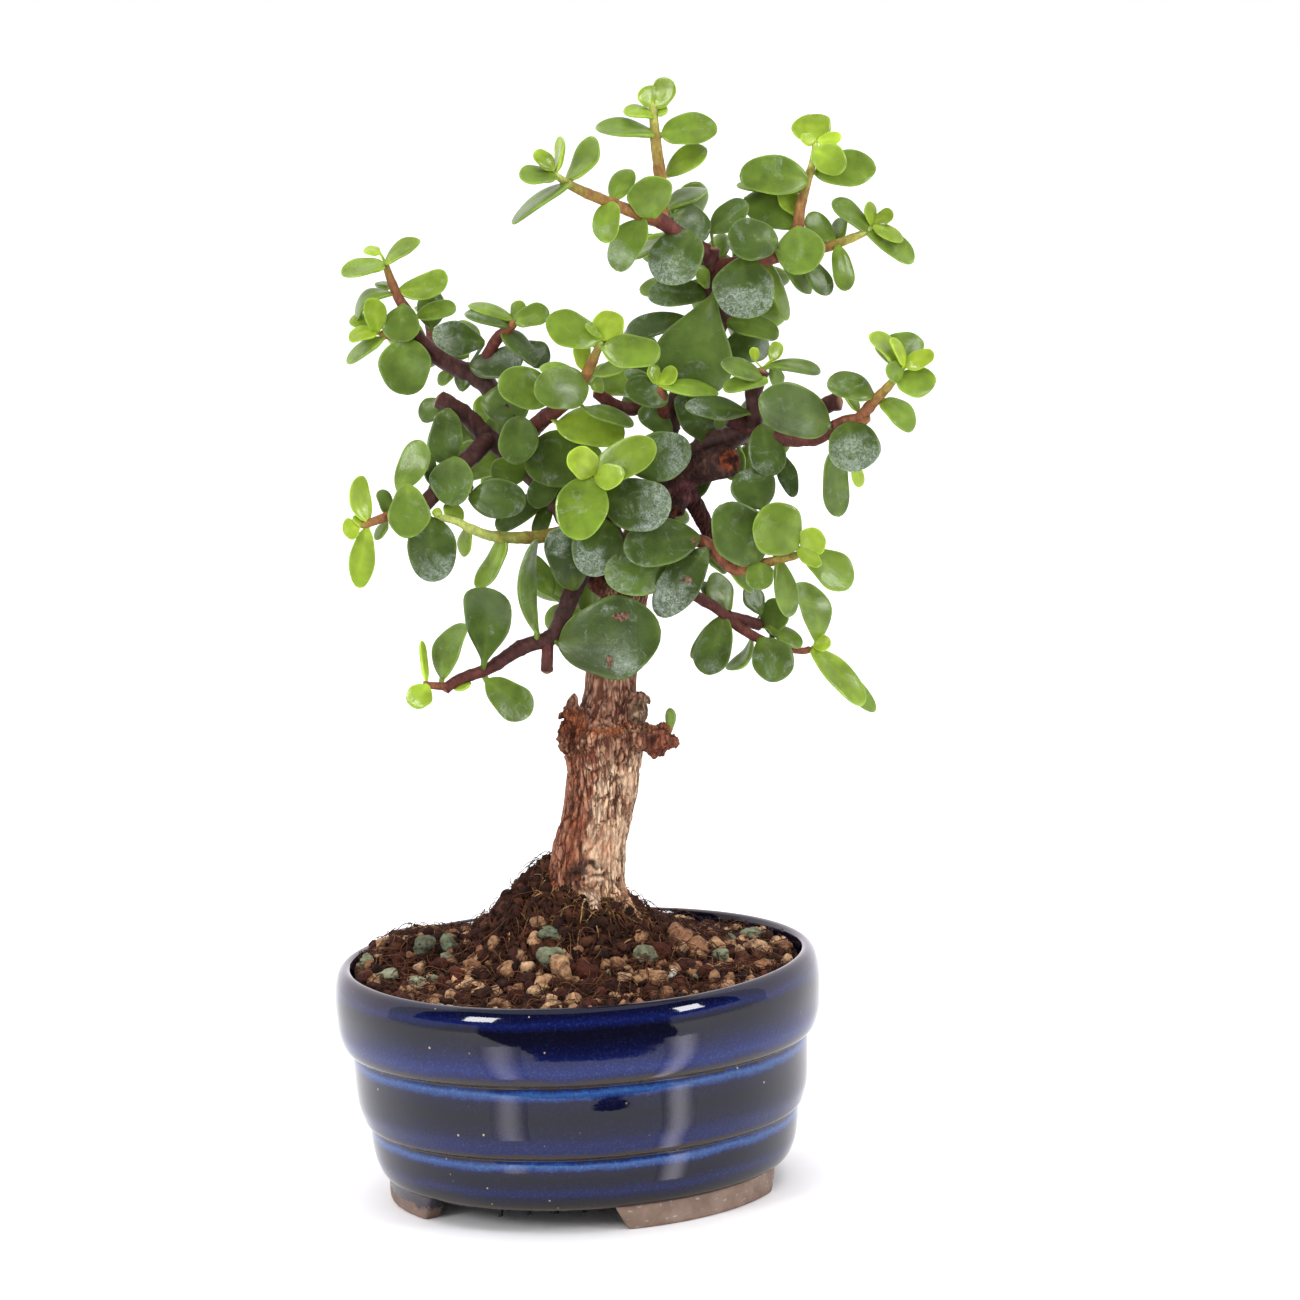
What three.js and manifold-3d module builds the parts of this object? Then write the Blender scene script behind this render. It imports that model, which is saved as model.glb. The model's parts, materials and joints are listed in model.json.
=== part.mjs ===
// Dwarf jade bonsai in a round three-footed glazed pot.
//
// Millimetres, +Z up. The plant is drawn from its front: a place is written as
// (across, up, depth), where across and up are read on an upright drawing through the
// middle of the pot, and depth is how far behind (+) or before (-) that drawing it lies.
// The drawing is seen from EYE, so a piece that is moved in depth slides along its sight line.

import * as THREE from 'three';
import { mergeVertices } from 'three/addons/utils/BufferGeometryUtils.js';
import Module from 'manifold-3d';

const wasm = await Module();
wasm.setup();

// ---------------------------------------------------------------- driving dimensions

const EYE = new THREE.Vector3(23, -1368, 346);
const GAP = 0.3; // clearance between two neighbouring solids
const FINE = 0.12; // details smaller than this are smoothed away

const POT = {
  rim: 62.5, // outer radius of the lip
  height: 61,
  body: 6, // height of the body's underside, on its feet
  floor: 11, // top of the floor inside
  sides: 36,
};

const HOLE = { radius: 15.5, out: 29, angles: [-113, 7, 127], sides: 20 };
const NET = {
  radius: 17.4, thick: 1.2, bar: 1.8, pitch: 7, sides: 20,
  peg: 1.15, pegEnd: 1.4, pegRow: 8.5, // a peg's radius, how low it hangs, and where its row is
};

const FOOT = { inner: 46, outer: 51, half: 33, lead: 4, steps: 8, angles: [-50, -170, 70] };

const SOIL = {
  edge: 57.6, // height of the soil where it meets the wall
  mounds: [[4.3, 0, 18, 24], [-9, 5, 13, 16], [-40, 8, 6, 12]], // [x, y, rise, width]
  grain: 0.9, // relief of the grains
  pitch: 9,
  rings: 8,
  spokes: 28,
};

const LEAF = { half: 0.8, perAge: 0.12, foot: 0.6 }; // half the thickness of a blade, and of its foot
const PAIRS = { first: 9, pitch: 9, length: 10.5, spread: 4, slim: 0.72 };

// ---------------------------------------------------------------- solids and meshes

function toSolid(geometry) {
  geometry.deleteAttribute('normal');
  geometry.deleteAttribute('uv');
  const merged = mergeVertices(geometry, 1e-4);
  return new wasm.Manifold(new wasm.Mesh({
    numProp: 3,
    vertProperties: new Float32Array(merged.attributes.position.array),
    triVerts: new Uint32Array(merged.index.array),
  }));
}

function toMesh(solid, name, material) {
  const { vertProperties, triVerts } = solid.getMesh();
  const geometry = new THREE.BufferGeometry();
  geometry.setAttribute('position', new THREE.BufferAttribute(new Float32Array(vertProperties), 3));
  geometry.setIndex(new THREE.BufferAttribute(new Uint32Array(triVerts), 1));
  geometry.computeVertexNormals();
  const mesh = new THREE.Mesh(geometry, material);
  mesh.name = name;
  return mesh;
}

const fuse = (solids) => solids.reduce((whole, next) => whole.add(next));

// The largest connected body of a solid: a cut can leave a crumb beside it.
function largest(solid) {
  const bodies = solid.decompose().sort((a, b) => b.volume() - a.volume());
  return bodies[0];
}

// Closed rings of points, the same number in each, joined in order and capped at both ends;
// the last may be a single point. Each ring turns anticlockwise seen from the end towards
// which the rings advance.
function loft(rings) {
  const sides = rings[0].length;
  const points = rings.flat();
  const faces = [];
  const pointed = rings[rings.length - 1].length === 1;
  const whole = pointed ? rings.length - 1 : rings.length;
  for (let k = 0; k + 1 < whole; k += 1) {
    for (let i = 0; i < sides; i += 1) {
      const a = k * sides + i;
      const b = k * sides + ((i + 1) % sides);
      faces.push(a, b, b + sides, a, b + sides, a + sides);
    }
  }
  const last = (whole - 1) * sides;
  for (let i = 1; i + 1 < sides; i += 1) {
    faces.push(0, i + 1, i);
    if (!pointed) faces.push(last, last + i, last + i + 1);
  }
  for (let i = 0; pointed && i < sides; i += 1) {
    faces.push(last + i, last + ((i + 1) % sides), points.length - 1);
  }
  const geometry = new THREE.BufferGeometry().setFromPoints(points);
  geometry.setIndex(faces);
  return toSolid(geometry);
}

// ---------------------------------------------------------------- places on the drawing

function place(across, up, depth) {
  const onDrawing = new THREE.Vector3(across, 0, up);
  const t = (depth - EYE.y) / -EYE.y;
  return new THREE.Vector3().lerpVectors(EYE, onDrawing, t);
}

// A stem is a smooth curve through [across, up, depth, radius] points.
function stemPath(points, step) {
  const drawn = points.map(([across, up, depth]) => new THREE.Vector3(across, up, depth));
  const curve = new THREE.CatmullRomCurve3(drawn, false, 'catmullrom', 0.5);
  const spans = points.length - 1;
  const path = [];
  for (let k = 0; k < spans; k += 1) {
    const steps = Math.max(1, Math.round(drawn[k].distanceTo(drawn[k + 1]) / step));
    for (let i = 0; i < steps; i += 1) {
      path.push([(k + i / steps) / spans, k + i / steps]);
    }
  }
  path.push([1, spans]);
  return path.map(([t, u]) => {
    const at = curve.getPoint(t);
    const k = Math.min(Math.floor(u), spans - 1);
    const radius = THREE.MathUtils.lerp(points[k][3], points[k + 1][3], u - k);
    return { across: at.x, up: at.y, depth: at.z, radius, point: place(at.x, at.y, at.z) };
  });
}

// A tapering tube: each ring's frame is carried over from the ring before it, so it never twists.
function tube(path, sides, grow = 0) {
  let normal = null;
  const rings = path.map((station, k) => {
    const before = path[Math.max(k - 1, 0)].point;
    const after = path[Math.min(k + 1, path.length - 1)].point;
    const along = after.clone().sub(before).normalize();
    if (normal === null) {
      normal = new THREE.Vector3(1, 0, 0);
      if (Math.abs(along.x) > 0.9) normal.set(0, 0, 1);
    }
    normal.addScaledVector(along, -normal.dot(along)).normalize();
    const side = along.clone().cross(normal);
    const ends = k === 0 || k === path.length - 1;
    const centre = station.point.clone();
    if (grow > 0 && ends) centre.addScaledVector(along, k === 0 ? -grow : grow);
    const radius = station.radius + grow;
    return Array.from({ length: sides }, (_, i) => {
      const angle = (2 * Math.PI * i) / sides;
      return centre.clone()
        .addScaledVector(normal, radius * Math.cos(angle))
        .addScaledVector(side, radius * Math.sin(angle));
    });
  });
  return loft(rings);
}

// ---------------------------------------------------------------- leaves

const STATIONS = [[0.34, 0.86, 1], [0.8, 0.93, 0.9]]; // [along, part of the width, part of the thickness]

// The upper face of a leaf is turned from the viewer (roll 0) to the sky (roll 90).
function faceOf(base, tip, roll) {
  const along = tip.clone().sub(base).normalize();
  const toViewer = EYE.clone().sub(base);
  toViewer.addScaledVector(along, -toViewer.dot(along)).normalize();
  const toSky = along.cross(toViewer);
  if (toSky.z < 0) toSky.negate();
  const turn = THREE.MathUtils.degToRad(roll);
  return toViewer.multiplyScalar(Math.cos(turn)).addScaledVector(toSky, Math.sin(turn));
}

// A fleshy blade: three-sided sections, keeled on the upper face, along a middle line that
// bows out by arch towards that face, from a foot sunk in the stem. Older leaves are thicker.
function blade(root, base, tip, width, face, arch, age) {
  const along = tip.clone().sub(base);
  const side = along.clone().cross(face).normalize();
  const half = LEAF.half + LEAF.perAge * age;
  const section = (centre, across, thick) => [
    centre.clone().addScaledVector(side, -across).addScaledVector(face, -0.5 * thick),
    centre.clone().addScaledVector(face, 1.5 * thick),
    centre.clone().addScaledVector(side, across).addScaledVector(face, -0.5 * thick),
  ];
  const rings = [section(root, LEAF.foot, LEAF.foot)];
  for (const [s, wide, thick] of STATIONS) {
    const centre = base.clone().addScaledVector(along, s).addScaledVector(face, arch * 4 * s * (1 - s));
    rings.push(section(centre, (width / 2) * wide, half * thick));
  }
  rings.push([tip]);
  return loft(rings);
}

// The station of a shoot's stems that lies nearest to a place on the drawing.
function nearest(paths, across, up) {
  const away = (station) => Math.hypot(station.across - across, station.up - up);
  return paths.flat().reduce((best, station) => (away(station) < away(best) ? station : best));
}

// A leaf is [base across, base up, tip across, tip up, width, away, roll, arch, age]: away is
// how much further back the tip lies than the base. It grows from the nearest stem.
function leafOn(paths, [baseAcross, baseUp, tipAcross, tipUp, width, away, roll, arch, age]) {
  const foot = nearest(paths, baseAcross, baseUp);
  const base = place(baseAcross, baseUp, foot.depth);
  const tip = place(tipAcross, tipUp, foot.depth + away);
  return blade(foot.point, base, tip, width, faceOf(base, tip, roll), arch, age);
}

// Leaves by rule, for the shoots behind the crown: opposite pairs, each pair a quarter turn
// from the one before, upper faces towards the tip of the shoot.
function pairsOn(path, random) {
  const leaves = [];
  const first = path[0].point;
  let next = PAIRS.first;
  let quarter = 0;
  for (let k = 1; k < path.length; k += 1) {
    const { point } = path[k];
    const gone = point.distanceTo(first);
    const ends = k === path.length - 1;
    if (gone >= next || ends) {
      const along = point.clone().sub(path[k - 1].point).normalize();
      const level = new THREE.Vector3(0, 0, 1).cross(along).normalize();
      const rise = along.clone().cross(level);
      const turn = quarter * (Math.PI / 2) + 0.5 * random();
      const out = level.multiplyScalar(Math.cos(turn)).addScaledVector(rise, Math.sin(turn));
      for (const way of [1, -1]) {
        const aim = out.clone().multiplyScalar(way)
          .addScaledVector(along, ends ? 1.2 : 0.45 + 0.3 * random()).normalize();
        const length = (ends ? 0.6 : 1) * (PAIRS.length + PAIRS.spread * random());
        const base = point.clone().addScaledVector(aim, path[k].radius + 0.3);
        const tip = base.clone().addScaledVector(aim, length);
        const face = along.clone().addScaledVector(aim, -along.dot(aim)).normalize();
        leaves.push(blade(point, base, tip, PAIRS.slim * length, face, 0.5, 1));
      }
      next = gone + PAIRS.pitch;
      quarter += 1;
    }
  }
  return leaves;
}

function seeded(seed) {
  let state = seed;
  return () => {
    state = (Math.imul(state, 1664525) + 1013904223) >>> 0;
    return state / 4294967296;
  };
}

// ---------------------------------------------------------------- the trunk

// Each row is [across, up, depth, radius].
const TRUNK = [
  [[4.2, 50, 0, 7], [4.3, 66, 0, 8.2], [4.5, 76, 0, 8.8], [4.9, 83, 0, 8.6], [5.9, 90, 0, 8.5],
    [8.1, 100, 0, 8.7], [9.6, 108, 0, 9.0], [9.9, 114, 0, 10.1], [9.6, 119, 0, 10.5],
    [10.8, 123.5, 0, 9.2], [12.2, 127, 0.5, 6.6], [12.8, 133, 1, 6.4], [14.5, 142, 1, 6.2],
    [17, 152, 1, 5.9], [21, 163, 0.5, 5.4], [26, 173, 0, 5], [31, 181, 0, 4.6]],
  // roots
  [[6, 80, -2, 5], [11.5, 73, -5, 3], [16, 67, -8, 2], [19, 60, -10, 1.4]],
  [[2, 80, -4, 4], [4.2, 73, -9, 2.4], [4, 66, -12, 1.8], [3, 60, -13, 1.3]],
  [[2, 84, 1, 5], [-5, 79, 3, 4], [-11, 72, 5, 3], [-16, 62, 6, 2]],
  [[7, 80, 4, 4.5], [13, 72, 10, 3], [18, 62, 15, 2]],
  // knobs and nubs round the swollen ring
  [[6, 124, -5, 3.2], [2.2, 124.3, -7, 3.6], [1.6, 121, -7, 3.2]],
  [[12, 121, -4, 3], [18, 122, -7, 3.2], [20.9, 122, -9, 3.1]],
  [[14, 114, -3, 4], [21, 114.2, -5, 3.6], [25.5, 114.6, -6, 3.3], [28, 114.8, -6, 2.3]],
  [[23, 114, -5, 2.6], [26.2, 111.5, -6, 1.8]],
  // the green bud
  [[26.6, 116, -6, 1.2], [27.1, 119.4, -6, 1.5], [27.2, 121.4, -6, 1.1], [27.3, 122.8, -6, 0.4]],
  // torn and cut stubs
  [[15, 152, -3, 2.4], [10, 156, -4, 2.2], [8.5, 157.3, -4, 1.7]],
  [[30, 181, -1, 3.9], [38, 184.2, -3, 3.6], [45.3, 186.5, -4, 3.3]],
  [[33, 178, -2, 2], [31.2, 172.5, -6, 1.8]],
  [[33, 179, 1, 2.8], [35.5, 176, 1, 2.3], [39, 168, 1, 1.9], [41, 160.5, 0, 1.6]],
];

// ---------------------------------------------------------------- the shoots

// name, the solids it grows from, how much it leans away from the viewer for each millimetre
// that it reaches out (a minus leans forward), its stems, and its leaves (see leafOn).
const SHOOTS = [
  ['leader', ['trunk'], 0, [
    [[29.5, 178.5, 0, 4.2], [30, 184, 0.5, 4], [29.5, 188, 1, 3.5], [30, 195, 2, 3.2], [35, 204, 3, 2.9],
      [41, 213, 3, 2.7], [44, 220, 3, 2.3], [43.3, 228, 2, 2.1], [42.8, 234, 1, 2], [43.8, 240, 0, 1.8]],
  ], [
    [46, 220.5, 59.3, 216.5, 7.5, -1, 35, 0.8, 1.7],
    [43.8, 228.5, 36.5, 203, 20, -3, 5, 1, 1.6],
    [41.5, 229.5, 26.7, 228.3, 6.5, 0, 40, 0.8, 2],
    [38, 231, 24.7, 229.8, 6, 5, 35, 0.5, 1],
    [42, 229.5, 39.7, 235.3, 4, -2, 30, 0, 1],
    [36, 222, 20.8, 219.6, 6, 6, 35, 0.8, 1.8],
    [45.5, 214.5, 56.8, 213.8, 9, 3, 15, 0, 2],
    [43.5, 243.5, 52.5, 251, 8, 2, 30, 0, 1.7],
  ]],
  ['crown_left', ['leader'], -0.45, [
    [[42.5, 238, 1, 2.2], [36.5, 242, 1, 2.1], [31, 247, 0, 1.9], [26.5, 248.5, -1, 1.6], [22, 250.5, -2, 1.5],
      [17, 252.8, -3, 1.4], [12, 255.2, -4, 1.3], [8, 257.5, -5, 1.1], [4.5, 260.3, -6, 0.7]],
  ], [
    [8.5, 257.5, -6.5, 248, 8, -2, 70, 1, 1],
    [8.8, 258, 17, 268.5, 8, 2, 48, -1.5, 1],
    [5, 259.5, -4, 259.8, 7.5, -3, 52, 0.5, 1],
    [5, 260.5, 6.8, 269.5, 5.5, 2, 70, -0.5, 0.3],
    [4.8, 261, 0, 265.8, 5, -1, 35, 0.5, 0.3],
    [18.5, 253, 22.5, 260, 6.5, 3, 35, 0, 1],
    [17.5, 252.5, 14.2, 242.2, 7, -4, 15, 1, 1],
    [16.5, 253.5, 13, 255, 4, 4, 60, 0, 1],
    [29.5, 248, 27.3, 258, 11.8, -5, 10, 0.5, 1],
    [26.5, 247.5, 18.6, 235.8, 7.5, -2, 20, 1, 1.5],
    [34, 243, 23.3, 239.6, 7, 4, 75, 0.5, 1.5],
    [38.5, 243.8, 30.3, 231.3, 13.5, -5, 10, 0.8, 2],
  ]],
  ['crown_top', ['crown_left'], 0.25, [
    [[31.2, 246, 0, 1.5], [31.8, 249.5, 2, 1.5], [32.2, 257, 3, 1.3], [31.5, 266, 3, 1.1], [31, 274, 3, 0.9],
      [30.7, 277, 3, 0.6]],
  ], [
    [32.3, 268.5, 46.5, 269.5, 8.5, 1, 25, 0.8, 1],
    [31, 269, 15.3, 272.3, 8.5, -1, 62, 1, 1],
    [33, 258.5, 43.5, 264.5, 7, 2, 45, 0.5, 1],
    [34, 248, 43.2, 243.5, 10, 3, 25, -1, 2],
    [33, 250, 42.5, 254.5, 7, 8, 55, 0.5, 1.5],
    [31, 273.5, 22.8, 275.6, 6, -1, 68, 0.8, 0.5],
    [31.2, 273.5, 34, 275.3, 4, 0, 60, 0, 0.3],
    [30.8, 276, 29.3, 281.8, 6, 0, 25, 0, 0.2],
    [31, 276, 36.3, 282.8, 7, -1, 25, -0.5, 0.3],
  ]],
  ['crown_right', ['leader'], 0.35, [
    [[43.5, 235, 1, 1.9], [52.5, 235.5, -2, 1.8], [60, 236.5, -3, 1.6], [66, 237.5, -3, 1.4], [73, 238.5, -4, 1.3],
      [78, 240, -5, 1.1], [82, 241.5, -6, 0.9], [84, 243, -6, 0.7]],
    [[64, 237.3, -3, 1.5], [65.5, 244, -2, 1.5], [66, 248, -2, 1.4], [67.5, 253, -2, 1.2], [69.2, 258, -2, 1],
      [70, 261, -2, 0.9], [70.7, 264.8, -2, 0.7]],
  ], [
    [68.3, 255.3, 52, 256.5, 8.8, -2, 15, 0.8, 1],
    [67.5, 253, 50.3, 255, 6, 3, 60, 0, 1],
    [70.5, 257, 84.8, 257, 9, 2, 30, 0.8, 1],
    [70, 262.8, 77.5, 257.2, 8, -3, 10, 0.5, 0.5],
    [71, 265, 69.3, 271.8, 10.5, 3, 10, 0, 0.4],
    [70.8, 265, 67, 266.2, 3.5, -1, 20, 0, 0],
    [71.2, 264.8, 77.3, 266, 3.8, -1, 20, 0, 0],
    [66.2, 246.5, 61.5, 253.8, 6.5, 3, 35, 0, 1],
    [64.5, 243.5, 52.8, 252, 9, 6, 30, 0.5, 1.6],
    [65.5, 243.5, 65.5, 231.7, 12.3, -6, 5, 0.8, 0.9],
    [66, 236.5, 72.6, 226.3, 6.5, -1, 30, 0.6, 1.7],
    [61, 236, 68, 227, 6, 4, 40, 0.5, 1],
    [75, 238.5, 76.7, 227, 6, -2, 20, 0.6, 1],
    [74, 239.5, 68.8, 246.3, 6, 1, 35, -0.8, 1.6],
    [75, 239.5, 76, 245.5, 5, 5, 35, 0, 1],
    [83, 242, 74.3, 250, 7, 1, 45, 0.6, 1],
    [84, 242.3, 94.3, 232.8, 8, -1, 48, 0.8, 1],
    [84.5, 243.5, 84.2, 249.3, 4, 0, 50, 0, 0.2],
    [84.5, 243.5, 89.3, 246.5, 4.5, -1, 30, 0, 0.2],
    [84.3, 243, 91.5, 238.8, 5, -2, 45, 0.5, 0.4],
    [60, 240.5, 47.3, 241.3, 11.5, -4, 20, 1, 2],
    [51, 237, 52, 221.3, 16, -5, 8, 0.8, 2],
    [56, 236, 61.6, 220.3, 6, 3, 50, 0.8, 1],
  ]],
  ['right_limb', ['trunk', 'leader'], -0.2, [
    [[30, 181, 2, 3.3], [33, 184, 3, 3.2], [36, 187, 3, 3], [41, 190.5, 2, 2.6], [47, 192.5, 0, 2.4],
      [52, 195.5, -2, 2.3], [52.5, 203, -3, 2.3], [54.8, 208.5, -3, 1.8]],
  ], [
    [50.5, 197.5, 34.7, 199.8, 7, -3, 45, 0.8, 2],
    [41, 190.5, 33, 203, 9, -1, 20, 0.8, 2],
    [51, 187, 49, 181.5, 5, 5, 20, 0, 1],
    [57, 209.3, 69.4, 206.8, 6.5, -1, 62, 0.8, 1],
    [54.5, 206, 44.3, 210.4, 6, -2, 45, 0.5, 1],
    [56, 205.5, 44.6, 203.6, 6, -2, 48, 0.5, 1],
    [57, 208.5, 59.3, 204, 4.5, 3, 30, 0, 1],
    [53, 210.5, 52.6, 214, 2.6, -1, 10, 0, 0],
    [57, 210.3, 59.3, 215, 4, 0, 20, 0, 0],
  ]],
  ['right_branch', ['right_limb'], -0.4, [
    [[51, 193.5, -1, 2.2], [57, 191, -3, 2.1], [66, 190, -5, 1.9], [70.5, 191.5, -6, 1.8], [75, 194, -7, 1.6],
      [79.5, 194.5, -7, 1.4], [81.3, 193.9, -7, 1.3]],
    [[67, 190.5, -5, 1.9], [68.5, 196.5, -4, 2], [71, 198.6, -4, 2.2], [74.5, 199.2, -4, 2.2]],
    [[78.5, 194.5, -7, 1.5], [83, 199.2, -8, 1.4], [86.4, 202.5, -8, 1.1], [90, 206.5, -9, 0.7]],
  ], [
    [58, 187, 61.3, 175.4, 5, -1, 15, 0.4, 2],
    [54, 194.3, 56, 181, 9.6, -4, 5, 0.5, 2],
    [54, 198.5, 71, 195.5, 14, -5, 8, 1, 1.7],
    [75.5, 193.8, 77.8, 181.2, 13.4, -3, 8, 0.5, 2],
    [72.5, 187.5, 72.2, 169.8, 8.5, 1, -35, -0.8, 1.5],
    [77, 183, 78.3, 177.2, 3.5, 3, 20, 0, 0.3],
    [82.5, 200.3, 70.8, 204, 8.5, -1, 35, 1, 1.3],
    [78.5, 196.5, 75, 203, 4, 2, 50, 0, 1],
    [85, 198.2, 92.5, 190.6, 7.5, -1, 42, 1.2, 1],
    [88.5, 204, 98.4, 202.8, 8, -3, 22, -1, 0.8],
    [89.3, 204, 86.5, 208, 5.5, -3, 25, 0, 0.8],
    [89, 207.5, 82.6, 215.9, 6, 0, 55, 1, 0.8],
    [90, 207, 90.5, 216, 12, 3, 15, 0.5, 1],
    [90.5, 207.5, 87.4, 214.6, 4, -2, 50, 0.5, 0],
    [90.8, 207.3, 98.2, 210.3, 5, -1, 20, 0.3, 0],
  ]],
  ['left_limb', ['trunk'], 0.15, [
    [[17, 153, 2, 4], [8, 168, 4, 3.8], [-2, 182, 5, 3.3], [-10, 190, 4, 2.9], [-15.5, 194.5, 2, 2.6],
      [-19, 200, 1, 2.6], [-25.2, 205, 0, 2.6]],
  ], [
    [-0.5, 179.5, -14.5, 171, 7.5, -1, 30, 0.8, 1.8],
    [-0.8, 177, -4.5, 168.3, 5, -1, 25, 0.5, 1.5],
    [-8, 186, -14.5, 183.5, 8, 1, 20, 0, 1.6],
    [-25, 204.5, -31.8, 201.2, 6.5, -1, 25, 0.5, 1.5],
    [-23.5, 202.8, -26.3, 189, 8.8, -4, 10, 0.8, 1.8],
  ]],
  ['left_mid', ['left_limb'], -0.4, [
    [[-15.5, 194.5, 2, 2.5], [-19, 190.5, -1, 2.4], [-24, 186.5, -4, 2.3], [-30, 180.5, -6, 2.1],
      [-33.5, 177.5, -7, 1.9], [-41, 175.8, -8, 1.3], [-45, 174.7, -9, 1.1], [-49, 173.4, -9, 0.8]],
    [[-23, 187, -4, 1.6], [-20.5, 181, -6, 1.2]],
  ], [
    [-37, 183.5, -30.5, 194.3, 7.5, 2, 32, -1.2, 1],
    [-30, 183, -30.4, 191.3, 4.5, 3, 40, 0, 2],
    [-24.3, 189.8, -24.8, 177.5, 11, -5, 5, 0.8, 1.6],
    [-36.5, 183.5, -36.9, 169.8, 10.4, -5, 5, 0.6, 1.3],
    [-31.3, 175, -31, 158.3, 12.6, -2, 8, 0.8, 2],
    [-20, 180, -7, 178, 8.6, -3, 15, 0.8, 2],
    [-47, 174.8, -42.8, 186.2, 7, -1, 35, -1.5, 0.8],
    [-47.5, 172.8, -49.5, 157.7, 6.2, -1, 10, -0.8, 0.8],
    [-49.3, 173, -53.4, 172.3, 5.8, -1, 20, 0.3, 0],
    [-48.6, 173.5, -50.3, 176.3, 3, 1, 40, 0, 0.2],
    [-41.3, 176, -42.3, 183.4, 4, 3, 35, 0, 1.5],
    [-42, 174, -45.5, 170.2, 3.5, 3, 45, 0, 1],
  ]],
  ['pale_left', ['left_limb'], -0.2, [
    [[6, 170, 2, 1.9], [-2, 168.7, -2, 1.7], [-7, 168.5, -4, 1.6], [-15.5, 169.3, -6, 1.4], [-21, 171.5, -7, 1.2],
      [-24, 173.3, -7, 1], [-29, 175, -8, 0.8]],
  ], [
    [-23.5, 173, -26.5, 178.5, 6, 2, 40, 0, 0.6],
    [-28.5, 174.8, -30, 177, 3, 0, 30, 0, 0],
    [-22.5, 172, -24, 165.5, 4.5, 2, 45, 0, 1],
    [-15.3, 168.5, -20.3, 156.5, 5, -1, 60, -1.5, 1],
  ]],
  ['upper_left', ['left_limb'], 0.35, [
    [[-2, 183, 4, 2.6], [-6, 194, 5, 2.5], [-12, 205, 6, 2.3], [-18, 211.5, 6, 2.1], [-24, 214.5, 5, 1.9],
      [-29, 218, 4, 1.8], [-32.5, 222, 3, 1.7], [-34.5, 228, 2, 1.5], [-36, 231, 2, 1.3], [-37.8, 236, 1, 1.1],
      [-39, 240.5, 0, 0.8]],
    [[-31.5, 221.5, 3, 1.4], [-37, 221, 1, 1.1], [-41.5, 222.3, 0, 0.9]],
  ], [
    [-38.6, 240.3, -29.2, 245.6, 8, -2, 60, 1, 0.7],
    [-39, 240, -50.2, 238.8, 8, -2, 58, 0.6, 1],
    [-40, 242.5, -43.9, 243.6, 4.5, 2, 55, 0, 0],
    [-35.3, 231.5, -23, 234.6, 8.5, 0, 42, -1.2, 1],
    [-37.3, 232, -47, 225.8, 6.5, -1, 60, 3.5, 1],
    [-38.3, 233.5, -41, 235, 4, 4, 60, 0, 1],
    [-31.5, 226, -21.6, 228, 6, 2, 35, 0.5, 1],
    [-35, 229, -35.2, 219.6, 9.8, -4, 8, 0.6, 1.1],
    [-34.5, 220.5, -35.3, 206.2, 13.4, -3, 5, 0.8, 1.5],
    [-41.8, 222.8, -43.2, 231.3, 6.2, -3, 15, 1, 0.3],
    [-42.2, 222.5, -49, 220.8, 6, -2, 50, 0.8, 0.3],
    [-42.5, 223.5, -47.8, 226, 6, 2, 40, 0.5, 0.8],
    [-40.5, 221, -49.9, 215, 6.5, -1, 58, 0.6, 1],
    [-15, 218.5, -28, 221.3, 8.7, -4, 12, -0.8, 2],
    [-21.5, 206.5, -18.8, 213.8, 5.5, 1, 35, 0.3, 2],
    [-23, 211.5, -27.3, 209, 4, 3, 30, 0, 1],
    [-19, 215.5, -25.8, 216.5, 4, 2, 60, 0, 1],
    [-16.5, 204, -4.8, 200.5, 10.5, -2, 10, 0.5, 1.7],
    [8, 183, -6, 190, 12, 5, 15, 0.5, 1.8],
  ]],
  ['upper_left_twig', ['upper_left'], -0.3, [
    [[-14.5, 212.5, 6, 1.6], [-12, 219, 5, 1.5], [-8.5, 222, 4, 1.3], [-6.8, 223.5, 3, 1]],
  ], [
    [-7.3, 223.8, -18.6, 228.2, 5.5, 2, 55, 0.6, 0.7],
    [-8, 222.5, -19.7, 226, 6.5, -1, 55, 1, 1.8],
    [-7, 223.3, 1.8, 225.6, 6.5, 0, 25, 0.3, 1],
    [-6.8, 223.5, -5.6, 228.8, 4.5, 2, 30, 0, 0.8],
    [-10.3, 221.3, -2, 212.3, 7, -1, 45, 0.5, 1.7],
    [-6, 217.5, 1, 212.5, 7, 2, 20, 0.3, 1.8],
    [-15, 212.5, -3.3, 213.8, 7.8, -2, 25, -0.8, 2],
  ]],
  ['centre_shoot', ['upper_left'], -0.5, [
    [[-6, 194.5, 4, 2], [-1, 198.5, -2, 1.8], [4, 202, -5, 1.6], [9.5, 208, -6, 1.3], [12, 212.5, -7, 1.1],
      [14, 216.5, -7, 0.9], [14.5, 217.8, -7, 0.7]],
  ], [
    [10.5, 205.5, -3, 205.8, 11, -6, 8, 0.8, 1],
    [1, 203.5, -12, 209, 10.8, -3, 12, 0.8, 1.2],
    [13.8, 217.8, 0.8, 223.5, 9, -1, 15, 0.8, 1],
    [15.5, 217.8, 18.3, 224.7, 8.2, 0, 8, 0.4, 0],
    [14.7, 218.3, 10.8, 222, 2.2, -3, 30, 0, 0.1],
    [14.8, 215.5, 29.3, 213.5, 9, -2, 15, 0.8, 0.9],
    [13, 209, 20.8, 211, 5, 1, 45, 0.5, 1],
    [9.5, 210.5, 9.5, 218, 4.8, 1, 20, 0, 1],
    [11.5, 206.5, 14.5, 206, 4.5, 3, 20, 0, 1],
    [8, 209, -1.5, 211.5, 5, 2, 45, 0.5, 0.8],
    [2.3, 197.3, 19, 193.8, 8.5, -5, 40, 0.8, 0.8],
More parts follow.
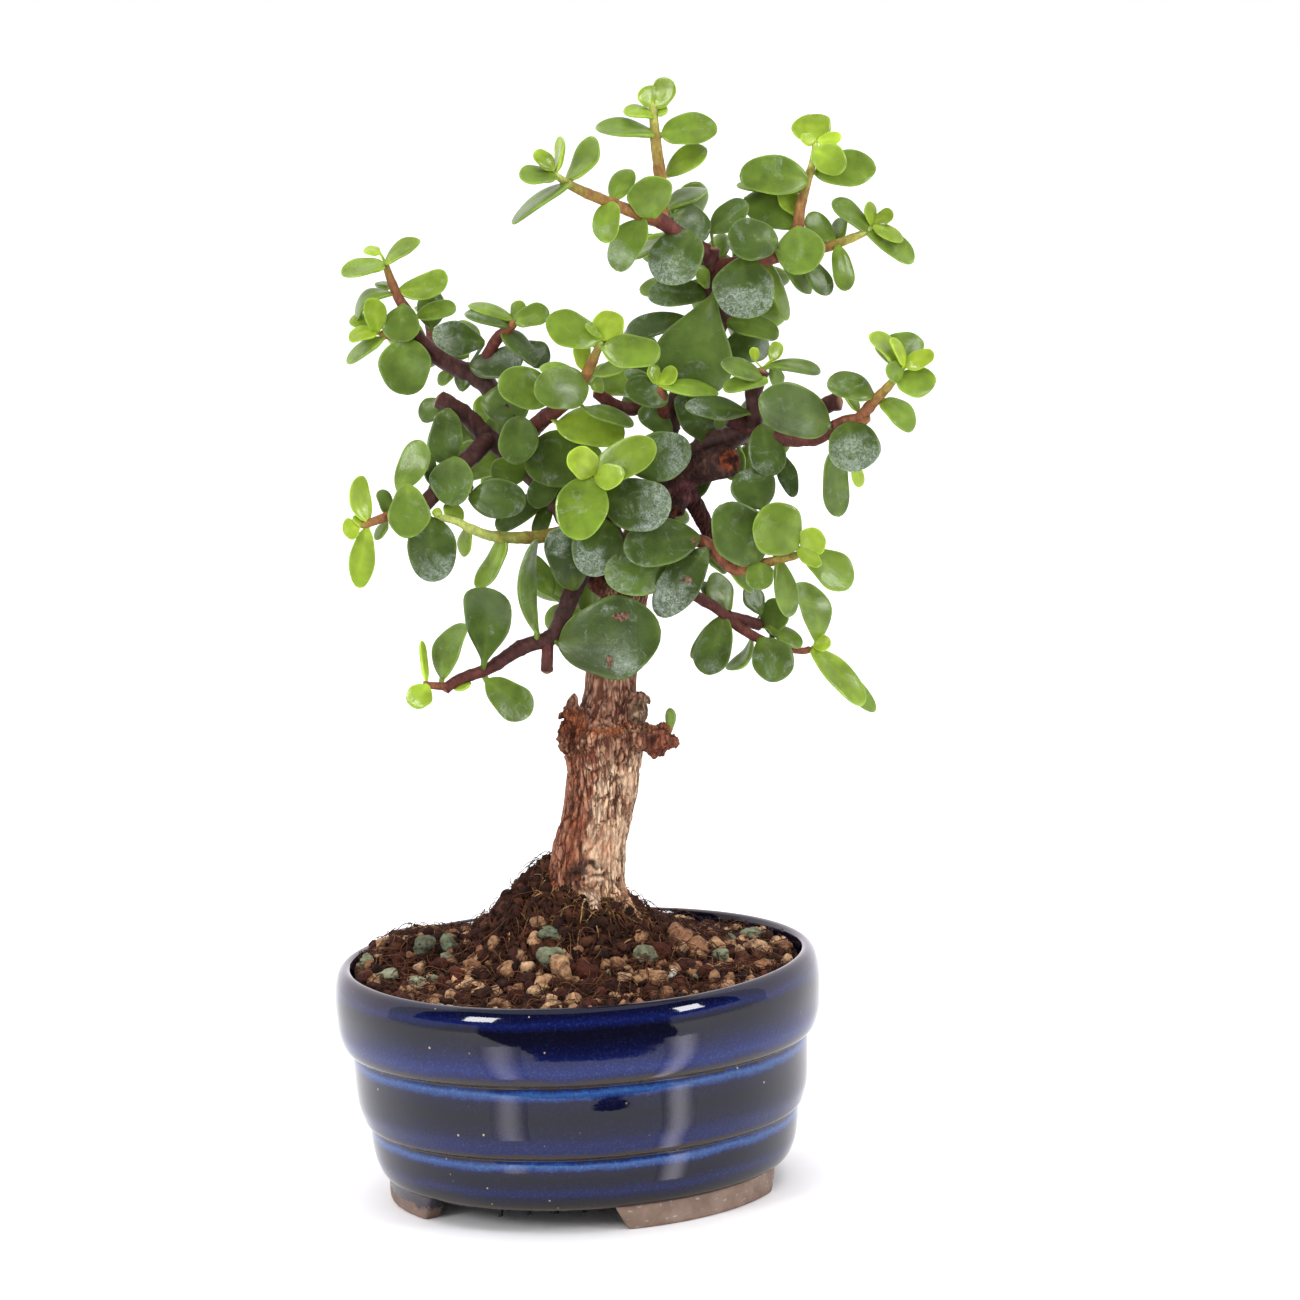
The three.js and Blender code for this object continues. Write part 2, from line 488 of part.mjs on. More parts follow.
    [9.5, 200.5, 21.3, 195.8, 5, -2, 55, 0.6, 1.8],
    [-5, 199.5, -8, 187, 12, -8, 5, 0.5, 1.6],
  ]],
  ['inner_twig', ['leader'], -0.1, [
    [[30, 195.5, 1, 2], [26, 200, 2, 1.9], [21, 200, 2, 1.8], [17, 201, 3, 1.7], [12, 205, 4, 1.5]],
    [[29.5, 197, 0, 1.7], [29.2, 200, -4, 1.6], [29, 202, -6, 1.4], [28.5, 205.5, -6, 0.9]],
  ], [
    [28, 206, 27, 211, 4, 0, 35, 0, 0.3],
    [29, 206, 32.8, 209.8, 4.8, -1, 30, -0.5, 0],
    [29.3, 205.3, 43.5, 202.6, 6, -1, 52, 0.8, 0.7],
    [30.5, 201.5, 19.8, 206, 8, -1, 20, 0.8, 2],
    [27, 205, 20, 209.5, 5, 2, 40, 0.5, 1.7],
  ]],
  ['front_shoot', ['trunk'], -0.1, [
    [[19, 160, -3, 2], [15, 170, -9, 1.8], [13, 178, -12, 1.6], [10.8, 183.2, -13, 1.3]],
  ], [
    [10, 183, 5.3, 167.3, 13.2, -6, 8, 0.8, 0.6],
    [10.8, 183.8, 5.3, 190, 8, -3, 10, 0.5, 0],
    [11, 183, 18, 182.6, 5.9, -3, 10, 0.3, 0],
    [11.3, 184, 27, 190.8, 9.8, -3, 10, 0.5, 0.5],
    [12.5, 178, 30, 174, 14, -3, 10, 0.8, 2],
    [13.5, 172, 8.3, 157.8, 13, -4, 8, 0.8, 2],
    [19, 186, 35.8, 189.5, 12.5, 2, 10, 0.5, 2],
  ]],
  ['right_mid', ['trunk'], -0.15, [
    [[22, 163, -3, 2], [30, 165, -10, 1.8], [38, 165, -12, 1.6], [45, 158, -13, 1.5], [52, 158.8, -13, 1.3],
      [60, 160.3, -14, 1], [62.5, 161, -14, 0.8]],
  ], [
    [36.5, 167, 17.5, 163.5, 12.5, -4.5, 20, 0.8, 2],
    [30, 160, 12.3, 158, 11.5, -7, 12, 0.8, 2],
    [39.5, 162, 27.3, 145.5, 9, -2, 15, 0.8, 2],
    [39, 161, 43.5, 157.5, 5, 3, 50, 0, 1],
    [61.5, 162.5, 52, 172, 13.8, -4, 8, 0.6, 0.8],
    [51, 159, 42.5, 174.5, 14, -2, 8, 0.6, 1.8],
    [52, 159, 51.2, 152.2, 7.5, -4, 8, 0.4, 1.1],
    [63, 161.3, 67.8, 165.8, 7.2, -2, 8, 0.3, 0],
    [61.8, 162.3, 67, 157.3, 4.5, -4, 25, 0.3, 0.1],
    [63.5, 160.8, 74.8, 152, 9.8, 0, 20, 0.6, 0.9],
    [56.5, 159.5, 59, 144.8, 6.5, 1, 45, 0.5, 1],
    [44, 159.5, 50, 152.5, 5, 3, 50, 0.5, 1],
    [53, 173, 49, 183, 11.5, 4, 10, 0.3, 2],
  ]],
  ['lower_left', ['trunk', 'left_limb'], -0.2, [
    [[14, 156, -1, 2.6], [7.5, 158, -5, 2.5], [4, 155, -7, 2.4], [1, 149, -8, 2.3], [-2, 142.8, -8, 2.2],
      [-10, 140.3, -8, 1.9], [-18, 135.6, -8, 1.6], [-26, 133, -8, 1.4], [-30.3, 130.4, -8, 1.3]],
    [[-3, 141.5, -8, 1.6], [-3.7, 133.3, -8, 1.5]],
    [[-29, 131.3, -8, 1.1], [-34, 132, -9, 0.9], [-35, 133, -9, 0.7]],
  ], [
    [4, 154.5, 0.8, 170.3, 10.5, -3, 12, 0.5, 2],
    [-0.3, 140.8, 26, 142, 22.5, -8, 5, 1, 2],
    [-5.5, 144, -4.6, 168, 8.5, -3, -60, -3, 1.7],
    [-19.8, 136, -17.3, 156.5, 13.3, -3, 15, -1.5, 1.7],
    [-30.8, 133.8, -24.2, 147.5, 7, 2, 50, 3, 1.3],
    [-18.5, 132.8, -7.3, 124.3, 7.5, -1, 20, 0.5, 1.3],
    [-23, 132, -27.5, 130.5, 3, -1, 50, 0, 0.5],
    [-34.3, 133, -35, 143.5, 3.2, 0, 60, 0, 0.1],
    [-34, 132, -38.5, 126.5, 7, -2, 20, 0.5, 0.2],
  ]],
  ['lower_right', ['trunk'], 0.35, [
    [[20, 160, 0, 1.9], [30, 157, -4, 1.6], [33, 153, -5, 1.5], [40.4, 147.9, -6, 1.4], [46.5, 142.3, -7, 1.3],
      [53.9, 138.1, -8, 1.1], [61.3, 136, -8, 0.9], [64, 136.6, -8, 0.8]],
    [[43, 146, -6, 1.4], [51.5, 143, -3, 1.6]],
  ], [
    [43, 146.2, 40.3, 157, 6.5, 2, 30, -0.8, 1],
    [42, 146.5, 37, 155, 5, 4, 40, 0, 1.6],
    [42, 145.5, 37.3, 131.6, 7, -1, 20, 0.6, 1.6],
    [39, 144, 33.2, 135.5, 4, 3, 50, 0, 1],
    [48.8, 139.5, 42, 132.2, 6, -1, 60, -2, 1],
    [52.3, 138.5, 57, 128.8, 9.3, -2, 12, 0.6, 1.5],
    [54, 140.5, 55.5, 150, 8, 2, 25, 0, 1.5],
    [53.5, 142.5, 61.5, 137.2, 6, -2, 45, 0.5, 1],
    [51.5, 146, 48.3, 153.8, 5, 1, 35, 0, 1.7],
    [66, 138, 61.2, 153, 8.5, 1, 40, 4, 1],
    [64.5, 137, 69, 138, 4.4, -2, 20, 0, 0.1],
    [64.5, 136, 77, 121.5, 8, -2, 45, 0.8, 0.6],
  ]],
];

// Shoots behind the crown: name, what it grows from, its stem, and the seed of its leaves.
const BACK_SHOOTS = [
  ['back_trunk', ['trunk'], [[18, 157, 2, 2], [21, 165, 16, 1.6], [26, 176, 30, 0.9]], 3],
  ['back_low', ['trunk'], [[13.5, 140, 3, 2], [8, 146, 16, 1.6], [4, 155, 28, 0.9]], 5],
  ['back_leader', ['leader'], [[31, 198, 4, 2], [25, 206, 16, 1.6], [20, 217, 27, 0.9]], 7],
  ['back_crown', ['leader'], [[43.5, 219, 5, 2], [48, 224, 17, 1.6], [52, 233, 28, 0.9]], 11],
  ['back_left', ['left_limb'], [[-4, 184, 6, 2], [-12, 188, 20, 1.6], [-18, 196, 32, 0.9]], 13],
  ['back_upper_left', ['upper_left'], [[-27, 216.5, 6, 1.6], [-28, 219, 17, 1.5], [-29, 227, 27, 0.9]], 17],
  ['back_right', ['right_limb'], [[46, 192, 2, 2], [50, 191, 16, 1.6], [57, 194, 30, 0.9]], 19],
  ['back_top', ['leader'], [[43, 231, 3, 1.8], [38, 238, 14, 1.5], [33, 248, 24, 0.9]], 23],
];

// ---------------------------------------------------------------- pot, mesh, soil

// Outside of the pot, [radius, height] from the underside to the lip: three bands, each
// rounded under at its lower edge and stepping in from the one above.
const OUTSIDE = [
  [51.6, POT.body], [54.5, 12], [55.2, 17.5], [55, 19.4],
  [56.6, 21.8], [58.4, 28], [58.6, 36.5], [58.4, 38.3],
  [60.6, 41.6], [62.2, 48], [POT.rim, 55], [61.5, 59.7], [59.7, POT.height],
];
const INSIDE = [[57.6, 59.4], [57, 50], [54.2, 38], [53.4, 26], [50.6, 17], [48, POT.floor]];

function lathe(profile, sides) {
  const rings = profile.map(([radius, height]) => Array.from({ length: sides }, (_, i) => {
    const angle = (2 * Math.PI * i) / sides;
    return new THREE.Vector3(radius * Math.cos(angle), radius * Math.sin(angle), height);
  }));
  return loft(rings);
}

const disc = (radius, low, high, sides, at = [0, 0]) => wasm.Manifold
  .cylinder(high - low, radius, radius, sides).translate([at[0], at[1], low]);

const around = (angle, radius) => [
  radius * Math.cos(THREE.MathUtils.degToRad(angle)),
  radius * Math.sin(THREE.MathUtils.degToRad(angle)),
];

// A bracket foot: a curved block under the rim of the body, its ends leaning inwards.
function foot(angle) {
  const ring = (height, lead) => {
    const points = [];
    const half = FOOT.half - lead;
    for (let i = 0; i <= FOOT.steps; i += 1) {
      points.push([...around(angle - half + (2 * half * i) / FOOT.steps, FOOT.outer - lead * 0.1), height]);
    }
    for (let i = FOOT.steps; i >= 0; i -= 1) {
      points.push([...around(angle - half + (2 * half * i) / FOOT.steps, FOOT.inner + lead * 0.1), height]);
    }
    return points.map((xyz) => new THREE.Vector3(...xyz));
  };
  const low = ring(0, FOOT.lead);
  const high = ring(POT.body + 0.5, 0);
  const sides = low.length;
  const steps = FOOT.steps;
  const faces = [];
  for (let i = 0; i < sides; i += 1) {
    const j = (i + 1) % sides;
    faces.push(i, j, j + sides, i, j + sides, i + sides);
  }
  for (let i = 0; i < steps; i += 1) {
    const inner = sides - 1 - i;
    faces.push(i, inner, inner - 1, i, inner - 1, i + 1);
    faces.push(i + sides, inner - 1 + sides, inner + sides, i + sides, i + 1 + sides, inner - 1 + sides);
  }
  const geometry = new THREE.BufferGeometry().setFromPoints([...low, ...high]);
  geometry.setIndex(faces);
  return toSolid(geometry);
}

function makePot() {
  const body = lathe(OUTSIDE, POT.sides);
  const cavity = lathe([...INSIDE.slice().reverse(), [58.6, POT.height + 1]], POT.sides);
  let pot = body.subtract(cavity);
  for (const angle of FOOT.angles) pot = pot.add(foot(angle));
  for (const angle of HOLE.angles) {
    pot = pot.subtract(disc(HOLE.radius, -1, POT.floor + 1, HOLE.sides, around(angle, HOLE.out)));
  }
  return pot;
}

// A round plastic net over a drainage hole, with pegs that hang through the hole.
function makeNet(angle) {
  const at = around(angle, HOLE.out);
  const low = POT.floor + GAP;
  let sheet = wasm.CrossSection.circle(NET.radius, NET.sides);
  const opening = NET.pitch - NET.bar;
  const rows = [-0.5, 0.5];
  for (const i of rows) {
    for (const j of rows) {
      const square = wasm.CrossSection.square([opening, opening], true);
      sheet = sheet.subtract(square.translate([i * NET.pitch, j * NET.pitch]));
    }
  }
  const net = wasm.Manifold.extrude(sheet, NET.thick).translate([at[0], at[1], low]);
  const pegs = [-1.5, -0.5, 0.5, 1.5].map((k) => wasm.Manifold
    .cylinder(low + 0.5 - NET.pegEnd, NET.peg * 0.6, NET.peg, 5)
    .translate([at[0] + k * NET.pitch, at[1] - NET.pegRow, NET.pegEnd]));
  return fuse([net, ...pegs]);
}

// Height of the soil: a mound round the trunk, a peaty lump and a ridge left of it, and a
// relief of grains that two crossing waves stand in for.
function soilHeight(x, y) {
  let height = SOIL.edge;
  for (const [atX, atY, rise, width] of SOIL.mounds) {
    height += rise * Math.exp(-((x - atX) ** 2 + (y - atY) ** 2) / width ** 2);
  }
  const k = (2 * Math.PI) / SOIL.pitch;
  const waves = Math.sin(k * (x + 0.31 * y)) * Math.sin(k * (0.93 * y - 0.27 * x) + 1.3);
  return height + SOIL.grain * waves;
}

function makeSoil() {
  const reach = 60;
  const points = [new THREE.Vector3(0, 0, soilHeight(0, 0))];
  for (let k = 1; k <= SOIL.rings; k += 1) {
    for (let i = 0; i < SOIL.spokes; i += 1) {
      const [x, y] = around((360 * (i + 0.5 * (k % 2))) / SOIL.spokes, (reach * k) / SOIL.rings);
      points.push(new THREE.Vector3(x, y, soilHeight(x, y)));
    }
  }
  const last = 1 + (SOIL.rings - 1) * SOIL.spokes;
  const floor = points.length;
  points.push(new THREE.Vector3(0, 0, 5));
  for (let i = 0; i < SOIL.spokes; i += 1) {
    const rim = points[last + i];
    points.push(new THREE.Vector3(rim.x, rim.y, 5));
  }
  const faces = [];
  for (let i = 0; i < SOIL.spokes; i += 1) {
    const j = (i + 1) % SOIL.spokes;
    faces.push(0, 1 + i, 1 + j);
    for (let k = 1; k < SOIL.rings; k += 1) {
      const a = 1 + (k - 1) * SOIL.spokes + i;
      const b = 1 + (k - 1) * SOIL.spokes + j;
      if (k % 2) faces.push(a, a + SOIL.spokes, b, b, a + SOIL.spokes, b + SOIL.spokes);
      else faces.push(a, a + SOIL.spokes, b + SOIL.spokes, a, b + SOIL.spokes, b);
    }
    faces.push(last + i, floor + 1 + i, floor + 1 + j, last + i, floor + 1 + j, last + j);
    faces.push(floor, floor + 1 + j, floor + 1 + i);
  }
  const geometry = new THREE.BufferGeometry().setFromPoints(points);
  geometry.setIndex(faces);
  const inset = INSIDE.slice().reverse().map(([radius, height]) => [radius - GAP - 0.15, height + GAP]);
  let soil = toSolid(geometry).intersect(lathe([...inset, [inset[inset.length - 1][0], 100]], SOIL.spokes));
  for (const angle of HOLE.angles) {
    soil = soil.subtract(disc(NET.radius + GAP, 5, POT.floor + 2 * GAP + NET.thick, NET.sides, around(angle, HOLE.out)));
  }
  return soil;
}

// ---------------------------------------------------------------- build

const MATERIALS = {
  glaze: new THREE.MeshStandardMaterial({ color: 0x1b2c66, roughness: 0.2 }),
  plastic: new THREE.MeshStandardMaterial({ color: 0x111111, roughness: 0.6 }),
  soil: new THREE.MeshStandardMaterial({ color: 0x8a6a45, roughness: 0.95 }),
  bark: new THREE.MeshStandardMaterial({ color: 0xa8876a, roughness: 0.9 }),
  leaf: new THREE.MeshStandardMaterial({ color: 0x6f9a3a, roughness: 0.45 }),
};

const root = new THREE.Group();
const add = (name, solid, material) => root.add(toMesh(largest(solid.simplify(FINE)), name, material));

// The wood that a shoot may grow from, and the same grown by the clearance.
const wood = new Map();
const seat = new Map();

function grow(name, stems, sides, step) {
  const paths = stems.map((points) => stemPath(points, step));
  const tubes = paths.map((path) => tube(path, sides));
  wood.set(name, fuse(tubes));
  seat.set(name, fuse(paths.map((path) => tube(path, sides, GAP * 1.3))));
  return paths;
}

const clearOf = (solid, parents) => largest(parents.reduce((left, name) => left.subtract(seat.get(name)), solid));

add('pot', makePot(), MATERIALS.glaze);
HOLE.angles.forEach((angle, i) => add(`drainage_net_${i + 1}`, makeNet(angle), MATERIALS.plastic));

grow('trunk', TRUNK, 9, 12);
add('trunk', wood.get('trunk'), MATERIALS.bark);
add('soil', largest(makeSoil().subtract(seat.get('trunk'))), MATERIALS.soil);

const shift = new Map([['trunk', () => 0]]);

for (const [name, parents, lean, drawn, leaves] of SHOOTS) {
  const [startAcross, startUp] = drawn[0][0];
  const start = shift.get(parents[0])(startAcross, startUp);
  const lay = (across, up) => start + lean * Math.hypot(across - startAcross, up - startUp);
  shift.set(name, lay);
  const stems = drawn.map((stem) => stem
    .map(([across, up, depth, radius]) => [across, up, depth + lay(across, up), radius]));
  const paths = grow(name, stems, stems[0][0][3] > 2.4 ? 6 : 4, 9);
  const shoot = fuse([wood.get(name), ...leaves.map((leaf) => leafOn(paths, leaf))]);
  add(name, clearOf(shoot, parents), MATERIALS.leaf);
}

for (const [name, parents, drawn, seed] of BACK_SHOOTS) {
  const start = shift.get(parents[0])(drawn[0][0], drawn[0][1]);
  const stem = drawn.map(([across, up, depth, radius]) => [across, up, depth + start, radius]);
  const [path] = grow(name, [stem], 4, 3.8);
  const shoot = fuse([wood.get(name), ...pairsOn(path, seeded(seed))]);
  add(name, clearOf(shoot, parents), MATERIALS.leaf);
}

// The row's frame: the origin lies under the middle of the whole, on the table.
const box = new THREE.Box3().setFromObject(root);
root.position.set(-(box.min.x + box.max.x) / 2, -(box.min.y + box.max.y) / 2, 0);

export default root;
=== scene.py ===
# %% [markdown]
# # A dwarf jade bonsai in a blue pot
#
# This notebook dresses the plain model of a small dwarf jade, its soil and its glazed pot.
# The model comes packed as a fixed frame: every piece made here is laid over the solid it
# stands for, in the same place and at the same size. We work in millimetres round the middle
# of the pot, because leaves and grains are easy to judge in millimetres, and turn them into
# metres only when a mesh is made.

# %% Load the frame
import json

import bpy
import numpy as np
from mathutils import Matrix, Vector

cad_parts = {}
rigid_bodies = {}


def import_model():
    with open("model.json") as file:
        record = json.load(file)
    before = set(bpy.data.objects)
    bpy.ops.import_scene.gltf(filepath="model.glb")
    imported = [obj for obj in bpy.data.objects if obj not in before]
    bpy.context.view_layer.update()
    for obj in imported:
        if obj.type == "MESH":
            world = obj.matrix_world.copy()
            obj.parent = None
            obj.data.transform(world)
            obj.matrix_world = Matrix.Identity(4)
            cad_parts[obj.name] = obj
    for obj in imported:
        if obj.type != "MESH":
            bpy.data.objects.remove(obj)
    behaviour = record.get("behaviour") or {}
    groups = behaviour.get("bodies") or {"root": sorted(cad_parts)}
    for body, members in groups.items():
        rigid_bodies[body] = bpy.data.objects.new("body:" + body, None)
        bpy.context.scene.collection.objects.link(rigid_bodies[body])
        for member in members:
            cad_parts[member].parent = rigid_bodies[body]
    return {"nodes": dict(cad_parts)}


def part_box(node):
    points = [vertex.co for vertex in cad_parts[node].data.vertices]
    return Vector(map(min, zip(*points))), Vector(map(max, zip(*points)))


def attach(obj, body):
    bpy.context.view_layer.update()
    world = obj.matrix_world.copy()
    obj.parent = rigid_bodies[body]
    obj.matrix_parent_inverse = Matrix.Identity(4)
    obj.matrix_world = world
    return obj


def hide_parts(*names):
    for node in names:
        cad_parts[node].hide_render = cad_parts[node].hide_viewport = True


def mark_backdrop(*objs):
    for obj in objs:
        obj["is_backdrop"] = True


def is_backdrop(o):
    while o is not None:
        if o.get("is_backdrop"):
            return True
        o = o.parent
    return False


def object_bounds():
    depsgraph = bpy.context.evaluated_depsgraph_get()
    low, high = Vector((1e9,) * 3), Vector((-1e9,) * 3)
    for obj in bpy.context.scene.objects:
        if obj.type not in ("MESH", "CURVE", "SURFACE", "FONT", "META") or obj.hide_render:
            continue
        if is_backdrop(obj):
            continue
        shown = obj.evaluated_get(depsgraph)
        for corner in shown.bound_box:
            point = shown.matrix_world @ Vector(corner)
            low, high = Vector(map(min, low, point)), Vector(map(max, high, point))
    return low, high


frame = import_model()
low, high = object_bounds()

pot_low, pot_high = (np.array(corner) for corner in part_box("pot"))
POT_X = 1000 * float(pot_low[0] + pot_high[0]) / 2

# %% [markdown]
# ## The camera
#
# The eye stands 1.37 m in front of the pot and 0.35 m up, looks down by less than nine
# degrees, and leans its head to the side by not quite three. A long lens keeps the tree's
# proportions. Camera axes are easiest to give as the three columns of its matrix.

# %% Camera
EYE = np.array([22.87, -1368.1, 345.78])  # mm, from the middle of the pot
LOOK_DOWN = np.radians(8.63)
LEAN = np.radians(2.85)
LENS, SENSOR = 150.66, 36.0


def to_scene(points):
    """Millimetres round the pot's middle, as metres in the row frame."""
    return (np.asarray(points, float) + [POT_X, 0, 0]) * 0.001


def new_object(name, data):
    """Puts data into the scene as an object."""
    piece = bpy.data.objects.new(name, data)
    bpy.context.collection.objects.link(piece)
    return piece


def make_camera():
    """Columns of the matrix: right and up, leant by LEAN, and backwards along the sight."""
    forward = np.array([0, np.cos(LOOK_DOWN), -np.sin(LOOK_DOWN)])
    right, up = np.array([1.0, 0, 0]), np.array([0, np.sin(LOOK_DOWN), np.cos(LOOK_DOWN)])
    axes = [
        np.cos(LEAN) * right - np.sin(LEAN) * up,
        np.sin(LEAN) * right + np.cos(LEAN) * up,
        -forward,
    ]
    camera = bpy.data.cameras.new("camera")
    camera.lens, camera.sensor_width, camera.clip_end = LENS, SENSOR, 50
    eye = new_object("camera", camera)
    matrix = np.eye(4)
    matrix[:3, :3] = np.array(axes).T
    matrix[:3, 3] = to_scene(EYE)
    eye.matrix_world = Matrix(matrix.tolist())
    bpy.context.scene.camera = eye
    return eye


camera = make_camera()
print("camera at", [round(v, 3) for v in camera.location])

# %% [markdown]
# ## Light and table
#
# Small plants are best shown on a white sheet between two soft boxes. The sky of the scene
# is an even white that fills every shadow, and a wide weak sun keeps the sheet white far out.
# Two bright boxes stand left and right of the eye. A glazed pot also mirrors the room: beyond
# the sheet the room is dark, so a black flag that only reflections see stands behind the
# eye, and two strips of sheet that glow as painted light are what the boxes leave on the glaze.

# %% Studio
SKY = 1.0
BOXES = [  # name, place, size across and up, power; metres and watts
    ("box_left", (-1.03, -0.93, 0.74), (0.36, 0.4), 7.0),
    ("box_right", (1.16, -0.8, 0.72), (0.36, 0.4), 6.0),
]
BOX_SHINE = 26.0  # how bright a box is in a mirror
AIM = Vector((0.0, 0.0, 0.13))
SUN, SUN_WIDTH = 1.7, np.radians(60)


def soft_box(name, place, size, power):
    """A rectangular lamp turned so that it faces AIM."""
    data = bpy.data.lights.new(name, "AREA")
    data.shape, data.size, data.size_y, data.energy = "RECTANGLE", *size, power
    lamp = new_object(name, data)
    lamp.location = place
    lamp.rotation_euler = (AIM - Vector(place)).to_track_quat("-Z", "Y").to_euler()
    lamp.visible_camera = lamp.visible_glossy = False


for box in BOXES:
    soft_box(*box)

sun = new_object("sun", bpy.data.lights.new("sun", "SUN"))
sun.data.energy, sun.data.angle = SUN, SUN_WIDTH
sun.visible_glossy = False

world = bpy.data.worlds.new("studio")
bpy.context.scene.world = world
world.use_nodes = True
sky = world.node_tree.nodes["Background"]
sky.inputs["Color"].default_value = (1, 1, 1, 1)
sky.inputs["Strength"].default_value = SKY
bpy.context.scene.view_settings.view_transform = "Standard"
print("sky", SKY, "and", len(BOXES), "boxes")

# %% [markdown]
# ## Tools for the bench
#
# Every shape below is worked out as whole numpy arrays and handed to the mesh in one go, which
# is quick and keeps each formula in one place. Every finish is written as shader nodes, so a
# few short functions come first.

# %% Colours, grids and meshes
def srgb(red, green, blue):
    """A colour given as 0 to 255 on a screen, in the linear values that shaders mix."""
    value = np.array([red, green, blue]) / 255
    linear = np.where(value <= 0.04045, value / 12.92, ((value + 0.055) / 1.055) ** 2.4)
    return (*linear, 1.0)


def grid_faces(rows, columns, closed):
    """Four-sided faces between neighbouring rows of a grid whose columns may close to a ring."""
    row, column = np.meshgrid(
        np.arange(rows - 1), np.arange(columns if closed else columns - 1), indexing="ij"
    )
    after = (column + 1) % columns
    corner = lambda r, c: (r * columns + c).ravel()
    return np.stack(
        [corner(row, column), corner(row, after), corner(row + 1, after), corner(row + 1, column)],
        axis=1,
    )


def circle(count):
    """Angles evenly spaced round a circle."""
    return 2 * np.pi * np.arange(count) / count


def polar(radius, angle, height):
    """(radius cos a, radius sin a, height) for a whole array of angles a."""
    return np.stack([radius * np.cos(angle), radius * np.sin(angle), height + 0 * angle], -1)


def fan_faces(ring, centre):
    """Three-sided faces from each side of a ring to a centre vertex."""
    ring = np.asarray(ring)
    return np.stack([ring, np.roll(ring, -1), np.full(len(ring), centre)], axis=1)


def closed_faces(rows, sides, flip=False):
    """Quads of a tube of rings, and the fans that close it round two more points, which follow
    the rings. flip is for rings that are listed the other way round."""
    ring, size, way = np.arange(sides), rows * sides, 1 if flip else -1
    ends = [fan_faces(ring[::way], size), fan_faces((size - sides + ring)[::-way], size + 1)]
    return grid_faces(rows, sides, closed=True)[:, ::-way], np.vstack(ends)


def paint(mesh, name, colour):
    """Gives the mesh's corners a named colour."""
    layer = mesh.color_attributes.new(name, "FLOAT_COLOR", "POINT")
    rgba = np.column_stack([colour, np.ones(len(colour))])
    layer.data.foreach_set("color", rgba.ravel())


def make_object(name, points, quads, triangles=None, smooth=True, colours=None):
    """A mesh object from whole arrays: points in millimetres, quads and triangles as indices,
    and named colours per vertex."""
    mesh = bpy.data.meshes.new(name)
    triangles = np.zeros((0, 3), int) if triangles is None else triangles
    corners = np.concatenate([np.asarray(quads, int).ravel(), triangles.ravel()])
    counts = np.concatenate([np.full(len(quads), 4), np.full(len(triangles), 3)])
    mesh.vertices.add(len(points))
    mesh.vertices.foreach_set("co", to_scene(points).ravel())
    mesh.loops.add(len(corners))
    mesh.loops.foreach_set("vertex_index", corners)
    mesh.polygons.add(len(counts))
    mesh.polygons.foreach_set("loop_start", np.concatenate([[0], np.cumsum(counts)[:-1]]))
    mesh.polygons.foreach_set("loop_total", counts)
    mesh.polygons.foreach_set("use_smooth", np.full(len(counts), smooth))
    mesh.update(calc_edges=True)
    for key, colour in (colours or {}).items():
        paint(mesh, key, colour)
    mesh.validate()
    return new_object(name, mesh)


def change(piece, kind, **settings):
    """Adds a modifier with these settings and applies it at once."""
    modifier = piece.modifiers.new("change", kind)
    for key, value in settings.items():
        setattr(modifier, key, value)
    bpy.context.view_layer.objects.active = piece
    bpy.ops.object.modifier_apply(modifier=modifier.name)


def lattice_noise(points, scale, seed, octaves=4, gain=0.55):
    """Value noise from about -1 to 1: random values on a cubic lattice whose cells are scale
    wide, blended by smooth steps; each further octave has half the size and gain the height."""
    table = np.random.default_rng(seed).uniform(-1, 1, (32, 32, 32))
    total, weight = 0.0, 0.0
    for octave in range(octaves):
        spot = points / scale * 2.0**octave + 7.3 * octave
        cell = np.floor(spot).astype(int)
        part = spot - cell
        part = part * part * (3 - 2 * part)
        for corner in np.ndindex(2, 2, 2):
            share = np.where(corner, part, 1 - part).prod(axis=-1)
            index = np.moveaxis((cell + corner) % 32, -1, 0)
            total = total + gain**octave * share * table[tuple(index)]
        weight += gain**octave
    return 1.6 * total / weight


def smoothstep(low, high, value):
    """3 t^2 - 2 t^3, where t runs from 0 at low to 1 at high."""
    t = np.clip((value - low) / (high - low), 0, 1)
    return t * t * (3 - 2 * t)


def unit(vectors):
    """Vectors divided by their lengths."""
    return vectors / np.linalg.norm(vectors, axis=-1, keepdims=True)


def blend(first, second, share):
    """first + share (second - first), for colours or points."""
    share = np.asarray(share)[..., None]
    return first + share * (second - first)


def tone(red, green, blue):
    return np.array(srgb(red, green, blue)[:3])


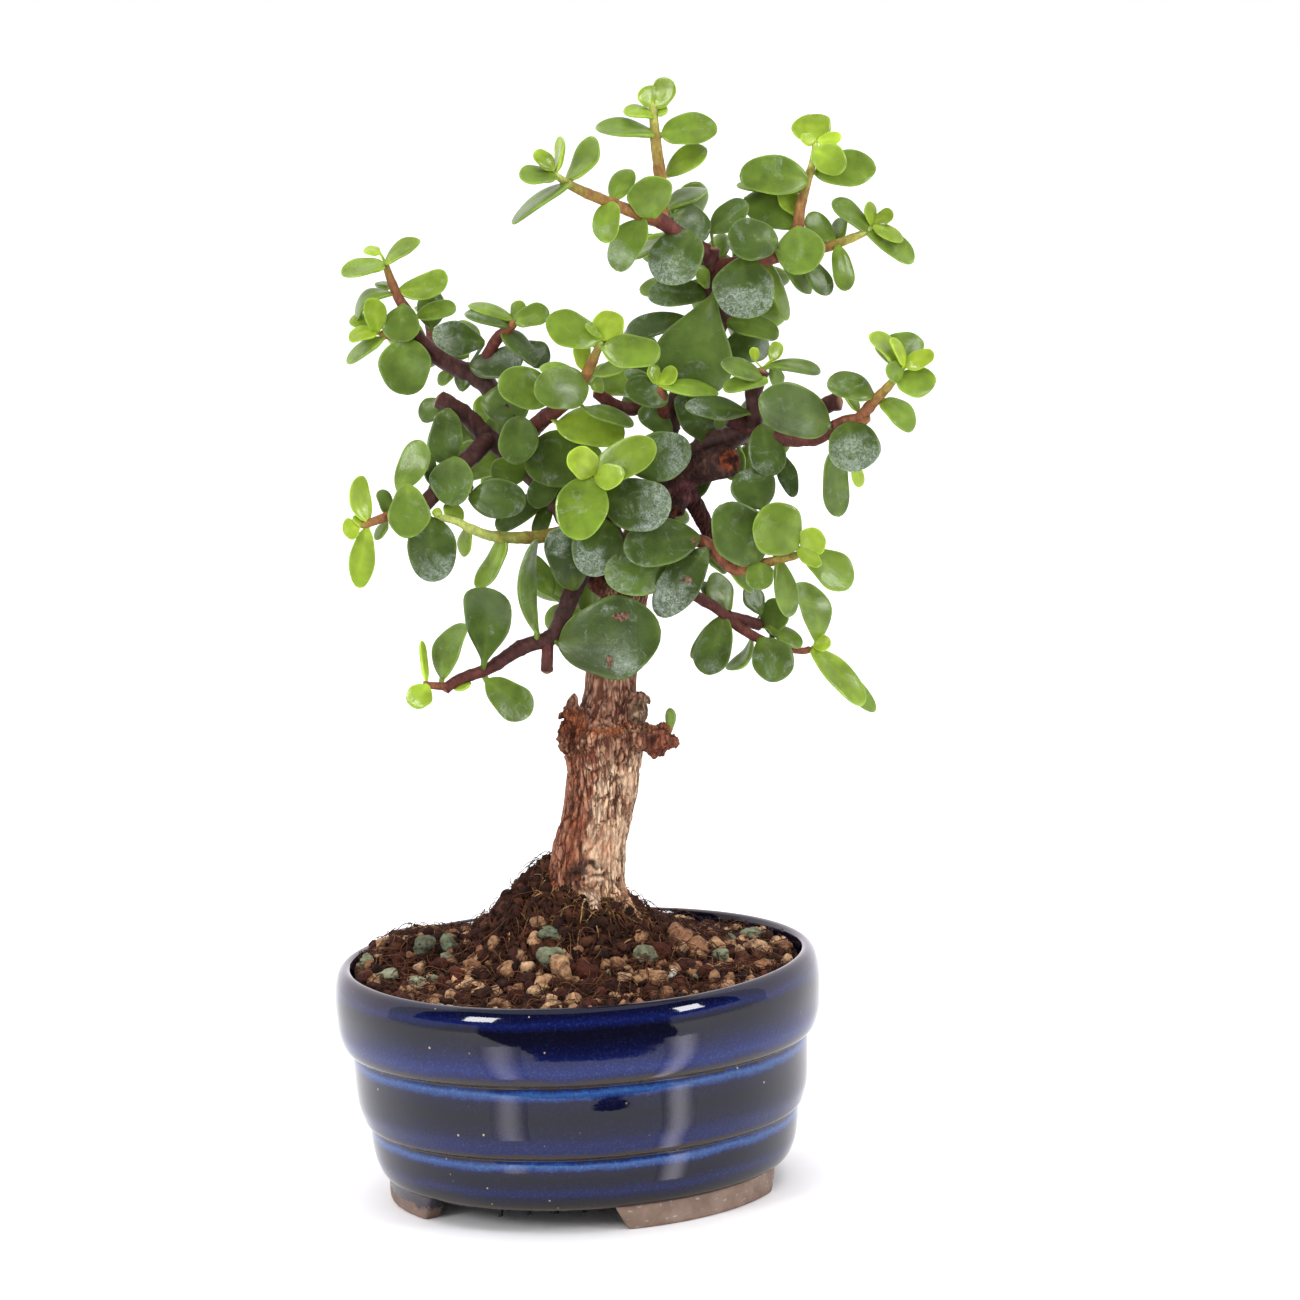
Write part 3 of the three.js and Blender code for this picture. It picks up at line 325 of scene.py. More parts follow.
# %% Nodes in few words
class Nodes:
    """Writes shader nodes into a tree: add() makes a node, and a value given to one of its
    sockets may be a number, a colour or another node's output."""

    def __init__(self, tree):
        self.tree = tree

    def add(self, kind, sockets=None, **settings):
        node = self.tree.nodes.new("ShaderNode" + kind)
        for key, value in settings.items():
            setattr(node, key, value)
        self.fill(node, sockets or {})
        return node

    def fill(self, node, sockets):
        for key, value in sockets.items():
            socket = node.inputs[key]
            if isinstance(value, bpy.types.NodeSocket):
                self.tree.links.new(value, socket)
            else:
                socket.default_value = value

    def math(self, operation, first, second=0.0, third=0.0, clamp=False):
        sockets = {0: first, 1: second, 2: third}
        return self.add("Math", sockets, operation=operation, use_clamp=clamp).outputs[0]

    def times(self, first, second, clamp=False):
        return self.math("MULTIPLY", first, second, clamp=clamp)

    def line(self, value, slope, start):
        """value slope + start."""
        return self.math("MULTIPLY_ADD", value, slope, start)

    def slide(self, value, start, end, first, last):
        """first up to start, last from end on, and straight in between."""
        sockets = {"Value": value, "From Min": start, "From Max": end}
        sockets |= {"To Min": first, "To Max": last}
        return self.add("MapRange", sockets, clamp=True).outputs["Result"]

    def mix(self, factor, first, second, way="MIX"):
        node = self.add("Mix", data_type="RGBA", blend_type=way)
        self.fill(node, {0: factor, 6: first, 7: second})
        return node.outputs[2]

    def ramp(self, factor, stops):
        """stops: (position, colour or grey)."""
        node = self.add("ValToRGB", {"Fac": factor})
        elements = node.color_ramp.elements
        while len(elements) < len(stops):
            elements.new(0.5)
        for element, (position, colour) in zip(elements, stops):
            element.position = position
            element.color = colour if isinstance(colour, tuple) else (colour, colour, colour, 1)
        return node.outputs["Color"]

    def noise(self, vector, scale, detail=4.0, roughness=0.55, distortion=0.0):
        sockets = {"Vector": vector, "Scale": scale, "Detail": detail, "Roughness": roughness}
        return self.add("TexNoise", {**sockets, "Distortion": distortion}).outputs["Fac"]

    def cells(self, vector, scale, feature="F1"):
        """How far a place is from the middle of its cell, or from the cell's border."""
        sockets = {"Vector": vector, "Scale": scale}
        return self.add("TexVoronoi", sockets, feature=feature).outputs["Distance"]

    def axis(self, vector, name):
        return self.add("SeparateXYZ", {"Vector": vector}).outputs[name]

    def place(self, scale=(1, 1, 1)):
        """Object coordinates, in metres, stretched by scale."""
        spot = self.add("TexCoord").outputs["Object"]
        return self.add("Mapping", {"Vector": spot, "Scale": scale}).outputs["Vector"]

    def painted(self, layer="tint"):
        """The colour that the mesh carries on its corners under this name."""
        return self.add("Attribute", attribute_name=layer).outputs["Color"]

    def bump(self, height, distance, strength=1.0, normal=None):
        sockets = {"Height": height, "Distance": distance, "Strength": strength}
        if normal is not None:
            sockets["Normal"] = normal
        return self.add("Bump", sockets).outputs["Normal"]

    def group(self, shared, **sockets):
        """A shared group, fed with this material's own values."""
        return self.add("Group", sockets, node_tree=shared).outputs[0]


class Maker(Nodes):
    """The nodes of one material, which end in its Principled BSDF."""

    def __init__(self, name):
        self.material = bpy.data.materials.new(name)
        self.material.use_nodes = True
        super().__init__(self.material.node_tree)
        self.shader = self.tree.nodes["Principled BSDF"]

    def finish(self, **sockets):
        self.fill(self.shader, {key.replace("_", " "): value for key, value in sockets.items()})
        return self.material


def shared_group(name, inputs, output):
    """An empty node group with named inputs and one output; returns its nodes, what comes in,
    and the socket that goes out."""
    nodes = Nodes(bpy.data.node_groups.new(name, "ShaderNodeTree"))
    sockets = [(*row, "INPUT") for row in inputs] + [(*output, "OUTPUT")]
    for label, kind, way in sockets:
        nodes.tree.interface.new_socket(label, in_out=way, socket_type="NodeSocket" + kind)
    start, end = (nodes.tree.nodes.new("NodeGroup" + kind) for kind in ("Input", "Output"))
    return nodes, start.outputs, end.inputs[output[0]]


# %% [markdown]
# ## Two effects that many finishes share
#
# Bark, leaves and grit are all mottled: their colour is multiplied by a grey that follows a
# noise. Glaze and grit both have small round specks or pores that come in patches. Each
# effect is built once as a group of nodes with named sockets, and every material gives it
# values of its own. The same nodes could be written into each material, but then a change
# would have to be made in each of them.

# %% Mottle and specks
def mottle_group():
    """Color times a grey that is Dark where the noise is at Low, Middle where it is a half, and
    Light where it is at High."""
    values = ("Scale", "Detail", "Roughness", "Low", "High", "Dark", "Middle", "Light")
    inputs = [("Color", "Color"), ("Vector", "Vector")] + [(label, "Float") for label in values]
    nodes, given, out = shared_group("mottle", inputs, ("Color", "Color"))
    patch = nodes.noise(given["Vector"], given["Scale"], given["Detail"], given["Roughness"])
    above = nodes.math("SUBTRACT", given["Light"], given["Middle"])
    grey = nodes.math(
        "ADD",
        nodes.slide(patch, given["Low"], 0.5, given["Dark"], given["Middle"]),
        nodes.slide(patch, 0.5, given["High"], 0.0, above),
    )
    nodes.tree.links.new(nodes.mix(1.0, given["Color"], grey, "MULTIPLY"), out)
    return nodes.tree


def specks_group():
    """1 within Inner of a cell's middle and 0 beyond Outer, times a noise that is cut off below
    Bare and full from Full on."""
    values = ("Scale", "Inner", "Outer", "Patches", "Bare", "Full")
    inputs = [("Vector", "Vector")] + [(label, "Float") for label in values]
    nodes, given, out = shared_group("specks", inputs, ("Mask", "Float"))
    cell = nodes.cells(given["Vector"], given["Scale"])
    dot = nodes.slide(cell, given["Inner"], given["Outer"], 1.0, 0.0)
    patch = nodes.noise(given["Vector"], given["Patches"], 3.0)
    where = nodes.slide(patch, given["Bare"], given["Full"], 0.0, 1.0)
    nodes.tree.links.new(nodes.times(dot, where), out)
    return nodes.tree


mottle, specks = mottle_group(), specks_group()
print("groups:", mottle.name, "and", specks.name)

# %% How a piece joins the frame
def ride(piece, slot, *nodes):
    """Every piece belongs to the frame's one body, and may stand for nodes of it."""
    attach(piece, "root")
    if nodes:
        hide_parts(*nodes)


def dress(piece, *materials):
    for material in materials:
        piece.data.materials.append(material)


# %% [markdown]
# ## The table and what the glaze mirrors
#
# A glossy pot shows its surroundings as streaks. The streaks could be painted on the glaze, but
# they would stay in place when the eye moves, so sheets round the pot do it here: a dark floor
# and flag, two glowing strips of sheet, painted light that the glaze mirrors as streaks, a far
# paper and the faces of the two boxes. Only reflections see them.

# %% The table and its surroundings
TABLE = 6.0
SHEET_ENDS = [  # azimuth from the eye's side, degrees, and where the mirrored sheet ends, mm
    (-46, 1500.0), (-42, 600.0), (-37, 360.0), (-31, 260.0), (-24, 205.0), (-15, 182.0), (0, 176.0),
    (14, 176.0), (26, 182.0), (34, 196.0), (40, 225.0), (43, 300.0),
]
DARK_WIDE, ROOM = 82.0, 1900.0  # half the high flag's spread, degrees, and its distance, mm
FLAG_LOW, FLAG_TOP = 400.0, 3300.0
# The strips glow though they are no lamps: painted light that the glaze mirrors as bright streaks.
STRIPS = [(-18.9, 5.2, 4.2, 34.0), (25.5, 5.2, 5.2, 10.0)]  # where on the glaze, half width,
# brightness, and how near the pot they begin
POT_RADIUS = 59.0
STRIP_STEPS, STRIP_ROWS = 17, (60.0, 170.0)  # points across, and how far out the rows lie, mm
BACKDROP, BACK_HALF = 1.7, 82.0  # the overlit paper behind: brightness, half its spread, degrees
LILAC = (1.0, 0.945, 1.05, 1.0)  # the slight cast of what the glaze mirrors


def make_table():
    """A square sheet at z = 0."""
    side = 1000 * TABLE
    points = np.array([[-side, -side, 0], [side, -side, 0], [side, side, 0], [-side, side, 0]])
    return make_object("table", points, np.array([[0, 1, 2, 3]]), smooth=False)


def sector(name, rows, start, end, columns=25, colours=None):
    """Rings of radius and height round the pot, between two azimuths counted from the eye."""
    azimuth = np.radians(-90 + np.linspace(start, end, columns))
    rows = np.array(rows, float)
    points = polar(rows[:, :1], azimuth, rows[:, 1:]).reshape(-1, 3)
    return make_object(name, points, grid_faces(len(rows), columns, closed=False), colours=colours)


def only_mirrored(piece):
    piece.visible_camera = piece.visible_diffuse = piece.visible_shadow = False
    piece.visible_transmission = False


def glowing(name, colour, strength=1.0):
    """A black surface that only shines."""
    made = Maker(name)
    colour = made.painted(colour) if isinstance(colour, str) else colour
    return made.finish(
        Base_Color=srgb(0, 0, 0), Emission_Color=colour, Emission_Strength=strength
    )


sheet = Maker("white_sheet")
grain = sheet.noise(sheet.place(), 60.0)
white = sheet.ramp(grain, [(0.3, (0.95, 0.94, 0.96, 1)), (0.7, (0.97, 0.96, 0.98, 1))])
table = make_table()
dress(table, sheet.finish(Base_Color=white, Roughness=0.75))

black = Maker("black_cloth")
weave = black.ramp(black.noise(black.place(), 400.0), [(0.2, 0.002), (0.8, 0.006)])
black.finish(Base_Color=weave, Roughness=1.0, Specular_IOR_Level=0.0)


def dark_floor():
    """From the edge of the sheet out to the flag, and up it."""
    azimuth, edge = np.array(SHEET_ENDS).T
    azimuth = np.radians(azimuth - 90)
    rows = [(edge, 1.0), (ROOM + 0 * edge, 1.0), (ROOM + 0 * edge, FLAG_LOW)]
    points = np.concatenate([polar(radius, azimuth, height) for radius, height in rows])
    return make_object("flag_low", points, grid_faces(3, len(azimuth), closed=False))


flags = [
    dark_floor(),
    sector("flag_high", [(ROOM, FLAG_LOW), (ROOM, FLAG_TOP)], -DARK_WIDE, DARK_WIDE),
]
for flag in flags:
    dress(flag, black.material)


def strip(name, normal, half, power, nearest):
    """A strip of the sheet, in rows away from the pot, that glows as painted light: a painted
    reflection of box light that only the glaze sees. A glaze point whose normal points to
    azimuth a mirrors the line that leaves it towards 2 a; the glow is a bell across."""
    a = np.radians(normal + np.linspace(-half, half, STRIP_STEPS))
    towards = lambda angle: np.stack([np.sin(angle), -np.cos(angle)], -1)
    foot, sight = POT_RADIUS * towards(a), towards(2 * a)
    away = (nearest, *STRIP_ROWS)
    rows = [np.column_stack([foot + far * sight, 0 * a + 2.0]) for far in away]
    bell = 1.0 + (power - 1.0) * np.sin(np.linspace(0, np.pi, STRIP_STEPS)) ** 2
    glow = np.outer(np.tile(bell, len(away)), LILAC[:3])
    faces = grid_faces(len(away), STRIP_STEPS, closed=False)
    return make_object(name, np.vstack(rows), faces, colours={"glow": glow})


shine = glowing("strip_shine", "glow")
strips = [strip(f"strip_{i + 1}", *row) for i, row in enumerate(STRIPS)]
for piece in strips:
    dress(piece, shine)


def box_mirror(name, place, size):
    """What a glossy thing sees of a soft box: a bright rectangle that faces AIM."""
    turn = (AIM - Vector(place)).to_track_quat("-Z", "Y").to_matrix()
    across, up = np.array(turn.col[0]) * size[0] / 2, np.array(turn.col[1]) * size[1] / 2
    corners = np.array(place) + np.array([-across - up, across - up, across + up, up - across])
    corners = corners * 1000 - [POT_X, 0, 0]
    piece = make_object(name, corners, np.array([[0, 1, 2, 3]]), smooth=False)
    dress(piece, glowing(name, (1, 1, 1, 1), BOX_SHINE))
    return piece


backdrop = sector("backdrop", [(ROOM, 3.0), (ROOM, FLAG_TOP)], 180 - BACK_HALF, 180 + BACK_HALF)
dress(backdrop, glowing("overlit_paper", LILAC, BACKDROP))
mirrors = [backdrop]
mirrors += [box_mirror(name + "_mirror", where, size) for name, where, size, _ in BOXES]
for piece in flags + strips + mirrors:
    only_mirrored(piece)
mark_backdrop(table, *flags, *strips, *mirrors)
print("table", 2 * TABLE, "m wide,", len(flags), "flags and", len(strips), "strips")

# %% [markdown]
# ## The pot
#
# The pot was thrown on a wheel, so its body is one profile spun round the upright axis. The
# profile is drawn as a smooth curve through a few measured points: three bands, each rounded
# under at its lower edge and set back from the one above, then the lip, and down the inside.
# Three drainage holes are cut through the floor, and three bracket feet sit under the rim.

# %% The profile and the spin
SIDES = 192
OUTSIDE = [  # radius and height, mm
    (51.0, 6.0), (52.4, 7.0), (53.6, 9.2), (54.5, 12.0), (55.1, 16.0), (55.15, 18.6),
    (55.0, 19.6), (55.4, 19.9), (56.4, 20.7), (57.1, 22.6), (57.9, 25.5), (58.25, 29.0),
    (58.45, 33.0), (58.65, 37.2), (58.4, 38.8), (58.9, 39.1), (60.2, 39.9), (61.2, 41.7),
    (62.0, 44.6), (62.3, 48.0), (62.45, 51.5), (62.3, 54.6), (61.8, 57.4), (60.9, 59.4),
    (59.6, 60.4), (58.3, 60.2), (57.7, 59.2), (57.4, 57.0), (57.0, 50.0), (56.4, 44.0),
    (54.4, 38.0), (53.4, 26.0), (50.6, 17.0), (48.5, 11.4), (47.5, 11.0),
]
FLOOR_TOP = 11.0


def hermite(t, start, end, leave, arrive):
    """The cubic from start to end whose slopes there are leave and arrive:
    (2t^3 - 3t^2 + 1) start + (t^3 - 2t^2 + t) leave + (3t^2 - 2t^3) end + (t^3 - t^2) arrive."""
    first = (2 * t**3 - 3 * t**2 + 1) * start + (t**3 - 2 * t**2 + t) * leave
    return first + ((3 * t**2 - 2 * t**3) * end + (t**3 - t**2) * arrive)


def smooth_curve(points, count):
    """A Catmull-Rom curve, count samples a span: the slope at a point is half the step from the
    point before it to the one after."""
    points = np.asarray(points, float)
    before = np.vstack([points[:1], points[:-1]])
    after = np.vstack([points[1:], points[-1:]])
    slope = ((after - before) / 2)[:, None]
    t = np.linspace(0, 1, count, endpoint=False)[None, :, None]
    spans = hermite(t, points[:-1, None], points[1:, None], slope[:-1], slope[1:])
    return np.vstack([spans.reshape(-1, points.shape[1]), points[-1:]])


def spin(profile, sides):
    """radius and height turned round the upright axis: (r cos a, r sin a, z), closed with two
    fans at the axis."""
    angle = circle(sides)
    rings = polar(profile[:, :1], angle, profile[:, 1:])
    middles = [[0, 0, profile[0, 1]], [0, 0, profile[-1, 1]]]
    points = np.vstack([rings.reshape(-1, 3), middles])
    return points, *closed_faces(len(profile), sides)


def thrown(points):
    """A hand-thrown wall is not quite round: the radius wavers by a tenth of a millimetre, one
    small swell right of the middle of the second band catches the dark of the room, and the
    lip sags a little at the front."""
    radius = np.hypot(points[:, 0], points[:, 1])
    azimuth = np.degrees(np.arctan2(points[:, 0], -points[:, 1]))
    waver = 0.12 * lattice_noise(points * [1, 1, 0.6], 24.0, 3, 2)
    swell = 0.2 * np.exp(-((azimuth - 8) / 6.0) ** 2 - ((points[:, 2] - 32.0) / 2.2) ** 2)
    outside = smoothstep(57.9, 58.2, radius) + smoothstep(0, 1, 40 - points[:, 2]) * (radius > 50.9)
    scale = 1 + np.clip(outside, 0, 1) * (waver - 0.12 + swell) / np.maximum(radius, 1)
    sag = 1.2 * smoothstep(47, 60, points[:, 2]) * smoothstep(10, 60, -points[:, 1])
    return points * np.stack([scale, scale, 1 + 0 * scale], -1) - np.outer(sag, [0, 0, 1])


points, quads, triangles = spin(smooth_curve(OUTSIDE, 4), SIDES)
pot = make_object("pot_body", thrown(points), quads, triangles)
print("pot body:", len(pot.data.polygons), "faces")

# %% Holes through the floor
HOLE_OUT, HOLE_RADIUS, HOLE_ANGLES, HOLE_SIDES = 29.0, 15.5, (-113, 7, 127), 48


def drill(piece, angle):
    """Cuts a round hole through the floor, at HOLE_OUT from the axis."""
    step = np.array([(HOLE_RADIUS, -1.0), (HOLE_RADIUS, FLOOR_TOP + 1)])
    points, quads, triangles = spin(step, HOLE_SIDES)
    turn = np.radians(angle)
    points += [HOLE_OUT * np.cos(turn), HOLE_OUT * np.sin(turn), 0]
    cutter = make_object("cutter", points, quads, triangles)
    change(piece, "BOOLEAN", object=cutter, operation="DIFFERENCE", solver="EXACT")
    bpy.data.objects.remove(cutter)


for hole_angle in HOLE_ANGLES:
    drill(pot, hole_angle)
print("pot body, drilled:", len(pot.data.polygons), "faces")

# %% Bracket feet
FOOT_ANGLES, FOOT_HALF, FOOT_LEAD = (-50, -172, 70), 32.0, 4.0
FOOT_IN, FOOT_OUT, FOOT_TOP, FOOT_CORNERS = 46.0, 50.9, 6.6, 40
FOOT_SOFTNESS = 0.28  # an ellipse whose sides are raised to this power is nearly a rectangle


def foot(name, angle):
    """A curved block: across its section, a rounded rectangle from FOOT_IN to FOOT_OUT and from
    the table to FOOT_TOP; along it, an arc whose ends lean in by FOOT_LEAD towards the table."""
    corner = np.linspace(0, 2 * np.pi, FOOT_CORNERS, endpoint=False)
    across = np.sign(np.cos(corner)) * np.abs(np.cos(corner)) ** FOOT_SOFTNESS
    up = np.sign(np.sin(corner)) * np.abs(np.sin(corner)) ** FOOT_SOFTNESS
    along = [[-1.0, -0.995, -0.98], np.linspace(-0.95, 0.95, 45), [0.98, 0.995, 1.0]]
    along = np.concatenate(along)
    end = np.clip((1 - np.abs(along)) / 0.03, 0, 1) ** 0.5  # 0 at the ends, 1 inside
    shrink = (0.86 + 0.14 * end)[:, None]
    radius = (FOOT_IN + FOOT_OUT) / 2 + across * (FOOT_OUT - FOOT_IN) / 2 * shrink
    height = FOOT_TOP / 2 + up * FOOT_TOP / 2
    half = FOOT_HALF - FOOT_LEAD * (1 - height / FOOT_TOP)
    turn = np.radians(angle + along[:, None] * half)
    rings = polar(radius, turn, height)
    points = np.vstack([rings.reshape(-1, 3), rings[[0, -1]].mean(axis=1)])
    return make_object(name, points, *closed_faces(len(along), FOOT_CORNERS, flip=True))


feet = [foot(f"pot_foot_{i + 1}", angle) for i, angle in enumerate(FOOT_ANGLES)]
print(len(feet), "feet")

# %% [markdown]
# ## The glaze
#
# A cobalt glaze runs while it is molten. Where it gathers, just under each step and low on
# each band, it is thick and bright blue; where it thins, on edges and on the upper part of
# each band, the iron-rich clay shows through nearly black, and on the rounded lower edges an
# olive brown. So the colour is read from a table of heights, blurred and shaken by noise, with
# a fine crackle of pale flecks in the thick parts. Under it all lies one smooth, wet gloss.

# %% Glaze
NEARLY_BLACK = srgb(10, 9, 24)
INK = srgb(10, 11, 42)
DEEP_BLUE = srgb(14, 20, 70)
BLUE = srgb(22, 36, 90)
BRIGHT = srgb(44, 78, 132)
OLIVE = srgb(46, 38, 28)
GLAZE_BY_HEIGHT = [  # height, mm, and colour, from the underside to the lip
    (6.0, OLIVE), (8.0, srgb(26, 22, 22)), (9.5, INK), (11.0, DEEP_BLUE), (12.5, INK),
    (14.5, NEARLY_BLACK), (16.6, INK), (16.9, BLUE), (18.1, BRIGHT), (19.1, BLUE),
    (19.6, OLIVE), (21.0, OLIVE), (21.9, DEEP_BLUE), (24.0, DEEP_BLUE), (26.5, INK),
    (31.0, NEARLY_BLACK), (35.4, INK), (35.9, BLUE), (37.3, BRIGHT), (38.3, BLUE),
    (38.7, OLIVE), (40.6, OLIVE), (41.6, DEEP_BLUE), (43.4, srgb(19, 32, 92)), (45.8, DEEP_BLUE),
    (49.0, INK), (52.0, NEARLY_BLACK), (54.0, NEARLY_BLACK), (55.8, DEEP_BLUE), (57.2, INK),
    (59.5, NEARLY_BLACK), (61.0, OLIVE),
]
GLAZE_TOP = GLAZE_BY_HEIGHT[-1][0]


def glaze_material():
    """Colour by height, in the 32 stops that one ramp holds. Two noises shake the height, pale
    flecks show where the blue is thick, and a few specks of dust stuck to the glaze."""
    glaze = Maker("cobalt_glaze")
    spot = glaze.place()
    height = glaze.axis(spot, "Z")
    shake = glaze.math("SUBTRACT", glaze.noise(spot, 75.0, 5.0), 0.5)
    fine = glaze.math("SUBTRACT", glaze.noise(spot, 900.0, 2.0), 0.5)
    height = glaze.line(shake, 0.0022, height)
    height = glaze.line(fine, 0.0011, height)
    stops = [(up / GLAZE_TOP, colour) for up, colour in GLAZE_BY_HEIGHT]
    base = glaze.ramp(glaze.times(height, 1000 / GLAZE_TOP), stops)
    fleck = glaze.ramp(glaze.noise(spot, 1700.0, 3.0), [(0.5, 0.0), (0.74, 0.6)])
    thick = glaze.add("SeparateColor", {"Color": base}).outputs["Blue"]
    pale = glaze.times(fleck, glaze.times(thick, 2.6, clamp=True))
    base = glaze.mix(pale, base, srgb(84, 132, 184))
    dust = glaze.group(
        specks, Vector=spot, Scale=210.0, Inner=0.045, Outer=0.08,
        Patches=90.0, Bare=0.48, Full=0.56,
    )
    base = glaze.mix(dust, base, srgb(170, 150, 130))
    rough = glaze.line(glaze.noise(spot, 35.0, 3.0), 0.08, 0.02)
    rough = glaze.line(dust, 0.5, rough)
    normal = glaze.bump(glaze.noise(spot, 28.0, 2.0), 0.0006, 0.35)
    normal = glaze.bump(glaze.noise(spot, 500.0, 2.0), 0.00003, 0.5, normal)
    return glaze.finish(
        Base_Color=base, Roughness=rough, Normal=normal, Specular_IOR_Level=0.36
    )


# %% Bare clay
RUN_LEFT = -0.035  # metres; glaze ran down on the foot left of this


def clay_material():
    """Fired stoneware: a warm taupe with sandy grains and pale scuffs, and a run of glaze on
    the foot at the left."""
    clay = Maker("bare_stoneware")
    spot = clay.place()
    base = clay.ramp(
        clay.noise(spot, 160.0, 6.0),
        [(0.3, srgb(104, 82, 70)), (0.5, srgb(124, 101, 87)), (0.72, srgb(142, 120, 106))],
    )
    scuff = clay.ramp(clay.noise(clay.place((1, 1, 3)), 420.0, 4.0), [(0.62, 0.0), (0.72, 0.8)])
    base = clay.mix(scuff, base, srgb(176, 168, 162))
    height = clay.axis(spot, "Z")
    height = clay.line(clay.noise(spot, 240.0, 4.0), 0.006, height)
    run = clay.ramp(clay.times(height, 100.0), [(0.58, 0.0), (0.66, 0.92)])
    run = clay.times(run, clay.math("LESS_THAN", clay.axis(spot, "X"), RUN_LEFT))
    base = clay.mix(run, base, srgb(24, 22, 40))
    normal = clay.bump(clay.noise(spot, 1100.0, 4.0), 0.00012, 0.8)
    rough = clay.line(run, -0.5, 0.72)
    return clay.finish(Base_Color=base, Roughness=rough, Normal=normal)


glaze, clay = glaze_material(), clay_material()
dress(pot, glaze)
ride(pot, "glaze", "pot")
for piece in feet:
    dress(piece, clay)
    ride(piece, "glaze", "pot")
print("glazed, with", len(GLAZE_BY_HEIGHT), "colours by height")

# %% Nets over the holes
def net_material():
    """Black polythene, a little scratched."""
    net = Maker("black_plastic")
    spot = net.place()
    base = net.ramp(net.noise(spot, 300.0), [(0.3, srgb(16, 16, 17)), (0.7, srgb(34, 33, 33))])
    normal = net.bump(net.noise(spot, 900.0), 0.00005, 0.6)
    return net.finish(Base_Color=base, Roughness=0.5, Normal=normal)


net_black = net_material()
nets = [node for name, node in frame["nodes"].items() if name.startswith("drainage_net")]
for net in nets:
    for slot in net.material_slots:
        slot.material = net_black
print(len(nets), "nets keep their own solids")

# %% [markdown]
# ## The soil
#
# Bonsai soil is a loose mix: dark peat with fibres, tan clay granules, grey-green zeolite and
# dark red lava. One height field carries the mound round the trunk. On it lie the stones that
# show most, each set where it is seen from the camera, then small stones, crumbs and fibres
# scattered by a seeded rule. Each kind is one mesh whose pieces carry their own colour.

# %% The ground
SOIL_EDGE, SOIL_REACH, SOIL_BASE = 57.6, 56.9, 13.0
GROUND_SIDES, GROUND_RINGS = 240, 90
MOUNDS = [  # middle, rise and width, mm
    (4.3, 0.0, 18.0, 24.0), (-9.0, 5.0, 13.0, 16.0), (-40.0, 8.0, 6.0, 12.0),
    (-40.0, 26.0, 3.5, 15.0), (-50.0, 0.0, 1.8, 12.0),
]
WALL_INSIDE = [(56.5, 50.0), (53.7, 38.0), (52.9, 26.0), (50.1, 17.0), (48.9, SOIL_BASE)]
TRUNK_FOOT = 4.4  # how far right of the pot's middle the trunk stands, mm


def ground(x, y):
    """Edge height plus a bell for each mound plus the relief of the grains."""
    height = SOIL_EDGE + 0 * x
    for at_x, at_y, rise, width in MOUNDS:
        height = height + rise * np.exp(-((x - at_x) ** 2 + (y - at_y) ** 2) / width**2)
    flat = np.stack([x, y, 0 * x], -1)
    height = height - 0.9 * smoothstep(20, 55, -y)
    return height + 0.9 * lattice_noise(flat, 9.0, 4) + 0.6 * lattice_noise(flat, 2.5, 5, 3) - 0.5


def laid(x, y, lift=0.0):
    """Places on the ground at x and y, or lift above it."""
    return np.stack([x, y, ground(x, y) + lift], -1)


def make_ground():
    """Rings of a polar grid over the ground, then down the inside of the wall to the floor."""
    angle = circle(GROUND_SIDES)
    rings = SOIL_REACH * np.linspace(0.004, 1, GROUND_RINGS)
    radius, turn = np.meshgrid(rings, angle, indexing="ij")
    top = laid(radius * np.cos(turn), radius * np.sin(turn))
    down = np.array([polar(r, angle, z) for r, z in [*WALL_INSIDE, (0.4, SOIL_BASE)]])
    points = np.concatenate([top, down]).reshape(-1, 3)
    middles = np.array([top[0].mean(axis=0), [0, 0, SOIL_BASE]])
    faces = closed_faces(len(rings) + len(down), GROUND_SIDES, flip=True)
    return make_object("soil_ground", np.vstack([points, middles]), *faces)


soil = make_ground()
print("ground:", len(soil.data.polygons), "faces")

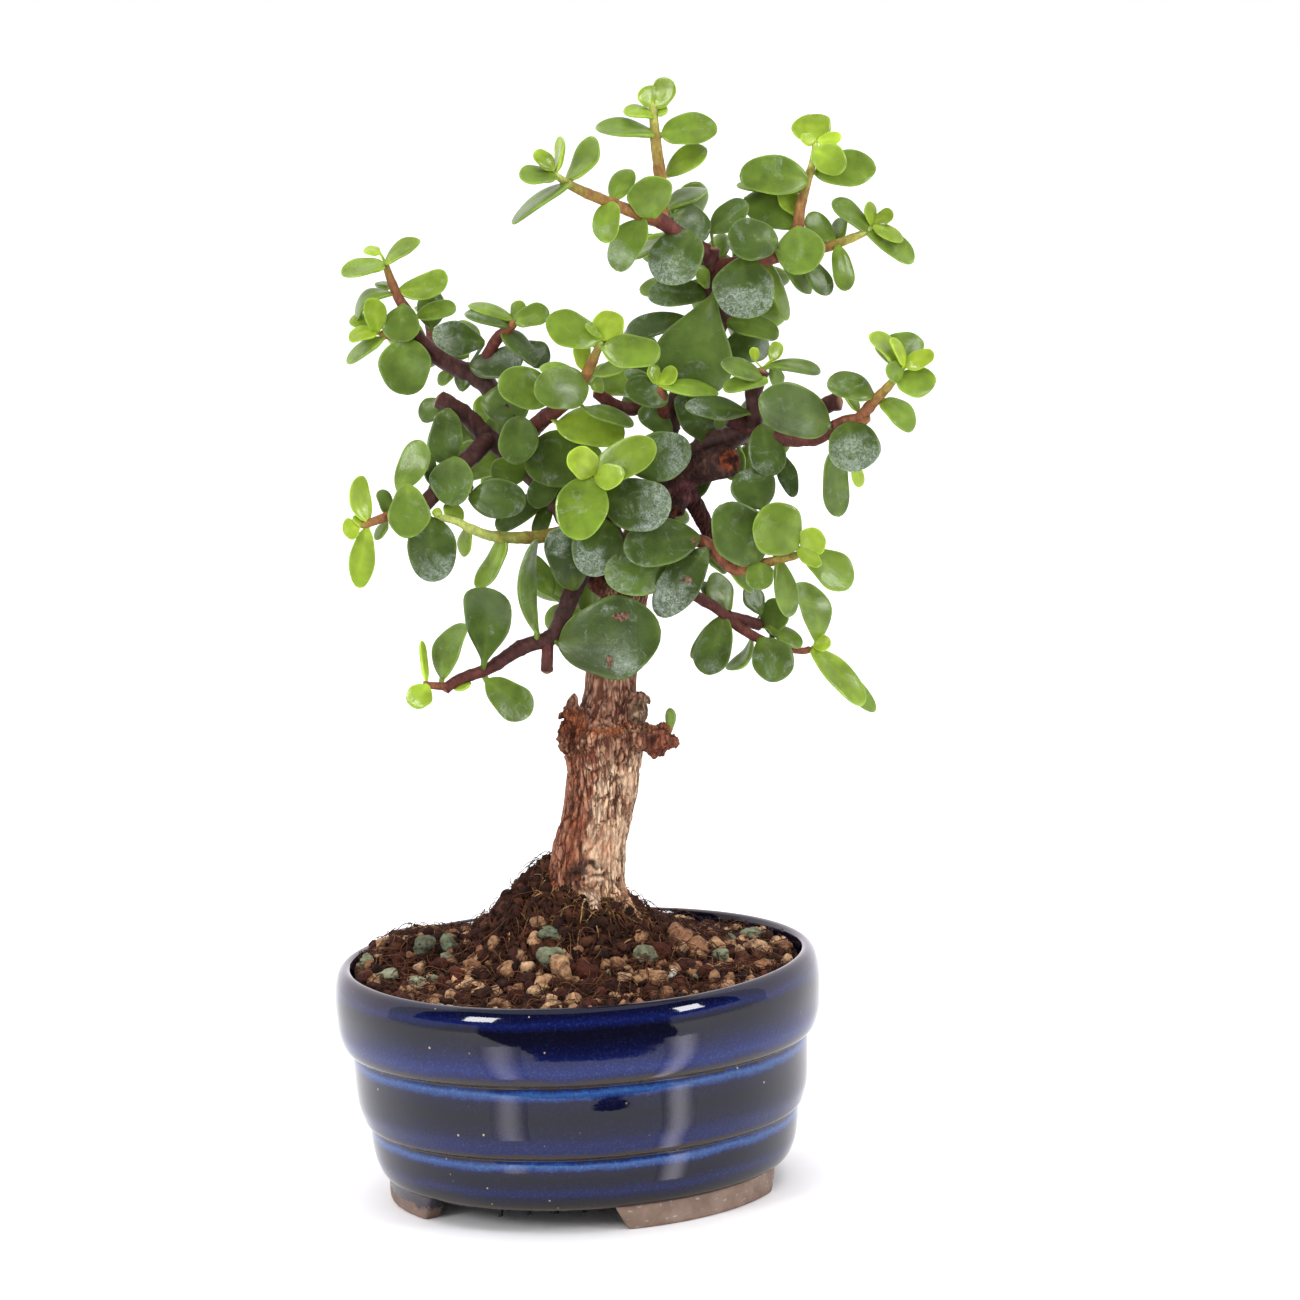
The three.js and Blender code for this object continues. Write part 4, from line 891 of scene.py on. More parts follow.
# %% Stones and crumbs
rng = np.random.default_rng(12)
TAN = [(182, 142, 106), (164, 124, 92), (196, 158, 122), (150, 108, 80)]
GREEN_STONE = [(124, 130, 104), (104, 114, 92), (140, 142, 118)]
LAVA = [(72, 34, 26), (88, 46, 36), (56, 30, 26)]
PEAT = [(60, 34, 24), (44, 25, 19), (84, 50, 34), (30, 19, 16)]
WHITE_STONE = [(215, 208, 190)]
STONES = [  # colours, then stones: across and up on the drawing, width and height
    (GREEN_STONE, [
        (-38.5, 64, 6, 5.5), (-6.5, 59.8, 5.6, 8), (-48.5, 57, 6.5, 3.6), (-41, 55, 3.8, 3.4),
        (-36.5, 55.3, 4, 3.4), (17.8, 58.6, 7.5, 5), (37, 57.5, 4, 4.5), (44.5, 62.5, 6.5, 5.5),
        (-32.5, 69, 4.5, 4.5), (-5, 65.8, 9.5, 3), (-14, 61, 3, 2.6), (-53, 63.5, 3.4, 3),
    ]),
    (TAN, [
        (-26, 58.3, 4.8, 5.5), (-28, 53.6, 6.5, 3.6), (-40, 58.5, 4, 3.6), (-3.8, 56, 5, 7),
        (-7.5, 53, 6.5, 4), (10.8, 56.8, 5.8, 4.6), (19.5, 53.2, 8, 4), (26, 63.5, 9, 6.5),
        (31.5, 60, 7.5, 6.5), (36, 60.8, 4.5, 5), (39, 55.8, 4.4, 2.8), (51.5, 60.5, 4.6, 4),
        (-20.5, 63.8, 5, 4), (-10, 64.2, 5, 4), (46, 69, 7, 5), (39, 66.5, 5, 4),
        (-9.5, 68.5, 4.6, 3.2), (-14, 60, 3, 3.4), (17, 63.4, 5, 4), (-2, 53.4, 5.5, 3),
        (-53.5, 60, 3.6, 3.2), (-17.5, 57, 4.4, 4.4), (12, 53.6, 3.6, 3), (-24, 62.5, 3.6, 3),
    ]),
    (LAVA, [
        (3, 55.6, 6, 5.4), (21.5, 59.4, 6, 5), (-31, 56, 5, 5), (-35.5, 59.5, 6, 4),
        (29, 55.5, 5.5, 3.4), (-12.5, 54, 5, 4),
    ]),
    (WHITE_STONE, [(24.2, 53.8, 3.6, 1.8)]),
]


def unit_ball(rounds):
    """Corners and faces of a ball of triangles: an icosahedron split rounds times."""
    bpy.ops.mesh.primitive_ico_sphere_add(subdivisions=rounds, radius=1)
    ball = bpy.context.object
    corners = np.array([vertex.co[:] for vertex in ball.data.vertices])
    faces = np.array([face.vertices[:] for face in ball.data.polygons])
    bpy.data.objects.remove(ball)
    return corners, faces


def turns(angles):
    """Rotation matrices for rows of three Euler angles: Rz Ry Rx."""
    (cx, cy, cz), (sx, sy, sz) = np.cos(angles).T, np.sin(angles).T
    return np.stack([
        np.stack([cy * cz, sx * sy * cz - cx * sz, cx * sy * cz + sx * sz], -1),
        np.stack([cy * sz, sx * sy * sz + cx * cz, cx * sy * sz - sx * cz], -1),
        np.stack([-sy, sx * cy, cx * cy], -1),
    ], axis=1)


def crumbs(name, centres, sizes, colours, rounds, rough, spin_all=True, planes=9):
    """Copies of a ball, one for each centre, each cut flat by its own planes and made lumpy:
    a corner in direction c lies at c * softmin_k(h_k / (n_k . c)) * (1 + rough * noise)."""
    corners, faces = unit_ball(rounds)
    count = len(centres)
    faced = unit(rng.normal(size=(count, planes, 3)))
    facing = np.einsum("npk,vk->nvp", faced, corners)
    reach = rng.uniform(0.62, 1.0, (count, 1, planes)) / np.maximum(facing, 0.05)
    radius = (np.sum(np.minimum(reach, 4.0) ** -7.0, axis=2) + 0.9**-7.0) ** (-1 / 7)
    shift = 9.0 * rng.random((count, 1, 3))
    lumps = lattice_noise(corners[None] + shift, 1.1, 61, 1)
    knobs = lattice_noise(corners[None] + shift, 0.42, 62, 2)
    dent = (radius * (1 + rough * (lumps + 0.5 * knobs)))[..., None]
    local = corners[None] * dent * sizes[:, None, :] / 1.75
    angles = rng.uniform(0, 2 * np.pi, (count, 3))
    if not spin_all:
        angles *= [0.06, 0.06, 1.0]
    points = centres[:, None, :] + np.einsum("nij,nkj->nki", turns(angles), local)
    shade = (0.82 + 0.3 * rng.random((count, len(corners), 1))) * colours[:, None, :]
    every = (faces[None] + len(corners) * np.arange(count)[:, None, None]).reshape(-1, 3)
    return make_object(
        name, points.reshape(-1, 3), np.zeros((0, 4), int), every,
        colours={"tint": np.clip(shade, 0, 1).reshape(-1, 3)},
    )


def pick(kinds, count):
    """Linear colours picked at random from lists of screen colours."""
    palette = np.array([srgb(*kind)[:3] for kind in kinds])
    return palette[rng.integers(len(palette), size=count)]


def on_ground(across, up):
    """Where the sight line through a place on the drawing meets the ground: steps along the
    line until it is no longer above the ground."""
    target = np.stack([across, 0 * across, up], -1)
    t = np.linspace(0.955, 1.045, 700)[None, :, None]
    line = EYE + t * (target[:, None, :] - EYE)
    above = line[..., 2] > ground(line[..., 0], line[..., 1])
    inside = np.hypot(line[..., 0], line[..., 1]) < SOIL_REACH - 2.0
    hit = np.argmax(~above & inside, axis=1)
    spot = line[np.arange(len(line)), hit]
    missed = ~np.any(~above & inside, axis=1)
    spot[missed] = line[missed, 350]
    spot[:, :2] *= np.minimum(1, (SOIL_REACH - 3) / np.hypot(*spot[:, :2].T))[:, None]
    spot[:, 2] = ground(spot[:, 0], spot[:, 1])
    return spot


def scatter(count, reach, keep_off):
    """Evenly spread places on a disc: a golden-angle spiral, shaken, off the trunk's foot."""
    step = np.arange(count) + 0.5
    radius = reach * np.sqrt(step / count) + rng.normal(size=count) * 0.8
    angle = step * np.pi * (3 - np.sqrt(5)) + rng.normal(size=count) * 0.1
    x, y = radius * np.cos(angle), radius * np.sin(angle)
    keep = (np.hypot(x - TRUNK_FOOT, y) > keep_off) & (np.hypot(x, y) < reach)
    return x[keep], y[keep]


def uneven(count, small, large, thin, thick, share=1.0):
    """A size between small and large, times share, and stretched by three factors."""
    return rng.uniform(small, large, (count, 1)) * share * rng.uniform(thin, thick, (count, 3))


across, up, wide, high = np.array([stone for _, rows in STONES for stone in rows], float).T
spots = on_ground(across, up - high * 0.25)
spots[:, 2] += high * 0.22
stone_sizes = np.stack([wide, 0.5 * (wide + high), high], -1)
stone_colours = np.array([pick(kind, 1)[0] for kind, rows in STONES for _ in rows])
stones = crumbs("soil_stones", spots, stone_sizes, stone_colours, 4, 0.3, spin_all=False)

x, y = scatter(900, 55.6, 10.5)
hill = np.exp(-((x - 2) ** 2 + (y - 4) ** 2) / 20.0**2)
grain_sizes = uneven(len(x), 2.0, 4.8, 0.75, 1.15, 1 - 0.4 * hill[:, None])
kinds = rng.random(len(x))
outer = np.hypot(x - 2, y - 6) > 27  # hardly any granules lie on the mound
tints = np.where(((kinds < 0.36) & outer)[:, None], pick(TAN, len(x)), pick(PEAT, len(x)))
tints = np.where((kinds > 0.82)[:, None], pick(LAVA, len(x)), tints)
tints = np.where(((kinds > 0.97) & outer)[:, None], pick(GREEN_STONE, len(x)), tints)
grains = crumbs("soil_grains", laid(x, y, 0.3), grain_sizes, tints, 2, 0.42)

heap = rng.normal(size=(420, 2)) * [9.5, 7.0] + [-7.5, -4.0]
heap = heap[np.hypot(heap[:, 0] - TRUNK_FOOT, heap[:, 1]) > 8.5]
centres = laid(*heap.T)
clod_sizes = uneven(len(heap), 1.0, 2.9, 0.5, 1.3)
clods = crumbs("soil_clods", centres, clod_sizes, pick(PEAT, len(heap)), 2, 0.9, planes=5)

x, y = scatter(4400, 56.2, 7.5)
peat_sizes = uneven(len(x), 0.7, 2.3, 0.5, 1.3)
centres = laid(x, y, rng.uniform(0, 0.9, len(x)))
peat = crumbs("soil_peat", centres, peat_sizes, pick(PEAT, len(x)), 1, 0.4)
print(len(spots), "named stones,", len(grains.data.polygons) // 80, "grains,", len(x), "crumbs")

# %% Fibres and moss threads
FIBRE = [(92, 56, 38), (70, 42, 30), (124, 84, 56), (50, 32, 26), (104, 62, 42)]
MOSS = [
    (92, 80, 40), (150, 110, 70), (184, 146, 102), (96, 60, 38), (130, 92, 58), (84, 52, 36),
]


def threads(name, roots, lengths, radius, colours, lift, curl):
    """Thin three-sided tubes: each wanders over the ground as a smooth random walk of its
    heading, and lifts off it by lift at its middle."""
    count, steps = len(roots), 9
    t = np.linspace(0, 1, steps)[None, :]
    heading = rng.uniform(0, 2 * np.pi, (count, 1)) + curl * rng.normal(size=(count, 1)) * t
    heading = heading + 0.5 * curl * np.sin(5 * t + rng.uniform(0, 6, (count, 1)))
    stride = lengths[:, None] / (steps - 1)
    x = roots[:, :1] + np.cumsum(np.cos(heading) * stride, axis=1)
    y = roots[:, 1:2] + np.cumsum(np.sin(heading) * stride, axis=1)
    inside = np.minimum(1, 55.5 / np.hypot(x, y))
    x, y = x * inside, y * inside
    arc = lift * rng.uniform(0.3, 1.6, (count, 1)) * np.sin(np.pi * t) + roots[:, 2:]
    middle = laid(x, y, arc)
    corner = circle(3)
    side = np.stack([-np.sin(heading), np.cos(heading), 0 * heading], -1)[:, :, None, :]
    up = np.array([0, 0, 1.0])
    thin = (radius * (0.35 + np.sin(np.pi * t) ** 0.5))[..., None, None]
    around = np.cos(corner)[:, None] * side + np.sin(corner)[:, None] * up
    points = (middle[:, :, None, :] + thin * around).reshape(-1, 3)
    one = grid_faces(steps, 3, closed=True)
    quads = (one[None] + 3 * steps * np.arange(count)[:, None, None]).reshape(-1, 4)
    tint = np.repeat(colours, 3 * steps, axis=0)
    return make_object(name, points, quads, colours={"tint": tint})


x, y = scatter(1500, 55.0, 7.0)
colours = pick(FIBRE, len(x))
roots = np.stack([x, y, np.full(len(x), 0.5)], -1)
fibres = threads("soil_fibres", roots, rng.uniform(3, 14, len(x)), 0.1, colours, 2.0, 1.3)

spread = rng.normal(size=(260, 2)) * [10.5, 4.5] + [3.0, -9.0]
spread = spread[np.hypot(spread[:, 0] - TRUNK_FOOT, spread[:, 1]) > 8.0]
colours = pick(MOSS, len(spread))
roots = np.column_stack([spread, np.full(len(spread), 0.7)])
moss = threads("soil_moss", roots, rng.uniform(2, 7, len(roots)), 0.16, colours, 0.7, 0.35)
print(len(fibres.data.polygons) // 24, "fibres and", len(moss.data.polygons) // 24, "moss threads")


# %% Soil materials
def grain_material(name, pore_scale, pore_depth, rough=0.92):
    """The piece's own tint, mottled and stained by peat, with dark pores, rough and dry."""
    grain = Maker(name)
    spot = grain.place()
    base = grain.group(
        mottle, Color=grain.painted(), Vector=spot, Scale=480.0, Detail=6.0, Roughness=0.65,
        Low=0.28, High=0.72, Dark=0.4, Middle=0.92, Light=1.25,
    )
    patch = grain.noise(spot, 300.0, 5.0, 0.7, 0.8)
    stain = grain.ramp(patch, [(0.44, 0.0), (0.6, 0.62), (0.7, 0.8)])
    base = grain.mix(stain, base, srgb(64, 38, 28))
    pore = grain.group(
        specks, Vector=spot, Scale=pore_scale, Inner=0.12, Outer=0.32,
        Patches=420.0, Bare=0.46, Full=0.56,
    )
    base = grain.mix(grain.times(pore, 0.85), base, srgb(46, 28, 22))
    normal = grain.bump(grain.noise(spot, 1500.0, 5.0), 0.0003, 0.8)
    normal = grain.bump(grain.math("SUBTRACT", 1.0, pore), 0.0004, pore_depth, normal)
    return grain.finish(Base_Color=base, Roughness=rough, Normal=normal, Specular_IOR_Level=0.12)


def ground_material():
    """Peat: dark red-brown, fibrous, with clods."""
    earth = Maker("peat_ground")
    spot = earth.place()
    browns = [
        (0.3, srgb(24, 15, 13)), (0.5, srgb(58, 34, 25)), (0.66, srgb(84, 50, 35)),
        (0.8, srgb(120, 80, 56)),
    ]
    base = earth.ramp(earth.noise(spot, 330.0, 7.0, 0.65), browns)
    normal = earth.bump(earth.noise(spot, 520.0, 6.0, 0.7), 0.0012, 1.0)
    return earth.finish(Base_Color=base, Roughness=0.95, Normal=normal, Specular_IOR_Level=0.1)


earth, porous = ground_material(), grain_material("porous_stone", 900.0, 0.8)
small_grain = grain_material("small_grain", 1300.0, 0.7)
fibre = grain_material("fibre", 2000.0, 0.2, 0.85)
soil_finishes = [
    (soil, earth), (stones, porous), (grains, small_grain), (clods, small_grain),
    (peat, small_grain), (fibres, fibre), (moss, fibre),
]
for piece, finish in soil_finishes:
    dress(piece, finish)
    ride(piece, "soil", "soil")
print(len(soil_finishes), "pieces of soil dressed")

# %% [markdown]
# ## Wood
#
# The tree is drawn from its front. A place on a stem is given as across, up, depth and radius:
# across and up are read on an upright sheet through the pot's middle, and depth slides the
# place along its sight line, so the outline stays as drawn while the crown gets its depth.
# A stem is a smooth curve through such places.

# %% Places on the drawing
def place(across, up, depth):
    """EYE + (Q - EYE) (depth - EYE_y) / (-EYE_y), where Q = (across, 0, up)."""
    spot = np.stack(np.broadcast_arrays(across, 0.0 * across, up), -1)
    t = (depth - EYE[1]) / -EYE[1]
    return EYE + (spot - EYE) * np.asarray(t)[..., None]


def stations(points, step):
    """Rows of across, up, depth, radius along a Catmull-Rom curve through points, about step
    apart; beyond its ends the curve goes straight on."""
    points = np.asarray(points, float)
    before = np.vstack([2 * points[0] - points[1], points[:-1]])
    after = np.vstack([points[1:], 2 * points[-1] - points[-2]])
    slope = (after - before) / 2
    gaps = np.linalg.norm(np.diff(points[:, :3], axis=0), axis=1)
    counts = np.maximum(1, np.round(gaps / step).astype(int))
    span = np.repeat(np.arange(len(counts)), counts)
    first = np.repeat(np.cumsum(counts) - counts, counts)
    t = ((np.arange(len(span)) - first) / counts[span])[:, None]
    span, t = np.append(span, len(counts) - 1), np.vstack([t, [[1.0]]])
    start, end = points[span], points[span + 1]
    curve = hermite(t, start, end, slope[span], slope[span + 1])
    curve[:, 3] = (start + (end - start) * t)[:, 3]
    return curve


def tube(path, sides, ends=(0.0, 0.0)):
    """Rings round a path of stations: centre + radius (side cos a + other sin a), where side is
    square to the path and to the axis that the path follows least. Returns points, faces,
    each point's fraction along the path and its angle. A positive end is rounded off over that
    many radii."""
    centre, radius = place(*path[:, :3].T), path[:, 3].copy()
    along = unit(np.gradient(centre, axis=0))
    least = np.argmin(np.abs(along).mean(axis=0))
    side = unit(np.cross(np.eye(3)[least], along))
    other = np.cross(along, side)
    walked = np.concatenate([[0], np.cumsum(np.linalg.norm(np.diff(centre, axis=0), axis=1))])
    for end, gone in zip(ends, (walked, walked[-1] - walked)):
        if end:
            near = np.clip(gone / (end * radius), 0, 1)
            radius = radius * np.sqrt(1 - 0.9 * (1 - near) ** 2)
    angle = circle(sides)
    ring = side[:, None] * np.cos(angle)[:, None] + other[:, None] * np.sin(angle)[:, None]
    points = (centre[:, None] + radius[:, None, None] * ring).reshape(-1, 3)
    points = np.vstack([points, centre[:1], centre[-1:]])
    fraction = np.append(np.repeat(walked / walked[-1], sides), [0.0, 1.0])
    return points, *closed_faces(len(path), sides), fraction


# %% [markdown]
# ## The trunk
#
# An old trunk swells, knots and splits into flakes. Its tubes, the trunk itself, roots, knobs
# and stubs, are melted into one skin by a fine voxel remesh. Then one noise, stretched along
# the grain, gives both the relief and the colour: thin lines where it crosses zero become
# fissures, and the plates between them are lifted. Colour follows what the eye sees: red-brown
# young bark on the left, bleached tan flakes on the right.

# %% The trunk's tubes
TRUNK = [  # across, up, depth, radius
  # the trunk
  [[4.2, 50, 0, 7], [4.3, 66, 0, 8.2], [4.5, 76, 0, 8.8], [4.9, 83, 0, 8.6], [5.9, 90, 0, 8.5],
    [8.1, 100, 0, 8.7], [9.6, 108, 0, 9], [9.9, 113.5, 0, 10.1], [10, 117, 0, 10.6],
    [10.3, 119.6, 0, 9.6], [10.9, 121.6, 0, 7.4], [11.5, 124.4, 0, 6.7], [12.2, 127, 0.5, 6.5],
    [12.8, 133, 1, 6.4], [14.5, 142, 1, 6.2], [17, 152, 1, 5.9], [21, 163, 0.5, 5.4],
    [26, 173, 0, 5], [31, 181, 0, 4.6]],
  # roots
  [[6, 80, -2, 5], [11.5, 73, -5, 3], [16, 67, -8, 2], [19, 60, -10, 1.4]],
  [[2, 80, -4, 4], [4.2, 73, -9, 2.4], [4, 66, -12, 1.8], [3, 60, -13, 1.3]],
  [[2, 84, 1, 5], [-5, 79, 3, 4], [-11, 72, 5, 3], [-16, 62, 6, 2]],
  [[7, 80, 4, 4.5], [13, 72, 10, 3], [18, 62, 15, 2]],
  # torn and cut stubs
  [[15, 152, -3, 2.4], [10, 156, -4, 2.2], [8.5, 157.3, -4, 1.7]],
  [[30, 181, -1, 3.9], [38, 184.2, -4, 4.1], [45.5, 185.6, -13, 4.2]],
  [[33, 178, -2, 2.4], [31.8, 175, -6, 2.2], [31, 172.2, -8, 2]],
  [[33, 179, 1, 2.8], [35.5, 176, 1, 2.3], [39, 168, 1, 1.9], [41, 160.5, 0, 1.6]],
  # the flare on the left
  [[5, 98, -1, 5.5], [1.9, 88, -2, 6.2], [-0.6, 80, -3, 5.4], [-4, 72, -4, 4.2]],
  # torn bits round the swollen ring
  [[5, 121, -5, 3], [2.2, 122.4, -6, 2.6], [0.8, 121.2, -6, 1.9]],
  [[2.2, 123.8, -5, 1.9], [2.7, 126.2, -6, 1.3], [3.3, 128.2, -6, 0.7]],
  [[1.6, 119.4, -5, 2.4], [-0.4, 117.6, -6, 1.7], [-0.9, 116, -6, 0.9]],
  [[1.2, 116, -5, 2.2], [0.4, 113.6, -6, 1.3], [0.2, 112, -6, 0.6]],
  [[0.4, 122.6, -6, 1.4], [-0.7, 122.9, -6, 0.9], [-1.2, 123.4, -6, 0.5]],
  [[14, 122, -2, 3.3], [18.2, 122.9, -5, 3.4], [20.6, 123.3, -6.5, 3.1]],
  [[17.6, 126.2, -5, 1.2], [20, 126.6, -6, 1.1], [22.2, 124.4, -7, 0.9]],
  [[17, 115.6, -3, 4.2], [20.5, 116, -5, 3.2], [23, 116.8, -5, 2.4]],
  [[20.5, 115.2, -5, 3.3], [24.2, 115.4, -6, 3.1], [27.2, 115.9, -6, 2.3]],
  [[22.6, 113.4, -6, 2.3], [24.4, 111.9, -6, 1.7], [25.3, 110.7, -6, 0.9]],
  [[25, 117.6, -6, 1.7], [26.4, 118, -6, 1.2], [26.9, 118.6, -6, 0.7]],
  [[27, 114.6, -6, 1.7], [28.4, 113.6, -6, 1.2], [29.2, 114.2, -6, 0.8]],
]
CUTS = [  # cut faces: where, what they point away from, and radius
  (45.5, 185.6, -13, (38, 184.2, -4), 4.2), (31, 172.2, -8, (31.8, 175, -6), 2),
]
VOXEL, TUBE_SIDES = 0.00038, 36  # metres
print(len(TRUNK), "tubes make the trunk")

# %% Melting the tubes into one skin

def voxel_skin(name, paths):
    """One skin over many overlapping tubes."""
    parts = []
    for path in paths:
        points, quads, triangles, _ = tube(stations(path, 1.2), TUBE_SIDES, ends=(0.0, 0.35))
        parts.append(make_object("part", points, quads, triangles))
    bpy.ops.object.select_all(action="DESELECT")
    for part in parts:
        part.select_set(True)
    bpy.context.view_layer.objects.active = parts[0]
    bpy.ops.object.join()
    skin = bpy.context.object
    skin.name = skin.data.name = name
    change(skin, "REMESH", mode="VOXEL", voxel_size=VOXEL, use_smooth_shade=True)
    change(skin, "SMOOTH", factor=0.5, iterations=6)
    return skin


def read_points(piece):
    """A piece's corners and normals, in millimetres round the pot's middle."""
    count = len(piece.data.vertices)
    points, normals = np.empty(3 * count), np.empty(3 * count)
    piece.data.vertices.foreach_get("co", points)
    piece.data.vertex_normals.foreach_get("vector", normals)
    return points.reshape(-1, 3) * 1000 - [POT_X, 0, 0], normals.reshape(-1, 3)


def near(points, across, up, reach, depth=None):
    """1 at a place on the drawing, falling to 0 at reach from it."""
    gap = np.hypot(points[:, 0] - across, points[:, 2] - up)
    if depth is not None:
        gap = np.hypot(gap, points[:, 1] - depth)
    return 1 - smoothstep(0.55 * reach, reach, gap)


# %% Bark: relief and colour
def between(first, second, low, high, value):
    """From the first colour to the second while value goes from low to high."""
    return blend(first, second, smoothstep(low, high, value))


def layered(colour, layers):
    """Lays each (colour, share) over what lies under it."""
    for layer, share in layers:
        colour = blend(colour, layer, share)
    return colour


def cut_face(points, colour, cross, shred, where, towards, wide):
    """Hollows a cut end by up to 0.9 mm and gives it a dark core in a pale ring."""
    end = place(*where)
    way = unit(end - place(*towards))
    gone = (points - end) @ way
    off = np.linalg.norm(points - end - gone[:, None] * way, axis=1) / wide
    cut = smoothstep(-0.9, -0.3, gone) * (off < 1.15)
    points -= way * (0.9 * cut * smoothstep(0.95, 0.5, off) * (0.7 + shred))[:, None]
    core = between(tone(64, 28, 20), tone(148, 76, 44), 0.0, 0.5, cross + 0.5 * shred)
    core = between(core, tone(150, 104, 74), 0.72, 0.9, off)
    return blend(colour, core, 0.95 * cut)


def bark(piece):
    """Relief and colour of the trunk, both from the same noises: plates, small ones, broad
    swells, cross grain, and shreds where the wood is torn."""
    points, normals = read_points(piece)
    axis = np.array(TRUNK[0], float)
    middle = np.interp(points[:, 2], axis[:, 1], axis[:, 0])
    local = points - np.outer(middle, [1, 0, 0])
    height = points[:, 2]
    swirl = np.stack([lattice_noise(local, 4.0, seed, 3) for seed in (31, 32)] + [0 * middle], -1)
    turn = local + 0.3 * swirl
    plates = lattice_noise(turn * [1, 1, 0.2], 1.1, 33, 2)
    small = lattice_noise(turn * [1, 1, 0.16], 0.6, 34, 2)
    broad = lattice_noise(local * [1, 1, 0.5], 5.0, 35, 3)
    cross = lattice_noise(local, 1.6, 36, 3)
    ring = np.exp(-((height - 117.2) / 4.6) ** 2)
    seam = np.exp(-((height - 119.6 - 0.9 * broad) / 0.7) ** 2)
    fissure = 1 - smoothstep(0.02, 0.17, np.abs(plates))
    fissure *= 0.45 + 0.55 * smoothstep(-0.5, 0.2, broad + 0.5 * small)
    hair = 1 - smoothstep(0.0, 0.14, np.abs(small))
    crest = smoothstep(0.1, 0.5, np.abs(plates) + 0.25 * small)
    grown = 0.4 + 0.6 * (1 - smoothstep(118, 132, height))
    crack = np.exp(-((height - 82.4 - 1.1 * broad - 0.6 * cross) / 0.45) ** 2)
    crack *= smoothstep(-0.25, 0.2, lattice_noise(local, 2.4, 39, 2))
    crack *= smoothstep(-8, -5, local[:, 0]) * (1 - smoothstep(7, 9, local[:, 0]))
    lift = 0.42 * crest - 0.5 * fissure - 0.1 * hair + 0.12 * small + 0.35 * broad
    torn = np.clip(near(points, 1.2, 120, 7.5) + near(points, 25, 114.5, 7), 0, 1)
    shred = lattice_noise(local * [1, 1, 0.6], 1.1, 38, 3)
    lift = lift * grown * (1 - torn) + ring * (0.5 * cross + 0.3 * small)
    lift = lift - 0.7 * crack + 0.25 * seam + torn * (0.75 * shred + 0.4 * cross)
    points += normals * lift[:, None]

    pale, tan = tone(224, 190, 158), tone(198, 150, 118)
    brown, dark = tone(140, 88, 62), tone(66, 37, 27)
    red, rust, orange = tone(146, 84, 60), tone(98, 50, 36), tone(172, 94, 54)
    bleached = between(tan, pale, -0.1, 0.5, crest + 0.5 * small)
    bleached = blend(bleached, brown, 0.8 * smoothstep(0.1, 0.5, broad + 0.6 * cross - 0.1))
    young = layered(between(red, rust, -0.2, 0.4, small + broad), [
        (tone(184, 134, 108), 0.6 * smoothstep(0.35, 0.8, crest + 0.3 * cross)),
        (orange, 0.6 * smoothstep(0.25, 0.6, cross + 0.3 * broad)),
    ])
    border = local[:, 0] + 2.6 + 2.0 * broad + 2.2 * cross + 0.9 * small + 0.05 * (height - 96)
    share = smoothstep(-1.5, 1.5, border) * (1 - 0.75 * smoothstep(108, 116, height + 2 * broad))
    wood = between(tone(100, 60, 46), tone(160, 118, 97), 0.3, 0.9, crest + 0.4 * cross)
    stump = between(tone(96, 76, 58), tone(160, 136, 108), -0.3, 0.3, cross)
    knee = between(tone(58, 38, 36), tone(92, 62, 54), -0.3, 0.5, cross)
    high = smoothstep(158, 172, height)
    colour = layered(blend(young, bleached, share), [
        (between(rust, tan, -0.3, 0.7, cross + 0.3 * small), 0.7 * ring),
        (orange, 0.8 * np.clip(seam, 0, 1)),
        (wood, 0.85 * smoothstep(120, 124, height)),
        (between(orange, rust, -0.3, 0.3, cross), 0.85 * near(points, 1.2, 121, 5.5)),
        (between(rust, red, -0.3, 0.3, cross), 0.95 * near(points, 25, 114.8, 6.6)),
        (stump, 0.9 * near(points, 20.2, 123.2, 4.6)),
        (knee, high),
        (rust, 0.9 * near(points, 9, 157, 5)),
        (tone(122, 70, 78), 0.8 * near(points, 34, 178.5, 5.5, -3)),
        (tone(88, 40, 42), 0.7 * near(points, 39, 168, 8)),
        (dark, 0.93 * fissure * (1 - 0.6 * high)),
    ])
    colour = blend(colour, colour * 0.42, 0.8 * hair * grown)
    colour = blend(colour, colour * 0.35, 0.8 * torn * smoothstep(0.05, 0.4, -shred))
    root = 1 - smoothstep(74, 82, height + 2.0 * broad)
    splash = near(points, 3.5, 81.5, 6.5, -8) * smoothstep(-0.35, 0.15, cross + 0.4 * broad)
    straw = between(tone(146, 100, 70), tone(226, 180, 142), -0.2, 0.4, plates + 0.5 * small)
    colour = layered(colour, [
        (dark, 0.85 * np.clip(crack, 0, 1)),
        (tone(58, 36, 28), 0.9 * splash),
        (straw, root),
        (tone(240, 208, 180), 0.7 * near(points, 4.4, 75.4, 3.6)),
        (dark, near(points, 5.4, 85.7, 1.15) * (points[:, 1] < 0)),
    ])
    for across, up, depth, towards, wide in CUTS:
        colour = cut_face(points, colour, cross, shred, (across, up, depth), towards, wide)
    colour *= (1 + 0.14 * lattice_noise(points, 0.8, 37, 2))[:, None]
    piece.data.vertices.foreach_set("co", to_scene(points).ravel())
    paint(piece.data, "tint", np.clip(colour, 0, 1))
    piece.data.update()
    return len(points)


